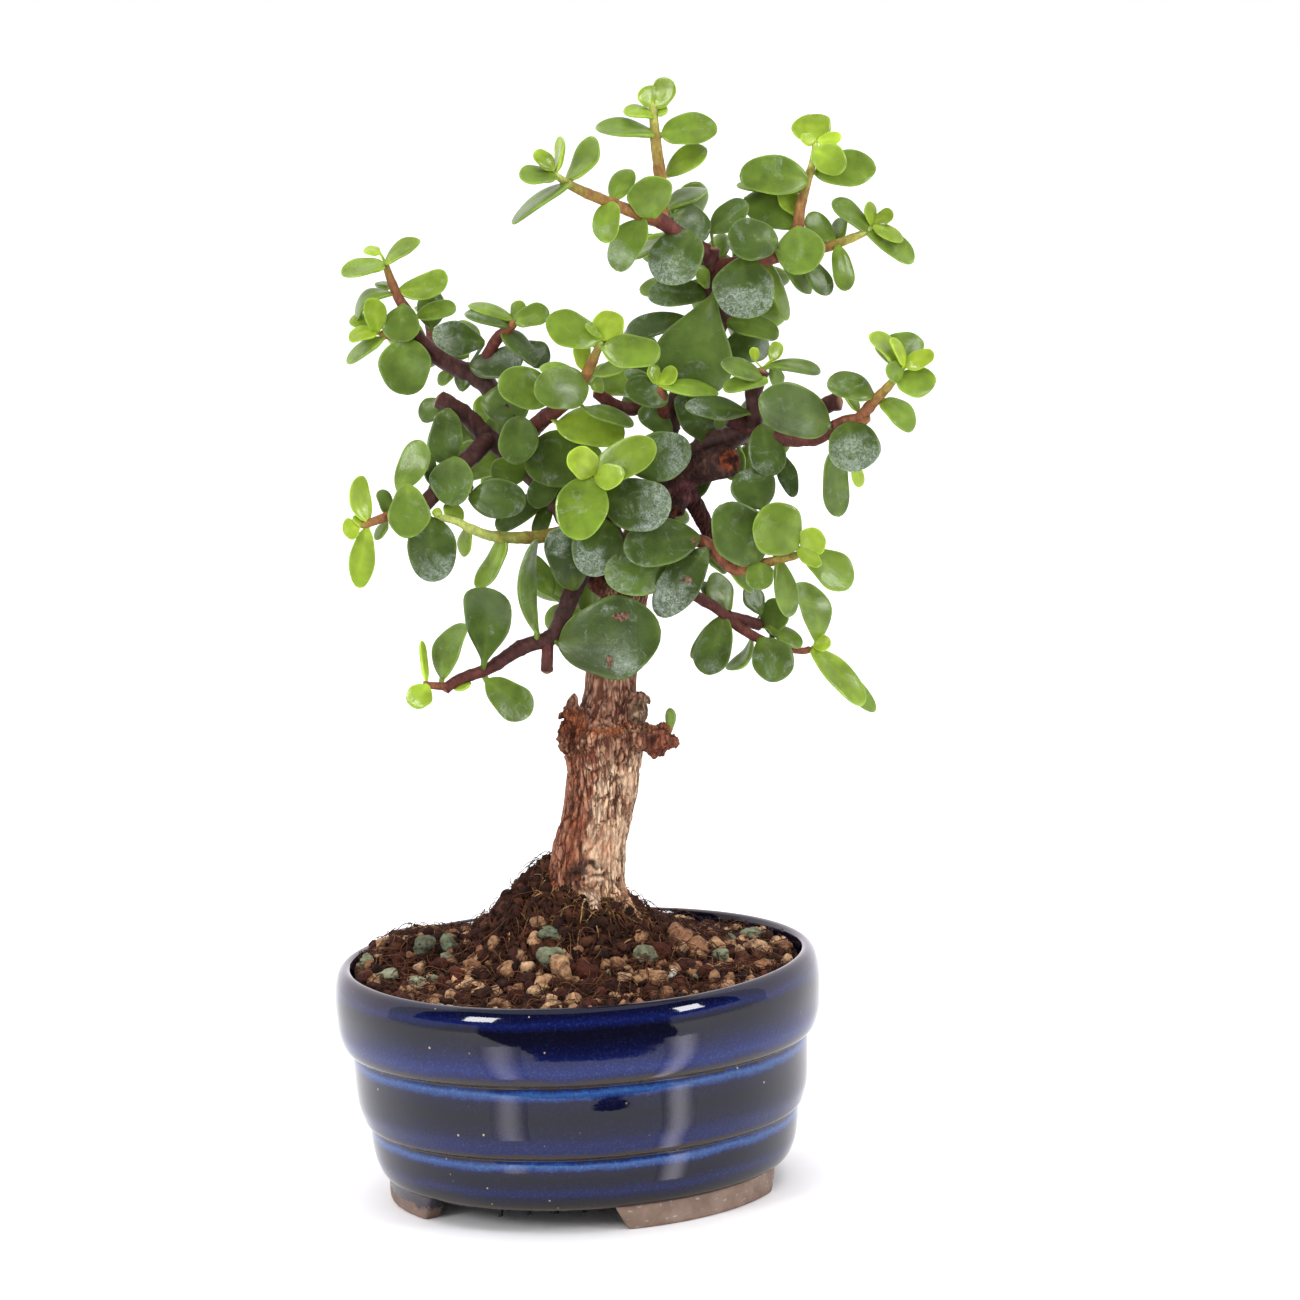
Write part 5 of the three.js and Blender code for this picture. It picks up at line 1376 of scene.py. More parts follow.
# %% Bark: finish
def bark_material(name, scale, depth, rough=0.85, plates=0.0):
    """The piece's own tint with fine streaks and a fine bump along it; plates sets how dark the
    gaps between the flakes are, which are the borders of cells stretched along the grain."""
    skin = Maker(name)
    spot = skin.place((1, 1, 0.3))
    base = skin.group(
        mottle, Color=skin.painted(), Vector=spot, Scale=scale, Detail=6.0, Roughness=0.7,
        Low=0.3, High=0.72, Dark=0.58, Middle=1.0, Light=1.34,
    )
    normal = skin.bump(skin.noise(spot, scale * 1.1, 6.0, 0.72), depth, 0.9)
    if plates:
        spot = skin.place((1, 1, 0.19))
        wobble = skin.add("TexNoise", {"Vector": spot, "Scale": 500.0, "Detail": 3.0})
        bend = {0: wobble.outputs["Color"], 1: (0.0016,) * 3, 2: spot}
        bent = skin.add("VectorMath", bend, operation="MULTIPLY_ADD").outputs[0]
        border = skin.cells(bent, 860.0, "DISTANCE_TO_EDGE")
        gap = skin.ramp(border, [(0.0, 1.0), (0.05, 0.75), (0.13, 0.0)])
        where = skin.ramp(skin.noise(spot, 260.0, 3.0), [(0.4, 0.2), (0.58, 1.0)])
        gap = skin.times(gap, where)
        base = skin.mix(skin.times(gap, plates), base, srgb(76, 46, 34))
        normal = skin.bump(skin.math("SUBTRACT", 1.0, gap), 0.0005, 0.9, normal)
    return skin.finish(Base_Color=base, Roughness=rough, Normal=normal, Specular_IOR_Level=0.2)


trunk = voxel_skin("trunk_skin", TRUNK)
print("trunk:", bark(trunk), "corners")
dress(trunk, bark_material("old_bark", 1000.0, 0.0005, plates=0.9))
ride(trunk, "bark", "trunk")

# %% The bud on the nub
BUD = [
    [26.6, 116.6, -6, 0.7], [27.0, 118.2, -6, 0.95], [27.2, 119.6, -6, 1.35],
    [27.3, 121.0, -6, 1.45], [27.2, 122.2, -6, 1.15], [27.1, 123.0, -6, 0.6],
]


def make_bud():
    """One closed bud leaf, dark green, a little browner at its foot."""
    points, quads, triangles, fraction = tube(stations(BUD, 0.2), 20, ends=(0.0, 1.0))
    green = blend(tone(110, 84, 48), tone(104, 128, 52), smoothstep(0.1, 0.4, fraction))
    return make_object("trunk_bud", points, quads, triangles, colours={"tint": green})


bud = make_bud()
dress(bud, bark_material("bud_skin", 500.0, 0.00006, 0.45))
ride(bud, "bark", "trunk")

# %% [markdown]
# ## Leaves
#
# A leaf of this plant is a small fleshy spoon: rounded, widest beyond its middle, a few
# tenths of a millimetre thin at the rim and about two thick, on hardly any stalk. It is made
# as one closed grid: stations along the leaf, and round each station a lens-shaped section.
# All leaves of a shoot are computed in one go, as one array: leaf, station, corner, place.

# %% Leaf shape
STATIONS_ALONG, CORNERS = 24, 24
STALK = 0.85  # radius of a leaf's stalk, mm


def leaf_faces(base, tip, roll):
    """The way each leaf faces, turned from the viewer (roll 0) to the sky (roll 90):
    viewer cos(roll) + sky sin(roll), both square to the leaf."""
    along = unit(tip - base)
    viewer = EYE - base
    viewer = unit(viewer - along * np.sum(viewer * along, axis=1, keepdims=True))
    sky = np.cross(along, viewer)
    sky *= np.where(sky[:, 2:] < 0, -1, 1)
    turn = np.radians(roll)[:, None]
    return viewer * np.cos(turn) + sky * np.sin(turn)


def leaf_grid(foot, base, along, side, face, width, arch, age, random, pointed):
    """Point at station s and corner a of a leaf:
    foot to base, then base + along s + face (4 arch s (1 - s) + cup) + side w cos a + face t z(a),
    half width w = width/2 * s^0.6 (1 - s)^0.5 / its greatest value, z(a) = sin a |sin a|^0.1 is
    flatter above than below, and cup curls the leaf up from its midrib by cos^2 a."""
    u = np.linspace(0, 1, STATIONS_ALONG)
    s = np.clip((u - 0.1) / 0.9, 0, 1)
    s = 0.5 - 0.5 * np.cos(np.pi * s) * (1 - 0.35 * (1 - s))
    s = (s - s.min()) / (s.max() - s.min())
    s = np.where(u < 0.1, 0, s)[None, :]
    power = (0.5 + 0.2 * random[:, :1] + pointed[:, None], 0.5)
    best = power[0] / (power[0] + power[1])
    shape = s ** power[0] * np.maximum(1 - s, 0) ** power[1]
    shape = shape / (best ** power[0] * (1 - best) ** power[1])
    notch = 1 - (0.02 + 0.05 * random[:, 1:2]) * np.sin(9 * s + 6 * random[:, 2:3])
    half = width[:, None] / 2 * shape * notch
    stalk = STALK * (1 - smoothstep(0.1, 0.4, s)) * np.minimum(1, width[:, None] / 8)
    half = np.hypot(half, stalk)
    plump = (0.72 + 0.2 * age[:, None] + 0.03 * width[:, None]) * (1 - s**5) ** 0.5
    thick = np.hypot(plump * smoothstep(0.0, 0.35, s + 0.08), stalk)
    angle = circle(CORNERS)
    x, z = np.cos(angle), np.sin(angle)
    z = z * np.abs(z) ** 0.1
    z = np.where(z > 0, 0.75 * z, 1.1 * z)
    sway = ((random[:, 3:4] - 0.5) * 0.12 + 0.16 * pointed[:, None]) * width[:, None]
    sway = sway * np.sin(np.pi * s)
    cup = (0.04 + 0.09 * random[:, 4:5]) * width[:, None] * np.minimum(1, shape)
    ripple = 0.03 * width[:, None, None] * np.sin(7 * s[..., None] + 6 * random[:, 5, None, None])
    groove = 0.1 * np.exp(-((x / 0.2) ** 2)) * (z > 0) * (1 - smoothstep(0.3, 0.85, s))[..., None]
    lift = cup[..., None] * x**2 + ripple * x - groove * thick[..., None]
    early = np.clip(u / 0.1, 0, 1)[None, :, None]
    centre = foot[:, None] + (base - foot)[:, None] * early
    centre = centre + along[:, None] * s[..., None]
    centre = centre + face[:, None] * (4 * arch[:, None] * s * (1 - s))[..., None]
    centre = centre + side[:, None] * sway[..., None]
    points = centre[:, :, None] + side[:, None, None] * (half[..., None] * x)[..., None]
    rise = thick[..., None] * z + lift - cup[..., None] * 0.4
    points = points + face[:, None, None] * rise[..., None]
    grid = (len(base), STATIONS_ALONG, CORNERS)
    marks = {"s": s[..., None], "x": x, "z": z}
    return points, {key: np.broadcast_to(value, grid) for key, value in marks.items()}


def leaf_mesh(count):
    """Quads and end fans of count leaves whose grids follow one another."""
    quads, ends = closed_faces(STATIONS_ALONG, CORNERS)
    start = (STATIONS_ALONG * CORNERS + 2) * np.arange(count)[:, None, None]
    return (quads + start).reshape(-1, 4), (ends + start).reshape(-1, 3)


# %% Leaf colour
AGES = np.array([0.0, 0.4, 0.8, 1.2, 1.7, 2.2])
LEAF_GREENS = np.array([
    tone(148, 170, 50), tone(130, 154, 46), tone(111, 136, 44), tone(91, 114, 39),
    tone(75, 96, 37), tone(58, 76, 28),
])
# LEAF_BACKS makes the undersides paler: partly the leaf's own colour, partly painted light that
# lifts the shade under the leaves.
LEAF_BACKS = 1.2  # undersides are a little paler


def table_tone(value, stops, tones):
    """A colour read between the stops of a table, channel by channel."""
    return np.stack([np.interp(value, stops, tones[:, k]) for k in range(3)], -1)


def leaf_tint(age, random, marks):
    """Green by age, paler towards the stalk, the rim, the midrib and the underside. The pale midrib
    is a painted highlight along the crease; the pale rim is partly the thin edge's own colour and
    partly a painted highlight; the paler underside is partly its own colour and partly painted
    light that lifts its shade.
    """
    age = age + 0.35 * (random[:, 6] - 0.5)
    green = table_tone(age, AGES, LEAF_GREENS) * (0.9 + 0.2 * random[:, 7:8])
    colour = np.broadcast_to(green[:, None, None], (*marks["s"].shape, 3))
    s, x, z = marks["s"], marks["x"], marks["z"]
    colour = blend(colour, colour * 1.25 + [0.03, 0.035, 0.0], 0.6 * (1 - smoothstep(0.0, 0.3, s)))
    # Paler undersides: partly the leaf's own colour, partly painted light that lifts their shade.
    colour = colour * np.where(z < -0.1, LEAF_BACKS, 1.0)[..., None]
    # The pale rim is partly the thin edge's own colour and partly a painted highlight.
    rim = smoothstep(0.86, 1.0, np.abs(x)) + smoothstep(0.93, 1.0, s)
    # The pale midrib is a painted highlight along the crease of the leaf.
    midrib_highlight = np.exp(-((x / 0.16) ** 2)) * (z > 0) * (1 - smoothstep(0.25, 0.8, s))
    midrib_highlight = midrib_highlight * smoothstep(0, 0.1, s)
    # pale is the colour of the pale rim and of the painted highlights on rim and midrib.
    pale = colour * 1.35 + [0.045, 0.05, 0.018]
    return blend(colour, pale, np.clip(0.8 * rim + 0.35 * midrib_highlight, 0, 1))


# %% Stem colour
GIRTHS = np.array([0.4, 0.7, 0.95, 1.2, 1.5, 1.9, 2.6, 4.0])  # radius, mm
STEM_TONES = np.array([
    tone(164, 174, 90), tone(142, 132, 58), tone(140, 106, 52), tone(128, 76, 50),
    tone(94, 46, 38), tone(70, 35, 32), tone(58, 35, 31), tone(88, 60, 50),
])


def stem_tint(points, radius, seed, warm=0.0):
    """Green at the youngest tips, then olive, red-brown and dark purple-brown in old wood."""
    shaken = radius - warm + 0.07 * lattice_noise(points, 6.0, seed, 2)
    colour = table_tone(shaken, GIRTHS, STEM_TONES)
    fleck = lattice_noise(points, 1.1, seed + 1, 3)
    colour = blend(colour, colour * 1.5 + [0.02, 0.015, 0.012], 0.5 * smoothstep(0.2, 0.6, fleck))
    return blend(colour, colour * 0.5, 0.5 * smoothstep(0.2, 0.6, -fleck))


# %% [markdown]
# ## Shoots
#
# A shoot is one piece: its stems, and the leaves that grow from them. Leaves could be scattered
# on the stems by rule, but a tree is known by its outline, so each leaf has its own row. A row
# of the table names the shoot and the piece it grows from, how much it leans away from the
# viewer for each millimetre it reaches out, its stems as across, up, depth and radius, and its
# leaves as base and tip on the drawing, width, how much further back the tip lies, roll, arch
# and age.

# %% The shoots
SHOOTS = [
  ["leader", "trunk", 0, [
    [[29.5, 178.5, 0, 4.2], [30, 184, 0.5, 4], [29.5, 188, 1, 3.5], [30, 195, 2, 3.2],
      [35, 204, 3, 2.9], [41, 213, 3, 2.7], [44, 220, 3, 2.3], [43.3, 228, 2, 2.1],
      [42.8, 234, 1, 2], [43.8, 240, 0, 1.8]],
  ], [
    [46, 220.5, 59.3, 216.5, 7.5, -1, 35, 0.8, 1.2],
    [43.8, 228.5, 36.5, 203, 20, -3, 5, 1, 1.6],
    [42, 228, 26.7, 228.3, 9, 0, 35, 0.8, 1.9],
    [38, 231, 24.7, 229.8, 6, 5, 35, 0.5, 1],
    [42, 229.5, 39.7, 235.3, 4, -2, 30, 0, 1],
    [31, 193, 23.2, 199.8, 6.5, -2, 15, 0.5, 1.9],
    [36, 176.5, 39.6, 184.4, 6.5, 5, 12, 0.4, 1.6],
    [36, 222, 20.8, 219.6, 7, 6, 30, 0.8, 2.1],
    [45.5, 214.5, 56.8, 213.8, 9, 3, 15, 0, 2],
    [43.5, 243.5, 52.5, 251, 8, 2, 30, 0, 1.7],
  ]],
  ["crown_left", "leader", -0.45, [
    [[42.5, 238, 1, 2.2], [36.5, 242, 1, 2.1], [31, 247, 0, 1.9], [26.5, 248.5, -1, 1.6],
      [22, 250.5, -2, 1.5], [17, 252.8, -3, 1.4], [12, 255.2, -4, 1.3], [8, 257.5, -5, 1.1],
      [4.5, 260.3, -6, 0.7]],
  ], [
    [8.5, 257.5, -6.5, 248, 8, -2, 70, 1, 1],
    [8.0, 258.3, 15.3, 269, 8.5, 2, 48, -1.5, 0.7],
    [5, 259.5, -4, 259.8, 7.5, -3, 52, 0.5, 1],
    [5, 260.5, 6.8, 269.5, 5.5, 2, 70, -0.5, 0.3],
    [4.8, 261, 0, 265.8, 5, -1, 35, 0.5, 0.3],
    [19.3, 252.8, 24, 260.3, 7, 3, 35, 0, 1],
    [18.8, 252.3, 17, 242, 7.2, -4, 15, 1, 1],
    [16.5, 253.5, 13, 255, 4, 4, 60, 0, 1],
    [29.5, 248, 27.3, 258, 11.8, -5, 10, 0.5, 1],
    [26.8, 247.3, 19, 235, 9, -2, 20, 1, 1.3],
    [34, 242.3, 22.6, 238, 6.5, 4, 70, 0.5, 1.4],
    [38.5, 243.8, 30.3, 231.3, 13.5, -5, 10, 0.8, 2],
  ]],
  ["crown_top", "crown_left", 0.25, [
    [[31.2, 246, 0, 1.7], [31.4, 249.5, 2, 1.7], [31.4, 257, 3, 1.6], [30.7, 266, 3, 1.4],
      [30.4, 274, 3, 1.1], [30.4, 277, 3, 0.6]],
  ], [
    [32.3, 268.5, 46.3, 269.5, 9, 1, 25, 0.8, 0.8],
    [31, 268.5, 15.6, 271, 8, -1, 58, 1, 0.9],
    [33, 258.3, 43.2, 264.8, 8, 2, 40, 0.5, 0.55],
    [34, 248, 43.2, 243.5, 10, 3, 25, -1, 2],
    [33, 250, 42.5, 254.5, 7, 8, 55, 0.5, 1.5],
    [30.8, 273.3, 22.8, 274.8, 6, -1, 60, 0.8, 0.5],
    [31.2, 273.5, 34, 275.3, 4, 0, 60, 0, 0.3],
    [30.4, 275.5, 28.6, 280.8, 6.5, 0, 25, 0, 0.45],
    [30.6, 275.5, 35.2, 282.2, 7, -1, 25, -0.5, 0.45],
  ]],
  ["crown_right", "leader", 0.35, [
    [[43.5, 235, 1, 1.9], [52.5, 235.5, -2, 1.8], [60, 236.5, -3, 1.6], [66, 237.5, -3, 1.4],
      [73, 238.5, -4, 1.3], [78, 240, -5, 1.1], [82, 241.5, -6, 0.9], [84, 243, -6, 0.7]],
    [[64, 237.3, -3, 1.5], [65.5, 244, -2, 1.5], [66, 248, -2, 1.4], [67.5, 253, -2, 1.2],
      [69.2, 258, -2, 1], [70, 261, -2, 0.9], [70.7, 264.8, -2, 0.7]],
  ], [
    [68.3, 255.3, 51.2, 257.4, 10.5, -2, 15, 0.8, 1.25],
    [67.5, 253, 50.3, 255, 6, 3, 60, 0, 1],
    [70.3, 257, 85.6, 258, 10.2, 2, 25, 0.8, 0.75],
    [70, 262.8, 77.5, 257.2, 8, -3, 10, 0.5, 0.5],
    [71, 265, 69.3, 271.8, 10.5, 3, 10, 0, 0.4],
    [70.8, 265, 67, 266.2, 3.5, -1, 20, 0, 0],
    [71.2, 264.8, 77.3, 266, 3.8, -1, 20, 0, 0],
    [66.2, 246.5, 61.5, 253.8, 6.5, 3, 35, 0, 0.7],
    [64.5, 243.5, 52.4, 252, 10, 6, 25, 0.5, 1.3],
    [65.5, 243.7, 65.3, 231.7, 12.3, -6, 5, 0.8, 1.3],
    [66, 236.5, 72.6, 226.3, 6.5, -1, 30, 0.6, 1.7],
    [61, 236, 68, 227, 6, 4, 40, 0.5, 1],
    [75, 238.5, 76.7, 227, 6, -2, 20, 0.6, 1],
    [74, 239.5, 68, 247, 7, 1, 30, -0.8, 1.3],
    [75, 239.5, 76, 245.5, 5, 5, 35, 0, 1],
    [83, 242, 74.3, 250, 7, 1, 45, 0.6, 1],
    [82.5, 241.8, 94, 233.3, 8, -1, 44, 0.8, 0.7],
    [84.2, 243, 83.4, 249.3, 4.5, 0, 50, 0, 0.2],
    [84.5, 243.5, 89.3, 246.5, 4.5, -1, 30, 0, 0.2],
    [84.3, 243, 91.5, 238.8, 5, -2, 45, 0.5, 0.4],
    [60, 240.5, 47.3, 241.3, 11.5, -4, 20, 1, 2],
    [51, 237, 52, 221.3, 16, -5, 8, 0.8, 2],
    [56, 236, 61.6, 220.3, 6, 3, 50, 0.8, 1],
  ]],
  ["right_limb", "trunk", -0.2, [
    [[30, 181, 2, 3.3], [33, 184, 3, 3.2], [36, 187, 3, 3], [41, 190.3, 2, 3.0],
      [47, 191.8, 0, 2.8], [52, 195.5, -2, 2.3], [52.5, 203, -3, 2.3], [54.8, 208.5, -3, 1.8]],
  ], [
    [50.5, 197.5, 34.7, 199.8, 7.5, -3, 42, 0.8, 2.2],
    [41, 190.5, 33, 203, 9, -1, 20, 0.8, 2],
    [48, 188, 45.5, 180.5, 6.5, 5, 20, 0, 0.8],
    [57, 209.3, 69.4, 206.8, 6.5, -1, 60, 0.8, 1.2],
    [54.5, 206, 44.3, 210.4, 6.5, -2, 42, 0.5, 1.4],
    [56, 205.5, 44.6, 203.6, 6, -2, 48, 0.5, 1],
    [57, 208.5, 59.3, 204, 4.5, 3, 30, 0, 1],
    [53, 210.5, 52.6, 214, 2.6, -1, 10, 0, 0],
    [57, 210.3, 59.3, 215, 4, 0, 20, 0, 0.2],
  ]],
  ["right_branch", "right_limb", -0.4, [
    [[51, 193.5, -1, 2.2], [57, 191, -3, 2.1], [66, 190, -5, 1.9], [70.5, 191.5, -6, 1.8],
      [75, 194, -7, 1.6], [79.5, 194.5, -7, 1.4], [81.3, 193.9, -7, 1.3]],
    [[46, 196.5, 0, 2.3], [50, 194.2, -1, 2.3], [54, 192.2, -2, 2.1]],
    [[67, 190.5, -5, 1.9], [68.5, 196.5, -4, 2], [71, 198.6, -4, 2.2], [74.5, 199.2, -4, 2.2]],
    [[78.5, 194.5, -7, 1.5], [83, 199.2, -8, 1.4], [86.4, 202.5, -8, 1.1], [90, 206.5, -9, 0.7]],
  ], [
    [58, 187, 61.3, 175.4, 5, -1, 15, 0.4, 2],
    [54, 194.3, 56, 181, 9.6, -4, 5, 0.5, 2],
    [71, 193.2, 53.4, 200.6, 13.2, -9, 8, 0.3, 1.8],
    [75.5, 193.8, 77.8, 181.2, 13.4, -3, 8, 0.5, 2],
    [72.5, 187.5, 72.2, 169.8, 8.5, 1, -35, -0.8, 1.5],
    [77, 183, 78.3, 177.2, 3.5, 3, 20, 0, 0.3],
    [82.5, 200.3, 70.8, 204, 8.5, -1, 35, 1, 1.3],
    [78.5, 196.5, 75, 203, 4, 2, 50, 0, 1],
    [84.5, 198.8, 92, 190.8, 8, -1, 40, 1.2, 0.9],
    [88.5, 204, 98.4, 202.8, 8, -3, 22, -1, 0.8],
    [89.3, 204, 86.5, 208, 5.5, -3, 25, 0, 0.8],
    [89, 207.5, 82.2, 215.9, 7, 0, 50, 1, 0.45],
    [90, 207, 90.5, 216, 12, 3, 15, 0.5, 1],
    [90.5, 207.5, 87.4, 214.6, 4, -2, 50, 0.5, 0],
    [90.8, 207.3, 98.2, 210.3, 5, -1, 20, 0.3, 0],
  ]],
  ["left_limb", "trunk", 0.15, [
    [[17, 153, 2, 4], [8, 168, 4, 3.8], [-2, 182, 5, 3.3], [-10, 190, 4, 2.9],
      [-15.5, 194.5, 2, 2.5], [-20, 199.6, 1, 2.3], [-24, 202.8, 0, 2.3], [-27.8, 205.2, 0, 2.3]],
  ], [
    [-0.5, 179.5, -14.5, 171, 7.5, -1, 30, 0.8, 1.8],
    [-0.8, 177, -4.5, 168.3, 5, -1, 25, 0.5, 1.5],
    [-6, 186.6, -15, 184.2, 8.6, -3, 15, 0, 1.3],
    [1, 184.5, -5, 176.2, 7.6, -4, 15, 0.3, 1.9],
    [-26, 203.5, -32.3, 200.2, 6.5, 2, 25, 0.5, 1.5],
    [-25, 202.2, -27.4, 188.3, 9, -4, 8, 0.8, 1.9],
  ]],
  ["left_mid", "left_limb", -0.4, [
    [[-15.5, 194.5, 2, 2.5], [-19, 190.5, -1, 2.4], [-24, 186.5, -4, 2.3], [-30, 180.5, -6, 2.1],
      [-33.5, 177.5, -7, 1.9], [-41, 175.8, -8, 1.3], [-45, 174.7, -9, 1.1],
      [-49, 173.4, -9, 0.8]],
    [[-23, 187, -4, 1.6], [-20.5, 181, -6, 1.2]],
  ], [
    [-38.8, 182.4, -32, 194.6, 8.6, 2, 28, -1.2, 1.2],
    [-30, 183, -30.4, 191.3, 4.5, 3, 40, 0, 2],
    [-24.3, 189.8, -24.8, 177.5, 11, -8, 5, 0.8, 1.6],
    [-36.5, 183.5, -36.9, 169.8, 10.4, -5, 5, 0.6, 1.3],
    [-31.3, 175, -31, 158.3, 12.6, -2, 8, 0.8, 2],
    [-21, 179.6, -6.6, 177.4, 10.4, -3, 12, 0.8, 2],
    [-47, 174.6, -48.4, 186.4, 6.8, -1, 35, -1.5, 0.4],
    [-47.3, 172.8, -50, 157.7, 6.6, -1, 10, -0.8, 0.45],
    [-49.3, 173, -53.4, 172.3, 5.8, -1, 20, 0.3, 0],
    [-48.6, 173.5, -50.3, 176.3, 3, 1, 40, 0, 0.2],
    [-41.3, 176, -43.2, 182.6, 4.4, 3, 25, 0, 1.5],
    [-42, 174, -45.5, 170.2, 3.5, 3, 45, 0, 1],
  ]],
  ["pale_left", "left_limb", -0.2, [
    [[6, 170, 2, 1.9], [-2, 168.7, -2, 1.7], [-7, 168.5, -4, 1.6], [-15.5, 169.3, -6, 1.4],
      [-21, 171.5, -7, 1.2], [-24, 173.3, -7, 1], [-29, 175, -8, 0.8]],
  ], [
    [-23.5, 173, -26.5, 178.5, 6, 2, 40, 0, 0.6],
    [-28.5, 174.8, -30, 177, 3, 0, 30, 0, 0],
    [-21.5, 171.6, -23.5, 164.5, 5, 2, 45, 0, 0.6],
    [-12.5, 169, -20.3, 156.2, 7, -1, 45, -1.5, 0.6],
  ]],
  ["upper_left", "left_limb", 0.35, [
    [[-2, 183, 4, 2.6], [-6, 194, 5, 2.5], [-12, 204.5, 6, 2.5], [-18, 210.2, 6, 2.4],
      [-24, 213.5, 5, 2.2], [-29, 217.5, 4, 2.0], [-32.5, 222, 3, 1.8], [-34.5, 228, 2, 1.5],
      [-36, 231, 2, 1.3], [-37.8, 236, 1, 1.1], [-39, 240.5, 0, 0.8]],
    [[-31.5, 221.5, 3, 1.4], [-37, 221, 1, 1.1], [-41.5, 222.3, 0, 0.9]],
  ], [
    [-38.8, 239.7, -29.6, 245, 6, -2, 50, 1, 0.7],
    [-39, 239.4, -50, 237.6, 8, -2, 55, 0.6, 0.7],
    [-40, 242.5, -43.9, 243.6, 4.5, 2, 55, 0, 0],
    [-35.6, 232.4, -23.3, 235.8, 9, 0, 40, -1.2, 0.7],
    [-37.3, 232, -47, 225.8, 6.5, -1, 60, 3.5, 1],
    [-38.3, 233.5, -41, 235, 4, 4, 60, 0, 1],
    [-31.5, 226, -21.6, 228, 6, 2, 35, 0.5, 1],
    [-35, 229, -35.2, 219.6, 9.8, -4, 8, 0.6, 1.1],
    [-34.5, 220.5, -35.3, 206.2, 13.4, -3, 5, 0.8, 1.5],
    [-41.8, 222.8, -43.2, 231.3, 6.2, -3, 15, 1, 0.3],
    [-42.2, 222.5, -49, 220.8, 6, -2, 50, 0.8, 0.3],
    [-42.5, 223.5, -48.4, 226.4, 6, 2, 40, 0.5, 0.4],
    [-40.5, 221, -49.9, 215, 6.5, -1, 58, 0.6, 1],
    [-15, 218.5, -28, 221.3, 8.7, -4, 12, -0.8, 2],
    [-21.5, 206.5, -18.8, 213.8, 5.5, 1, 35, 0.3, 2],
    [-23, 211.5, -27.3, 209, 4, 3, 30, 0, 1],
    [-19, 215.5, -25.8, 216.5, 4, 2, 60, 0, 1],
    [-16.5, 204, -4.8, 200.5, 10.5, -2, 10, 0.5, 1.7],
    [13, 189.3, -6.4, 186, 14.6, -6, 12, 0.5, 1.35],
  ]],
  ["upper_left_twig", "upper_left", -0.3, [
    [[-17, 209.5, 6, 1.9], [-15.5, 213, 6, 1.7], [-12, 219, 5, 1.5], [-8.5, 222, 4, 1.3],
      [-6.8, 223.5, 3, 1]],
  ], [
    [-7.3, 223.8, -18.6, 228.2, 5.5, 2, 55, 0.6, 0.9],
    [-8, 222.5, -19.7, 226, 6.5, -1, 55, 1, 1.8],
    [-7, 223.3, 1.8, 225.6, 6.5, 0, 25, 0.3, 1],
    [-6.8, 223.5, -5.6, 228.8, 4.5, 2, 30, 0, 0.8],
    [-10.3, 221.3, -2, 212.3, 7, -1, 45, 0.5, 1.7],
    [-6, 217.5, 1, 212.5, 7, 2, 20, 0.3, 1.8],
    [-18.8, 212.5, -5.4, 214.3, 8.6, -5, 20, -0.8, 2.1],
  ]],
  ["centre_shoot", "upper_left", -0.5, [
    [[-6, 194.5, 2, 2.3], [-1, 198.5, -3, 2.1], [4, 202, -5, 1.9], [9.5, 208, -6, 1.5],
      [12, 212.5, -7, 1.3], [14, 216.5, -7, 0.9], [14.5, 217.8, -7, 0.7]],
  ], [
    [10.5, 205.5, -3.2, 206, 11.4, -6, 8, 0.8, 1.15],
    [1, 203.5, -12, 209, 10.8, -3, 12, 0.8, 1.2],
    [13.8, 217.8, 0.8, 223.5, 9.5, -1, 15, 0.8, 0.7],
    [15.5, 217.8, 18.3, 224.7, 8.2, 0, 8, 0.4, 0],
    [14.7, 218.3, 10.8, 222, 2.2, -3, 30, 0, 0.7],
    [14.8, 215.5, 29.3, 213.5, 9, -2, 15, 0.8, 0.9],
    [13, 209, 20.8, 211, 5, 1, 45, 0.5, 1],
    [9.5, 210.5, 9.5, 218, 4.8, 1, 20, 0, 0.4],
    [11.5, 206.5, 14.5, 206, 4.5, 3, 20, 0, 1],
    [8, 209, -1.5, 211.5, 5, 2, 45, 0.5, 0.8],
    [2.3, 197.3, 19, 192.6, 12, -5, 32, 0.8, 0.5],
    [9.5, 200.5, 21.6, 195.6, 6, -2, 48, 0.6, 1.3],
    [-6.6, 199.2, -9.4, 187.4, 10.2, -8, 5, 0.5, 1.7],
  ]],
  ["inner_twig", "leader", -0.1, [
    [[30, 195.5, 1, 2], [26, 200, 2, 1.9], [21, 200, 2, 1.8], [17, 201, 3, 1.7],
      [12, 205, 4, 1.5]],
    [[29.5, 197, 0, 1.7], [29.2, 200, -4, 1.6], [29, 202, -6, 1.4], [28.5, 205.5, -6, 0.9]],
  ], [
    [28, 206, 27, 211, 4, 0, 35, 0, 0.3],
    [29, 206, 32.8, 209.8, 4.8, -1, 30, -0.5, 0],
    [29.3, 205.3, 43.5, 202.6, 6, -1, 50, 0.8, 0.95],
    [30.5, 201.5, 19.8, 206, 8, -1, 20, 0.8, 2],
    [27, 205, 20, 209.5, 5, 2, 40, 0.5, 1.7],
  ]],
  ["front_shoot", "trunk", -0.1, [
    [[19, 160, -3, 2], [15, 170, -9, 1.8], [13, 178, -12, 1.6], [10.8, 183.2, -13, 1.3]],
  ], [
    [10, 183, 5.3, 167.3, 13.2, -6, 8, 0.8, 0.95],
    [10.8, 183.8, 5.3, 190, 8, -3, 10, 0.5, 0.2],
    [11, 183, 18.6, 183.4, 6.6, -6, 8, 0.3, 0.2],
    [11.3, 184, 27, 190.8, 9.8, -3, 10, 0.5, 0.5],
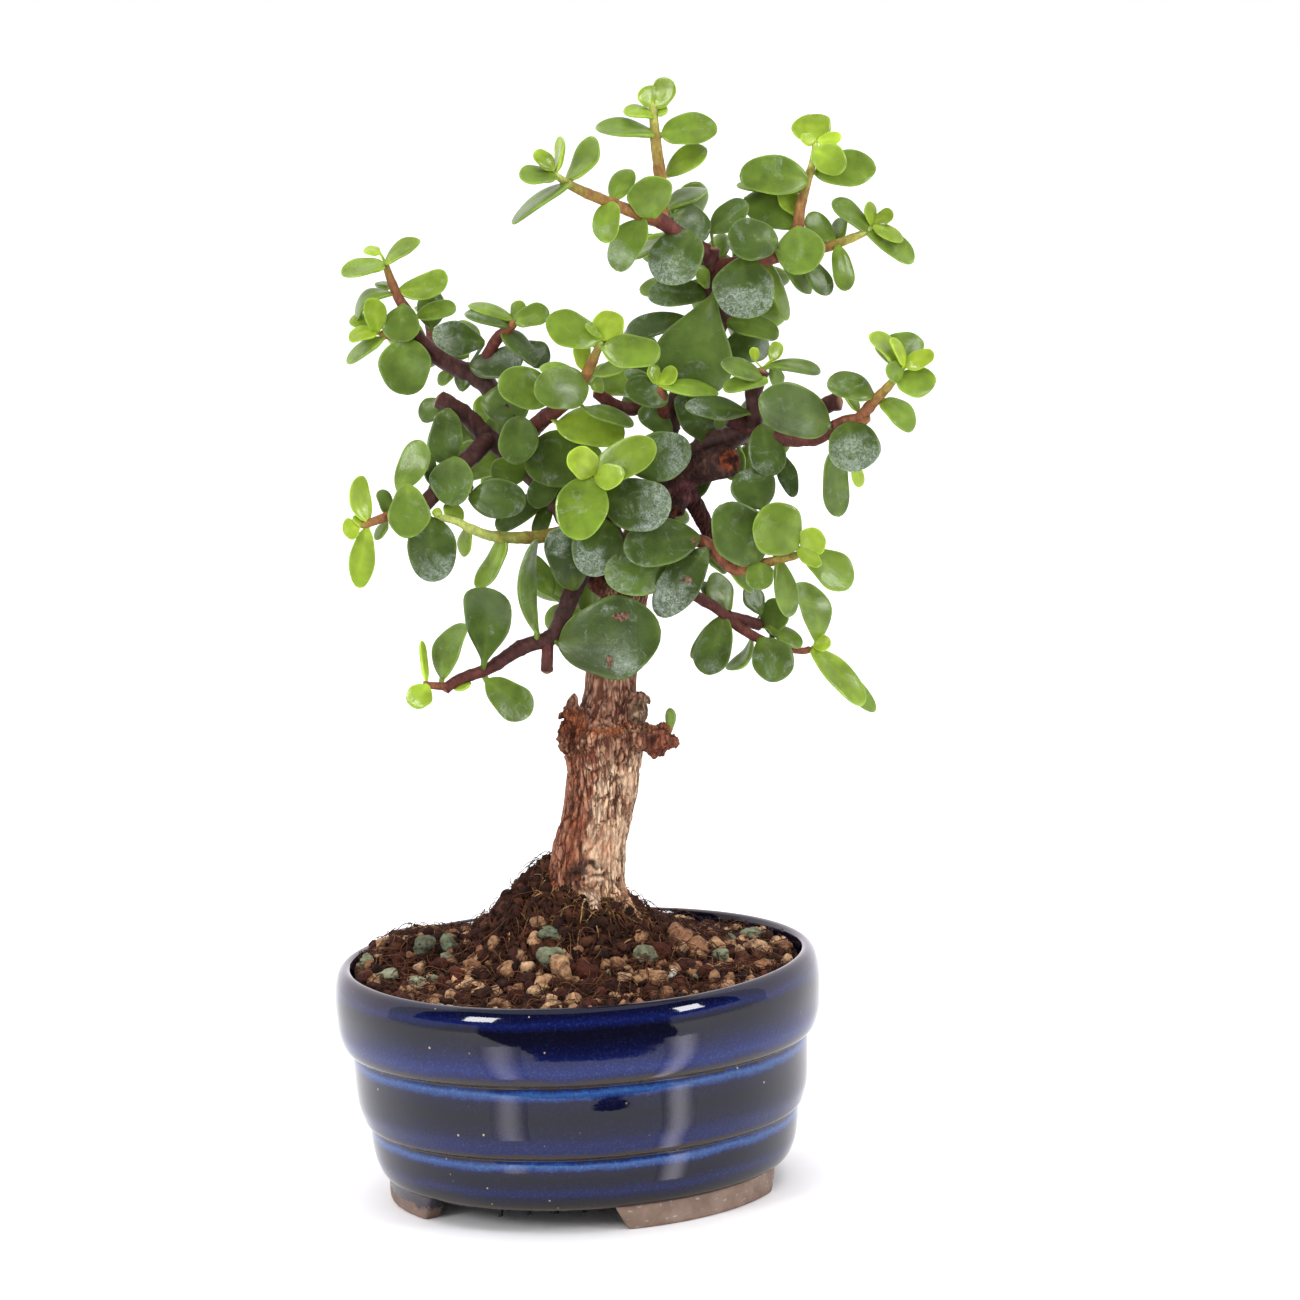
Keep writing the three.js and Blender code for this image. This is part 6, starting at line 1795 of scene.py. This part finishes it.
    [12.5, 178, 30, 174, 14, -3, 10, 0.8, 2],
    [13.5, 172, 8.3, 157.8, 13, -4, 8, 0.8, 2],
    [19, 186, 35.8, 189.5, 12.5, 2, 10, 0.5, 2],
  ]],
  ["right_mid", "trunk", -0.15, [
    [[22, 163, -3, 2], [30, 165, -10, 1.8], [38, 165, -12, 1.6], [45, 158, -13, 1.5],
      [52, 158.8, -13, 1.3], [60, 160.3, -14, 1], [62.5, 161, -14, 0.8]],
  ], [
    [36.8, 166.6, 17.5, 163.5, 12.8, -4.5, 18, 0.8, 2],
    [30, 160, 12.3, 157.6, 12.5, -7, 10, 0.8, 1.7],
    [38.5, 163.5, 25.2, 146.8, 10.4, -2, 12, 0.8, 2.2],
    [39, 161, 43.5, 157.5, 5, 3, 50, 0, 1],
    [61.5, 162.5, 52, 172, 13.8, -4, 8, 0.6, 0.65],
    [51, 159, 42.5, 174.5, 14, -2, 8, 0.6, 1.8],
    [52, 159, 51.2, 152.2, 7.5, -4, 8, 0.4, 1.3],
    [63, 161.3, 67.8, 166.3, 7.6, -2, 8, 0.3, 0.35],
    [61.8, 162.3, 67, 157.3, 4.5, -4, 25, 0.3, 0.35],
    [63.5, 160.8, 74.8, 152, 9.8, 0, 20, 0.6, 0.9],
    [56.5, 159.5, 59, 144.8, 7.5, 1, 40, 0.5, 0.9],
    [43, 160, 50, 152, 5.5, 3, 45, 0.5, 0.8],
    [53, 173, 49, 183, 11.5, 4, 10, 0.3, 2],
  ]],
  ["lower_left", "trunk", -0.2, [
    [[13, 159, -1, 2.6], [9, 161, -3, 2.5], [5.2, 156.5, -6, 2.4], [1.6, 149, -8, 2.2],
      [-2, 142.8, -8, 2.1], [-10, 140.3, -8, 1.9], [-18, 135.6, -8, 1.6], [-26, 133, -8, 1.4],
      [-30.3, 130.4, -8, 1.3]],
    [[-3, 141.5, -8, 1.6], [-3.7, 133.3, -8, 1.5]],
    [[-29, 131.3, -8, 1.1], [-34, 132, -9, 0.9], [-35, 133, -9, 0.7]],
  ], [
    [4.6, 154.6, 0.6, 170.6, 10.8, -4, 12, 0.5, 2.8],
    [-1.5, 153.5, -6.8, 164, 7, 4, 25, 0.5, 1.3],
    [-0.3, 140.8, 26, 142.9, 20.4, -8, 5, 1, 2.3],
    [-5.5, 144, -4.6, 168, 8.5, -3, -60, -3, 1.7],
    [-19.6, 136.6, -18, 156.4, 13.4, -3, 15, -1.5, 2.1],
    [-30.4, 133.6, -23.6, 147.3, 9, 2, 42, 2, 1.3],
    [-19, 132.4, -8.4, 122.8, 9.8, -1, 18, 0.5, 1.3],
    [-23, 132, -27.5, 130.5, 3, -1, 50, 0, 0.5],
    [-34.3, 133, -35, 143.5, 3.2, 0, 60, 0, 0.1],
    [-34, 132, -38.5, 126.5, 7, -2, 20, 0.5, 0.2],
  ]],
  ["lower_right", "trunk", 0.35, [
    [[20, 160, 0, 1.9], [30, 157, -4, 1.6], [33, 153, -5, 1.5], [40.4, 147.9, -6, 1.4],
      [46.5, 142.3, -7, 1.3], [53.9, 138.1, -8, 1.1], [61.3, 136, -8, 0.9], [64, 136.6, -8, 0.8]],
    [[43, 146, -6, 1.4], [51.5, 143, -3, 1.6]],
  ], [
    [42.6, 146.2, 40, 157.3, 7.5, 2, 28, -0.8, 1.2],
    [42, 146.5, 37, 155, 5, 4, 40, 0, 1.6],
    [42.3, 146, 36.4, 131.2, 10, -1, 18, 0.6, 1.7],
    [39, 144, 33.2, 135.5, 4, 3, 50, 0, 1],
    [48.8, 139.5, 42, 132.2, 6, -1, 60, -2, 1],
    [51, 139.6, 56.4, 128.8, 11, -2, 12, 0.6, 1.5],
    [54, 140.5, 55.5, 150, 8, 2, 25, 0, 1.5],
    [53.5, 142.5, 61.5, 137.2, 6, -2, 45, 0.5, 1],
    [51.5, 146, 48.3, 153.8, 6, 1, 30, 0, 1.9],
    [65.6, 138, 61, 153.6, 9.4, 1, 35, 3, 0.9],
    [64.5, 137, 69, 138, 4.4, -2, 20, 0, 0.1],
    [64, 136.3, 76.6, 121.2, 8.6, -2, 40, 0.8, 0.6],
    [68, 132.5, 79.5, 119.5, 6, 3, 30, 0.5, 1.2],
  ]],
]

# %% [markdown]
# ## Behind the crown
#
# The shoots at the back only fill the crown, so their leaves grow by rule, as this plant's do:
# opposite pairs along a stem, each pair a quarter turn from the one before.

# %% The shoots at the back
BACK_SHOOTS = [  # name, parent, stem and seed
  ["back_trunk", "trunk", [[18, 157, 2, 2], [21, 165, 16, 1.6], [26, 176, 30, 0.9]], 3],
  ["back_low", "trunk", [[13.5, 140, 3, 2], [8, 146, 16, 1.6], [4, 155, 28, 0.9]], 5],
  ["back_leader", "leader", [[31, 198, 4, 2], [25, 206, 16, 1.6], [20, 217, 27, 0.9]], 7],
  ["back_crown", "leader", [[43.5, 219, 5, 2], [48, 224, 17, 1.6], [52, 233, 28, 0.9]], 11],
  ["back_left", "left_limb", [[-4, 184, 6, 2], [-12, 188, 20, 1.6], [-18, 196, 32, 0.9]], 13],
  ["back_upper_left", "upper_left", [[-27, 216.5, 6, 1.6], [-28, 219, 17, 1.5],
    [-29, 227, 27, 0.9]], 17],
  ["back_right", "right_limb", [[46, 192, 2, 2], [50, 191, 16, 1.6], [57, 194, 30, 0.9]], 19],
  ["back_top", "leader", [[43, 231, 3, 1.8], [38, 238, 14, 1.5], [33, 248, 24, 0.9]], 23],
]
PAIRS = {"first": 9, "pitch": 9, "length": 10.5, "spread": 4, "slim": 0.78}
BETWEEN = 0.8  # a smaller pair stands half a pitch after each, this much as long
BACK_AGE, BACK_AGE_BETWEEN, BACK_ARCH, BACK_STEP = 1.0, 1.3, 0.5, 3.8

# %% [markdown]
# ## Wear on single leaves
#
# Old leaves carry scars and a pale bloom that rubs off, and young ones are glossy. Painting
# each leaf would take a picture, so single leaves are named by the place of their base, and
# soft patches of scar or bloom are given as ellipses on the drawing.

# %% Wear
CUT_RING, CUT_PITH = tone(164, 122, 88), tone(64, 30, 24)
WARM = {  # how much younger than its girth a shoot's bark looks, mm
    "crown_left": 0.45, "crown_top": 0.6, "crown_right": 0.4, "right_branch": 0.3,
    "pale_left": 0.9, "lower_right": -0.25, "right_mid": 0.3, "centre_shoot": 0.35,
    "lower_left": -0.2, "upper_left": 0.1,
}
DUSTY = [  # bases of leaves with a thick pale bloom
    (75.5, 193.8), (51, 237), (38.5, 243.8), (19, 186), (12.5, 178), (13.5, 172),
    (30, 160), (38.5, 163.5), (-15, 218.5), (-31.3, 175),
]
BARE = [(-0.3, 140.8), (71, 193.2), (-19.6, 136.6)]  # dark leaves with hardly any bloom
GLOSSY = [(10, 183), (-41.8, 222.8), (2.3, 197.3), (-19.6, 136.6)]  # wet-looking leaves
POINTED = [(43.8, 228.5), (-19.6, 136.6)]  # narrow at the foot, one side fuller
BLOOM, GLOSS, POINT = 0, 1, 2  # columns of a leaf's looks
LOOKS = [(BLOOM, DUSTY, 0.6), (BLOOM, BARE, -0.6), (GLOSS, GLOSSY, 0.7), (POINT, POINTED, 0.6)]
SCAR = 2  # the channel of the wax colour that holds scars
SPOTS = [  # base of the leaf, kind, then where on it: across, up, half width, half height, mm
    (-0.3, 140.8, "scar", 13.4, 147.9, 2.6, 0.8), (-0.3, 140.8, "scar", 16.8, 146.9, 2.0, 0.9),
    (-0.3, 140.8, "scar", 12.0, 135.4, 1.2, 2.4), (-0.3, 140.8, "bloom", 16, 134.6, 4.2, 2.4),
    (-0.3, 140.8, "bloom", 12.8, 149.2, 3.0, 1.2), (38.5, 163.5, "scar", 33.0, 155.6, 1.8, 1.2),
    (38.5, 163.5, "bloom", 28.0, 149.0, 3.0, 3.5), (36.8, 166.6, "scar", 35.2, 165.6, 1.0, 0.8),
    (51, 237, "bloom", 51.6, 225.5, 4.5, 2.8), (38.5, 243.8, "bloom", 31.2, 234, 3.8, 2.4),
    (75.5, 193.8, "bloom", 76.6, 187, 3.6, 3.4), (13.5, 172, "bloom", 9.2, 161.5, 3.0, 2.4),
]

# %% Growing a shoot
STEM_SIDES, STEM_STEP = 14, 0.7
NODE_PITCH, NODE_SWELL = 7.5, 0.09  # mm between swollen nodes, and how much they swell
STUB_RADIUS = 1.05  # a stem that ends thicker than this was cut


def grow_stems(stems, seed, warm=0.0):
    """Tubes with swollen nodes; returns points, faces and tints."""
    points, quads, triangles, tints, start = [], [], [], [], 0
    for number, stem in enumerate(stems):
        path = stations(stem, STEM_STEP)
        wave = np.sin(2 * np.pi * np.arange(len(path)) * STEM_STEP / NODE_PITCH + seed)
        path[:, 3] *= 1 + NODE_SWELL * np.maximum(0, wave) ** 6
        stub = path[-1, 3] >= STUB_RADIUS
        corners, four, three, _ = tube(path, STEM_SIDES, ends=(0.0, 0.12 if stub else 0.5))
        girth = np.append(np.repeat(path[:, 3], STEM_SIDES), path[[0, -1], 3])
        centre = place(*path[:, :3].T)
        middle = np.vstack([np.repeat(centre, STEM_SIDES, axis=0), centre[[0, -1]]])
        wave = lattice_noise(corners, 1.6, seed + number, 3) * smoothstep(0.8, 2.0, girth)
        corners = middle + (corners - middle) * (1 + 0.1 * wave[:, None])
        points.append(corners)
        quads.append(four + start)
        triangles.append(three + start)
        tint = stem_tint(corners, girth, seed + 40, warm)
        if stub:  # a cut: pale ring of wood round a brown pith
            tint[-2 - STEM_SIDES:-2] = CUT_RING
            tint[-1] = CUT_PITH
        tints.append(tint)
        start += len(corners)
    return np.vstack(points), np.vstack(quads), np.vstack(triangles), np.vstack(tints)


def on_sheet(points):
    """The inverse of place(): across and up of the sight line through each point."""
    part = EYE[1] / (EYE[1] - points[..., 1])
    return EYE[[0, 2]] + (points[..., [0, 2]] - EYE[[0, 2]]) * part[..., None]


def shoot_object(name, stems, leaves, seed, nodes, looks=None, warm=0.0, spots=()):
    """Joins stems and leaves into one mesh with two materials. leaves: foot, base, tip, width,
    face, arch and age as arrays."""
    stem_points, stem_quads, stem_triangles, stem_tints = grow_stems(stems, seed, warm)
    foot, base, tip, width, face, arch, age = leaves
    count = len(base)
    random = np.random.default_rng(seed).random((count, 8))
    along = tip - base
    side = np.cross(unit(along), face)
    looks = np.zeros((count, 3)) if looks is None else looks
    shape = (along, side, face, width, arch, age, random, looks[:, POINT])
    grid, marks = leaf_grid(foot, base, *shape)
    tint = leaf_tint(age, random, marks)
    ends = np.stack([grid[:, 0].mean(axis=1), grid[:, -1].mean(axis=1)], axis=1)
    points = np.concatenate([grid.reshape(count, -1, 3), ends], axis=1)
    tints = [tint.reshape(count, -1, 3), tint[:, 0, :1], tint[:, -1, :1]]
    tints = np.concatenate(tints, axis=1)
    bloom = np.clip((age - 1.1) * 0.45 + 0.5 * (random[:, 5] - 0.5) + looks[:, BLOOM], 0, 1.2)
    gloss = np.clip(0.5 - 0.3 * age + looks[:, GLOSS], 0, 1)
    wax = np.repeat(np.stack([bloom, gloss, 0 * bloom], -1)[:, None], points.shape[1], axis=1)
    wax[:, :-2, BLOOM] *= 0.2 + smoothstep(0.3, 0.95, marks["s"].reshape(count, -1))
    for row, kind, across, up, wide, high in spots:
        gap = (on_sheet(points[row]) - [across, up]) / [wide, high]
        channel, strength = (SCAR, 1.0) if kind == "scar" else (BLOOM, 1.5)
        wax[row, :, channel] += strength * np.exp(-np.sum(gap**2, axis=1))
    quads, triangles = leaf_mesh(len(base))
    start = len(stem_points)
    piece = make_object(
        name,
        np.vstack([stem_points, points.reshape(-1, 3)]),
        np.vstack([stem_quads, quads + start]),
        np.vstack([stem_triangles, triangles + start]),
        colours={
            "tint": np.clip(np.vstack([stem_tints, tints.reshape(-1, 3)]), 0, 1),
            "wax": np.vstack([np.zeros((start, 3)), wax.reshape(-1, 3)]),
        },
    )
    parts = (stem_quads, quads, stem_triangles, triangles)
    dress(piece, twig, leaf)
    of_leaf = np.repeat([0, 1, 0, 1], [len(part) for part in parts])
    piece.data.polygons.foreach_set("material_index", of_leaf)
    ride(piece, "shoot", *nodes)
    return piece


# %% Skin of the leaves and twigs
def leaf_material():
    """Fleshy green: the leaf's own tint, fine dots, a mottled whitish bloom on old leaves, and
    light that passes through a little. The broader second mottle is painted light and shade."""
    made = Maker("fleshy_leaf")
    spot = made.place()
    wax = made.add("SeparateColor", {"Color": made.painted("wax")}).outputs
    bloom, gloss, scarred = wax["Red"], wax["Green"], wax["Blue"]
    base = made.group(
        mottle, Color=made.painted(), Vector=spot, Scale=260.0, Detail=5.0, Roughness=0.55,
        Low=0.3, High=0.7, Dark=0.8, Middle=1.0, Light=1.14,
    )
    # Painted light and shade: this broader mottle lays lighter and darker patches over each leaf
    # that stand in for the light across the crown.
    base = made.group(
        mottle, Color=base, Vector=spot, Scale=90.0, Detail=3.0, Roughness=0.6,
        Low=0.36, High=0.66, Dark=0.76, Middle=0.98, Light=1.2,
    )
    dots = made.ramp(made.cells(spot, 2600.0), [(0.1, 1.0), (0.35, 0.0)])
    base = made.mix(made.times(dots, 0.14), base, srgb(130, 150, 80))
    patch = made.noise(spot, 190.0, 5.0, 0.62, 1.2)
    patch = made.line(bloom, 0.26, patch)
    cover = made.ramp(patch, [(0.585, 0.0), (0.69, 0.42), (0.85, 1.0)])
    wisps = made.noise(spot, 760.0, 9.0, 0.8, 1.6)
    wisps = made.ramp(wisps, [(0.4, 0.02), (0.5, 0.35), (0.58, 0.8), (0.68, 1.0)])
    cover = made.times(made.times(cover, wisps), 0.9)
    base = made.mix(cover, base, srgb(160, 172, 162))
    torn = made.line(made.noise(spot, 900.0, 6.0, 0.75), 1.1, scarred)
    scar = made.ramp(made.times(torn, 0.5), [(0.5, 0.0), (0.54, 1.0)])
    dry = [(0.4, srgb(66, 42, 30)), (0.66, srgb(140, 104, 82))]
    base = made.mix(scar, base, made.ramp(made.noise(spot, 1500.0, 4.0), dry))
    rough = made.line(made.math("MAXIMUM", cover, scar), 0.35, 0.33)
    rough = made.math("SUBTRACT", rough, made.times(gloss, 0.2))
    normal = made.bump(made.noise(spot, 700.0, 4.0), 0.00014, 0.6)
    normal = made.bump(made.math("SUBTRACT", 1.0, scar), 0.0002, 0.8, normal)
    return made.finish(
        Base_Color=base, Roughness=rough, Normal=normal, Subsurface_Weight=0.35,
        Subsurface_Radius=(0.35, 0.9, 0.12), Subsurface_Scale=0.0012, Specular_IOR_Level=0.29,
    )


leaf = leaf_material()
twig = bark_material("young_bark", 1300.0, 0.0002, 0.55)
print("finishes:", leaf.name, "and", twig.name)

# %% Growing the shoots
lays = {"trunk": lambda across, up: 0.0 * across}  # how deep each shoot's own sheet lies
SHORT = 2  # a tip depth below this many mm leaves the base in its stem's depth


def rows_at(rows, place):
    """Which leaves have their base at this place on the drawing."""
    return np.hypot(rows[:, 0] - place[0], rows[:, 1] - place[1]) < 0.1


def drawn_shoot(name, parent, lean, drawn, leaves, seed):
    """Lays the drawn stems and leaves in depth: start + lean * reach from the shoot's start."""
    x, z, *_ = drawn[0][0]
    start = float(lays[parent](x, z))
    lays[name] = lambda across, up: start + lean * np.hypot(across - x, up - z)
    stems = [np.array(stem, float) for stem in drawn]
    for stem in stems:
        stem[:, 2] += lays[name](stem[:, 0], stem[:, 1])
    rows = np.array(leaves, float)
    steps = np.vstack([stations(stem, 2.0) for stem in stems])
    gap = np.hypot(rows[:, None, 0] - steps[None, :, 0], rows[:, None, 1] - steps[None, :, 1])
    feet = steps[np.argmin(gap, axis=1)]
    foot = place(*feet[:, :3].T)
    on_stem = np.clip(rows[:, 5], -1, 1) * (feet[:, 3] + 0.3) * (np.abs(rows[:, 5]) >= SHORT)
    base = place(rows[:, 0], rows[:, 1], feet[:, 2] + on_stem)
    tip = place(rows[:, 2], rows[:, 3], feet[:, 2] + on_stem + rows[:, 5])
    face = leaf_faces(base, tip, rows[:, 6])
    looks = np.zeros((len(rows), 3))
    for column, places, value in LOOKS:
        for spot in places:
            looks[:, column] += value * rows_at(rows, spot)
    spots = []
    for across, up, *what in SPOTS:
        spots += [(row, *what) for row in np.flatnonzero(rows_at(rows, (across, up)))]
    parts = (foot, base, tip, rows[:, 4], face, rows[:, 7], rows[:, 8])
    warm = WARM.get(name, 0.0)
    return shoot_object(name + "_grown", stems, parts, seed, [name], looks, warm, spots)


for number, row in enumerate(SHOOTS):
    drawn_shoot(*row, seed=100 + number)
print(len(SHOOTS), "shoots")


def seeded(seed):
    """A small generator of numbers from 0 to 1, so that the pairs fall where the plain model
    has them."""
    state = seed
    while True:
        state = (state * 1664525 + 1013904223) % 2**32
        yield state / 2**32


def leaf_towards(foot, aim, along, radius, length, age):
    """A leaf that leaves the stem in the direction aim, its face towards the shoot's tip."""
    aim = unit(aim)
    face = unit(along - aim * (along @ aim))
    base = foot + aim * (radius + 0.3)
    width = PAIRS["slim"] * length
    return foot, base, base + aim * length, width, face, BACK_ARCH, age


def paired_shoot(name, parent, drawn, seed):
    """A stem into the depth with opposite pairs of leaves: each pair, and the smaller one half
    a pitch after it, stands square to the one before."""
    stem = np.array(drawn, float)
    stem[:, 2] += float(lays[parent](*stem[0, :2]))
    path = stations(stem, BACK_STEP)
    centre = place(*path[:, :3].T)
    random, leaves, next_pair, quarter = seeded(seed), [], PAIRS["first"], 0
    for k in range(1, len(path)):
        gone, ends = np.linalg.norm(centre[k] - centre[0]), k == len(path) - 1
        if gone < next_pair and not ends:
            continue
        along = unit(centre[k] - centre[k - 1])
        level = unit(np.cross([0, 0, 1.0], along))
        turn = quarter * np.pi / 2 + 0.5 * next(random)
        out = level * np.cos(turn) + np.cross(along, level) * np.sin(turn)
        for way in (1, -1):
            aim = way * out + along * (1.2 if ends else 0.45 + 0.3 * next(random))
            length = (0.6 if ends else 1) * (PAIRS["length"] + PAIRS["spread"] * next(random))
            leaves.append(leaf_towards(centre[k], aim, along, path[k, 3], length, BACK_AGE))
            if ends:
                continue
            aim, later = np.cross(along, way * out) + 0.5 * along, centre[k + 1]
            small = (path[k, 3], BETWEEN * length, BACK_AGE_BETWEEN)
            leaves.append(leaf_towards(later, aim, along, *small))
        next_pair, quarter = gone + PAIRS["pitch"], quarter + 1
    parts = [np.array(column, float) for column in zip(*leaves)]
    return shoot_object(name + "_grown", [stem], parts, seed, [name])


for row in BACK_SHOOTS:
    paired_shoot(*row)
print(len(BACK_SHOOTS), "shoots at the back")

# %% Finish
low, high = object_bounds()
print("size:", [round(1000 * (b - a), 1) for a, b in zip(low, high)], "mm")
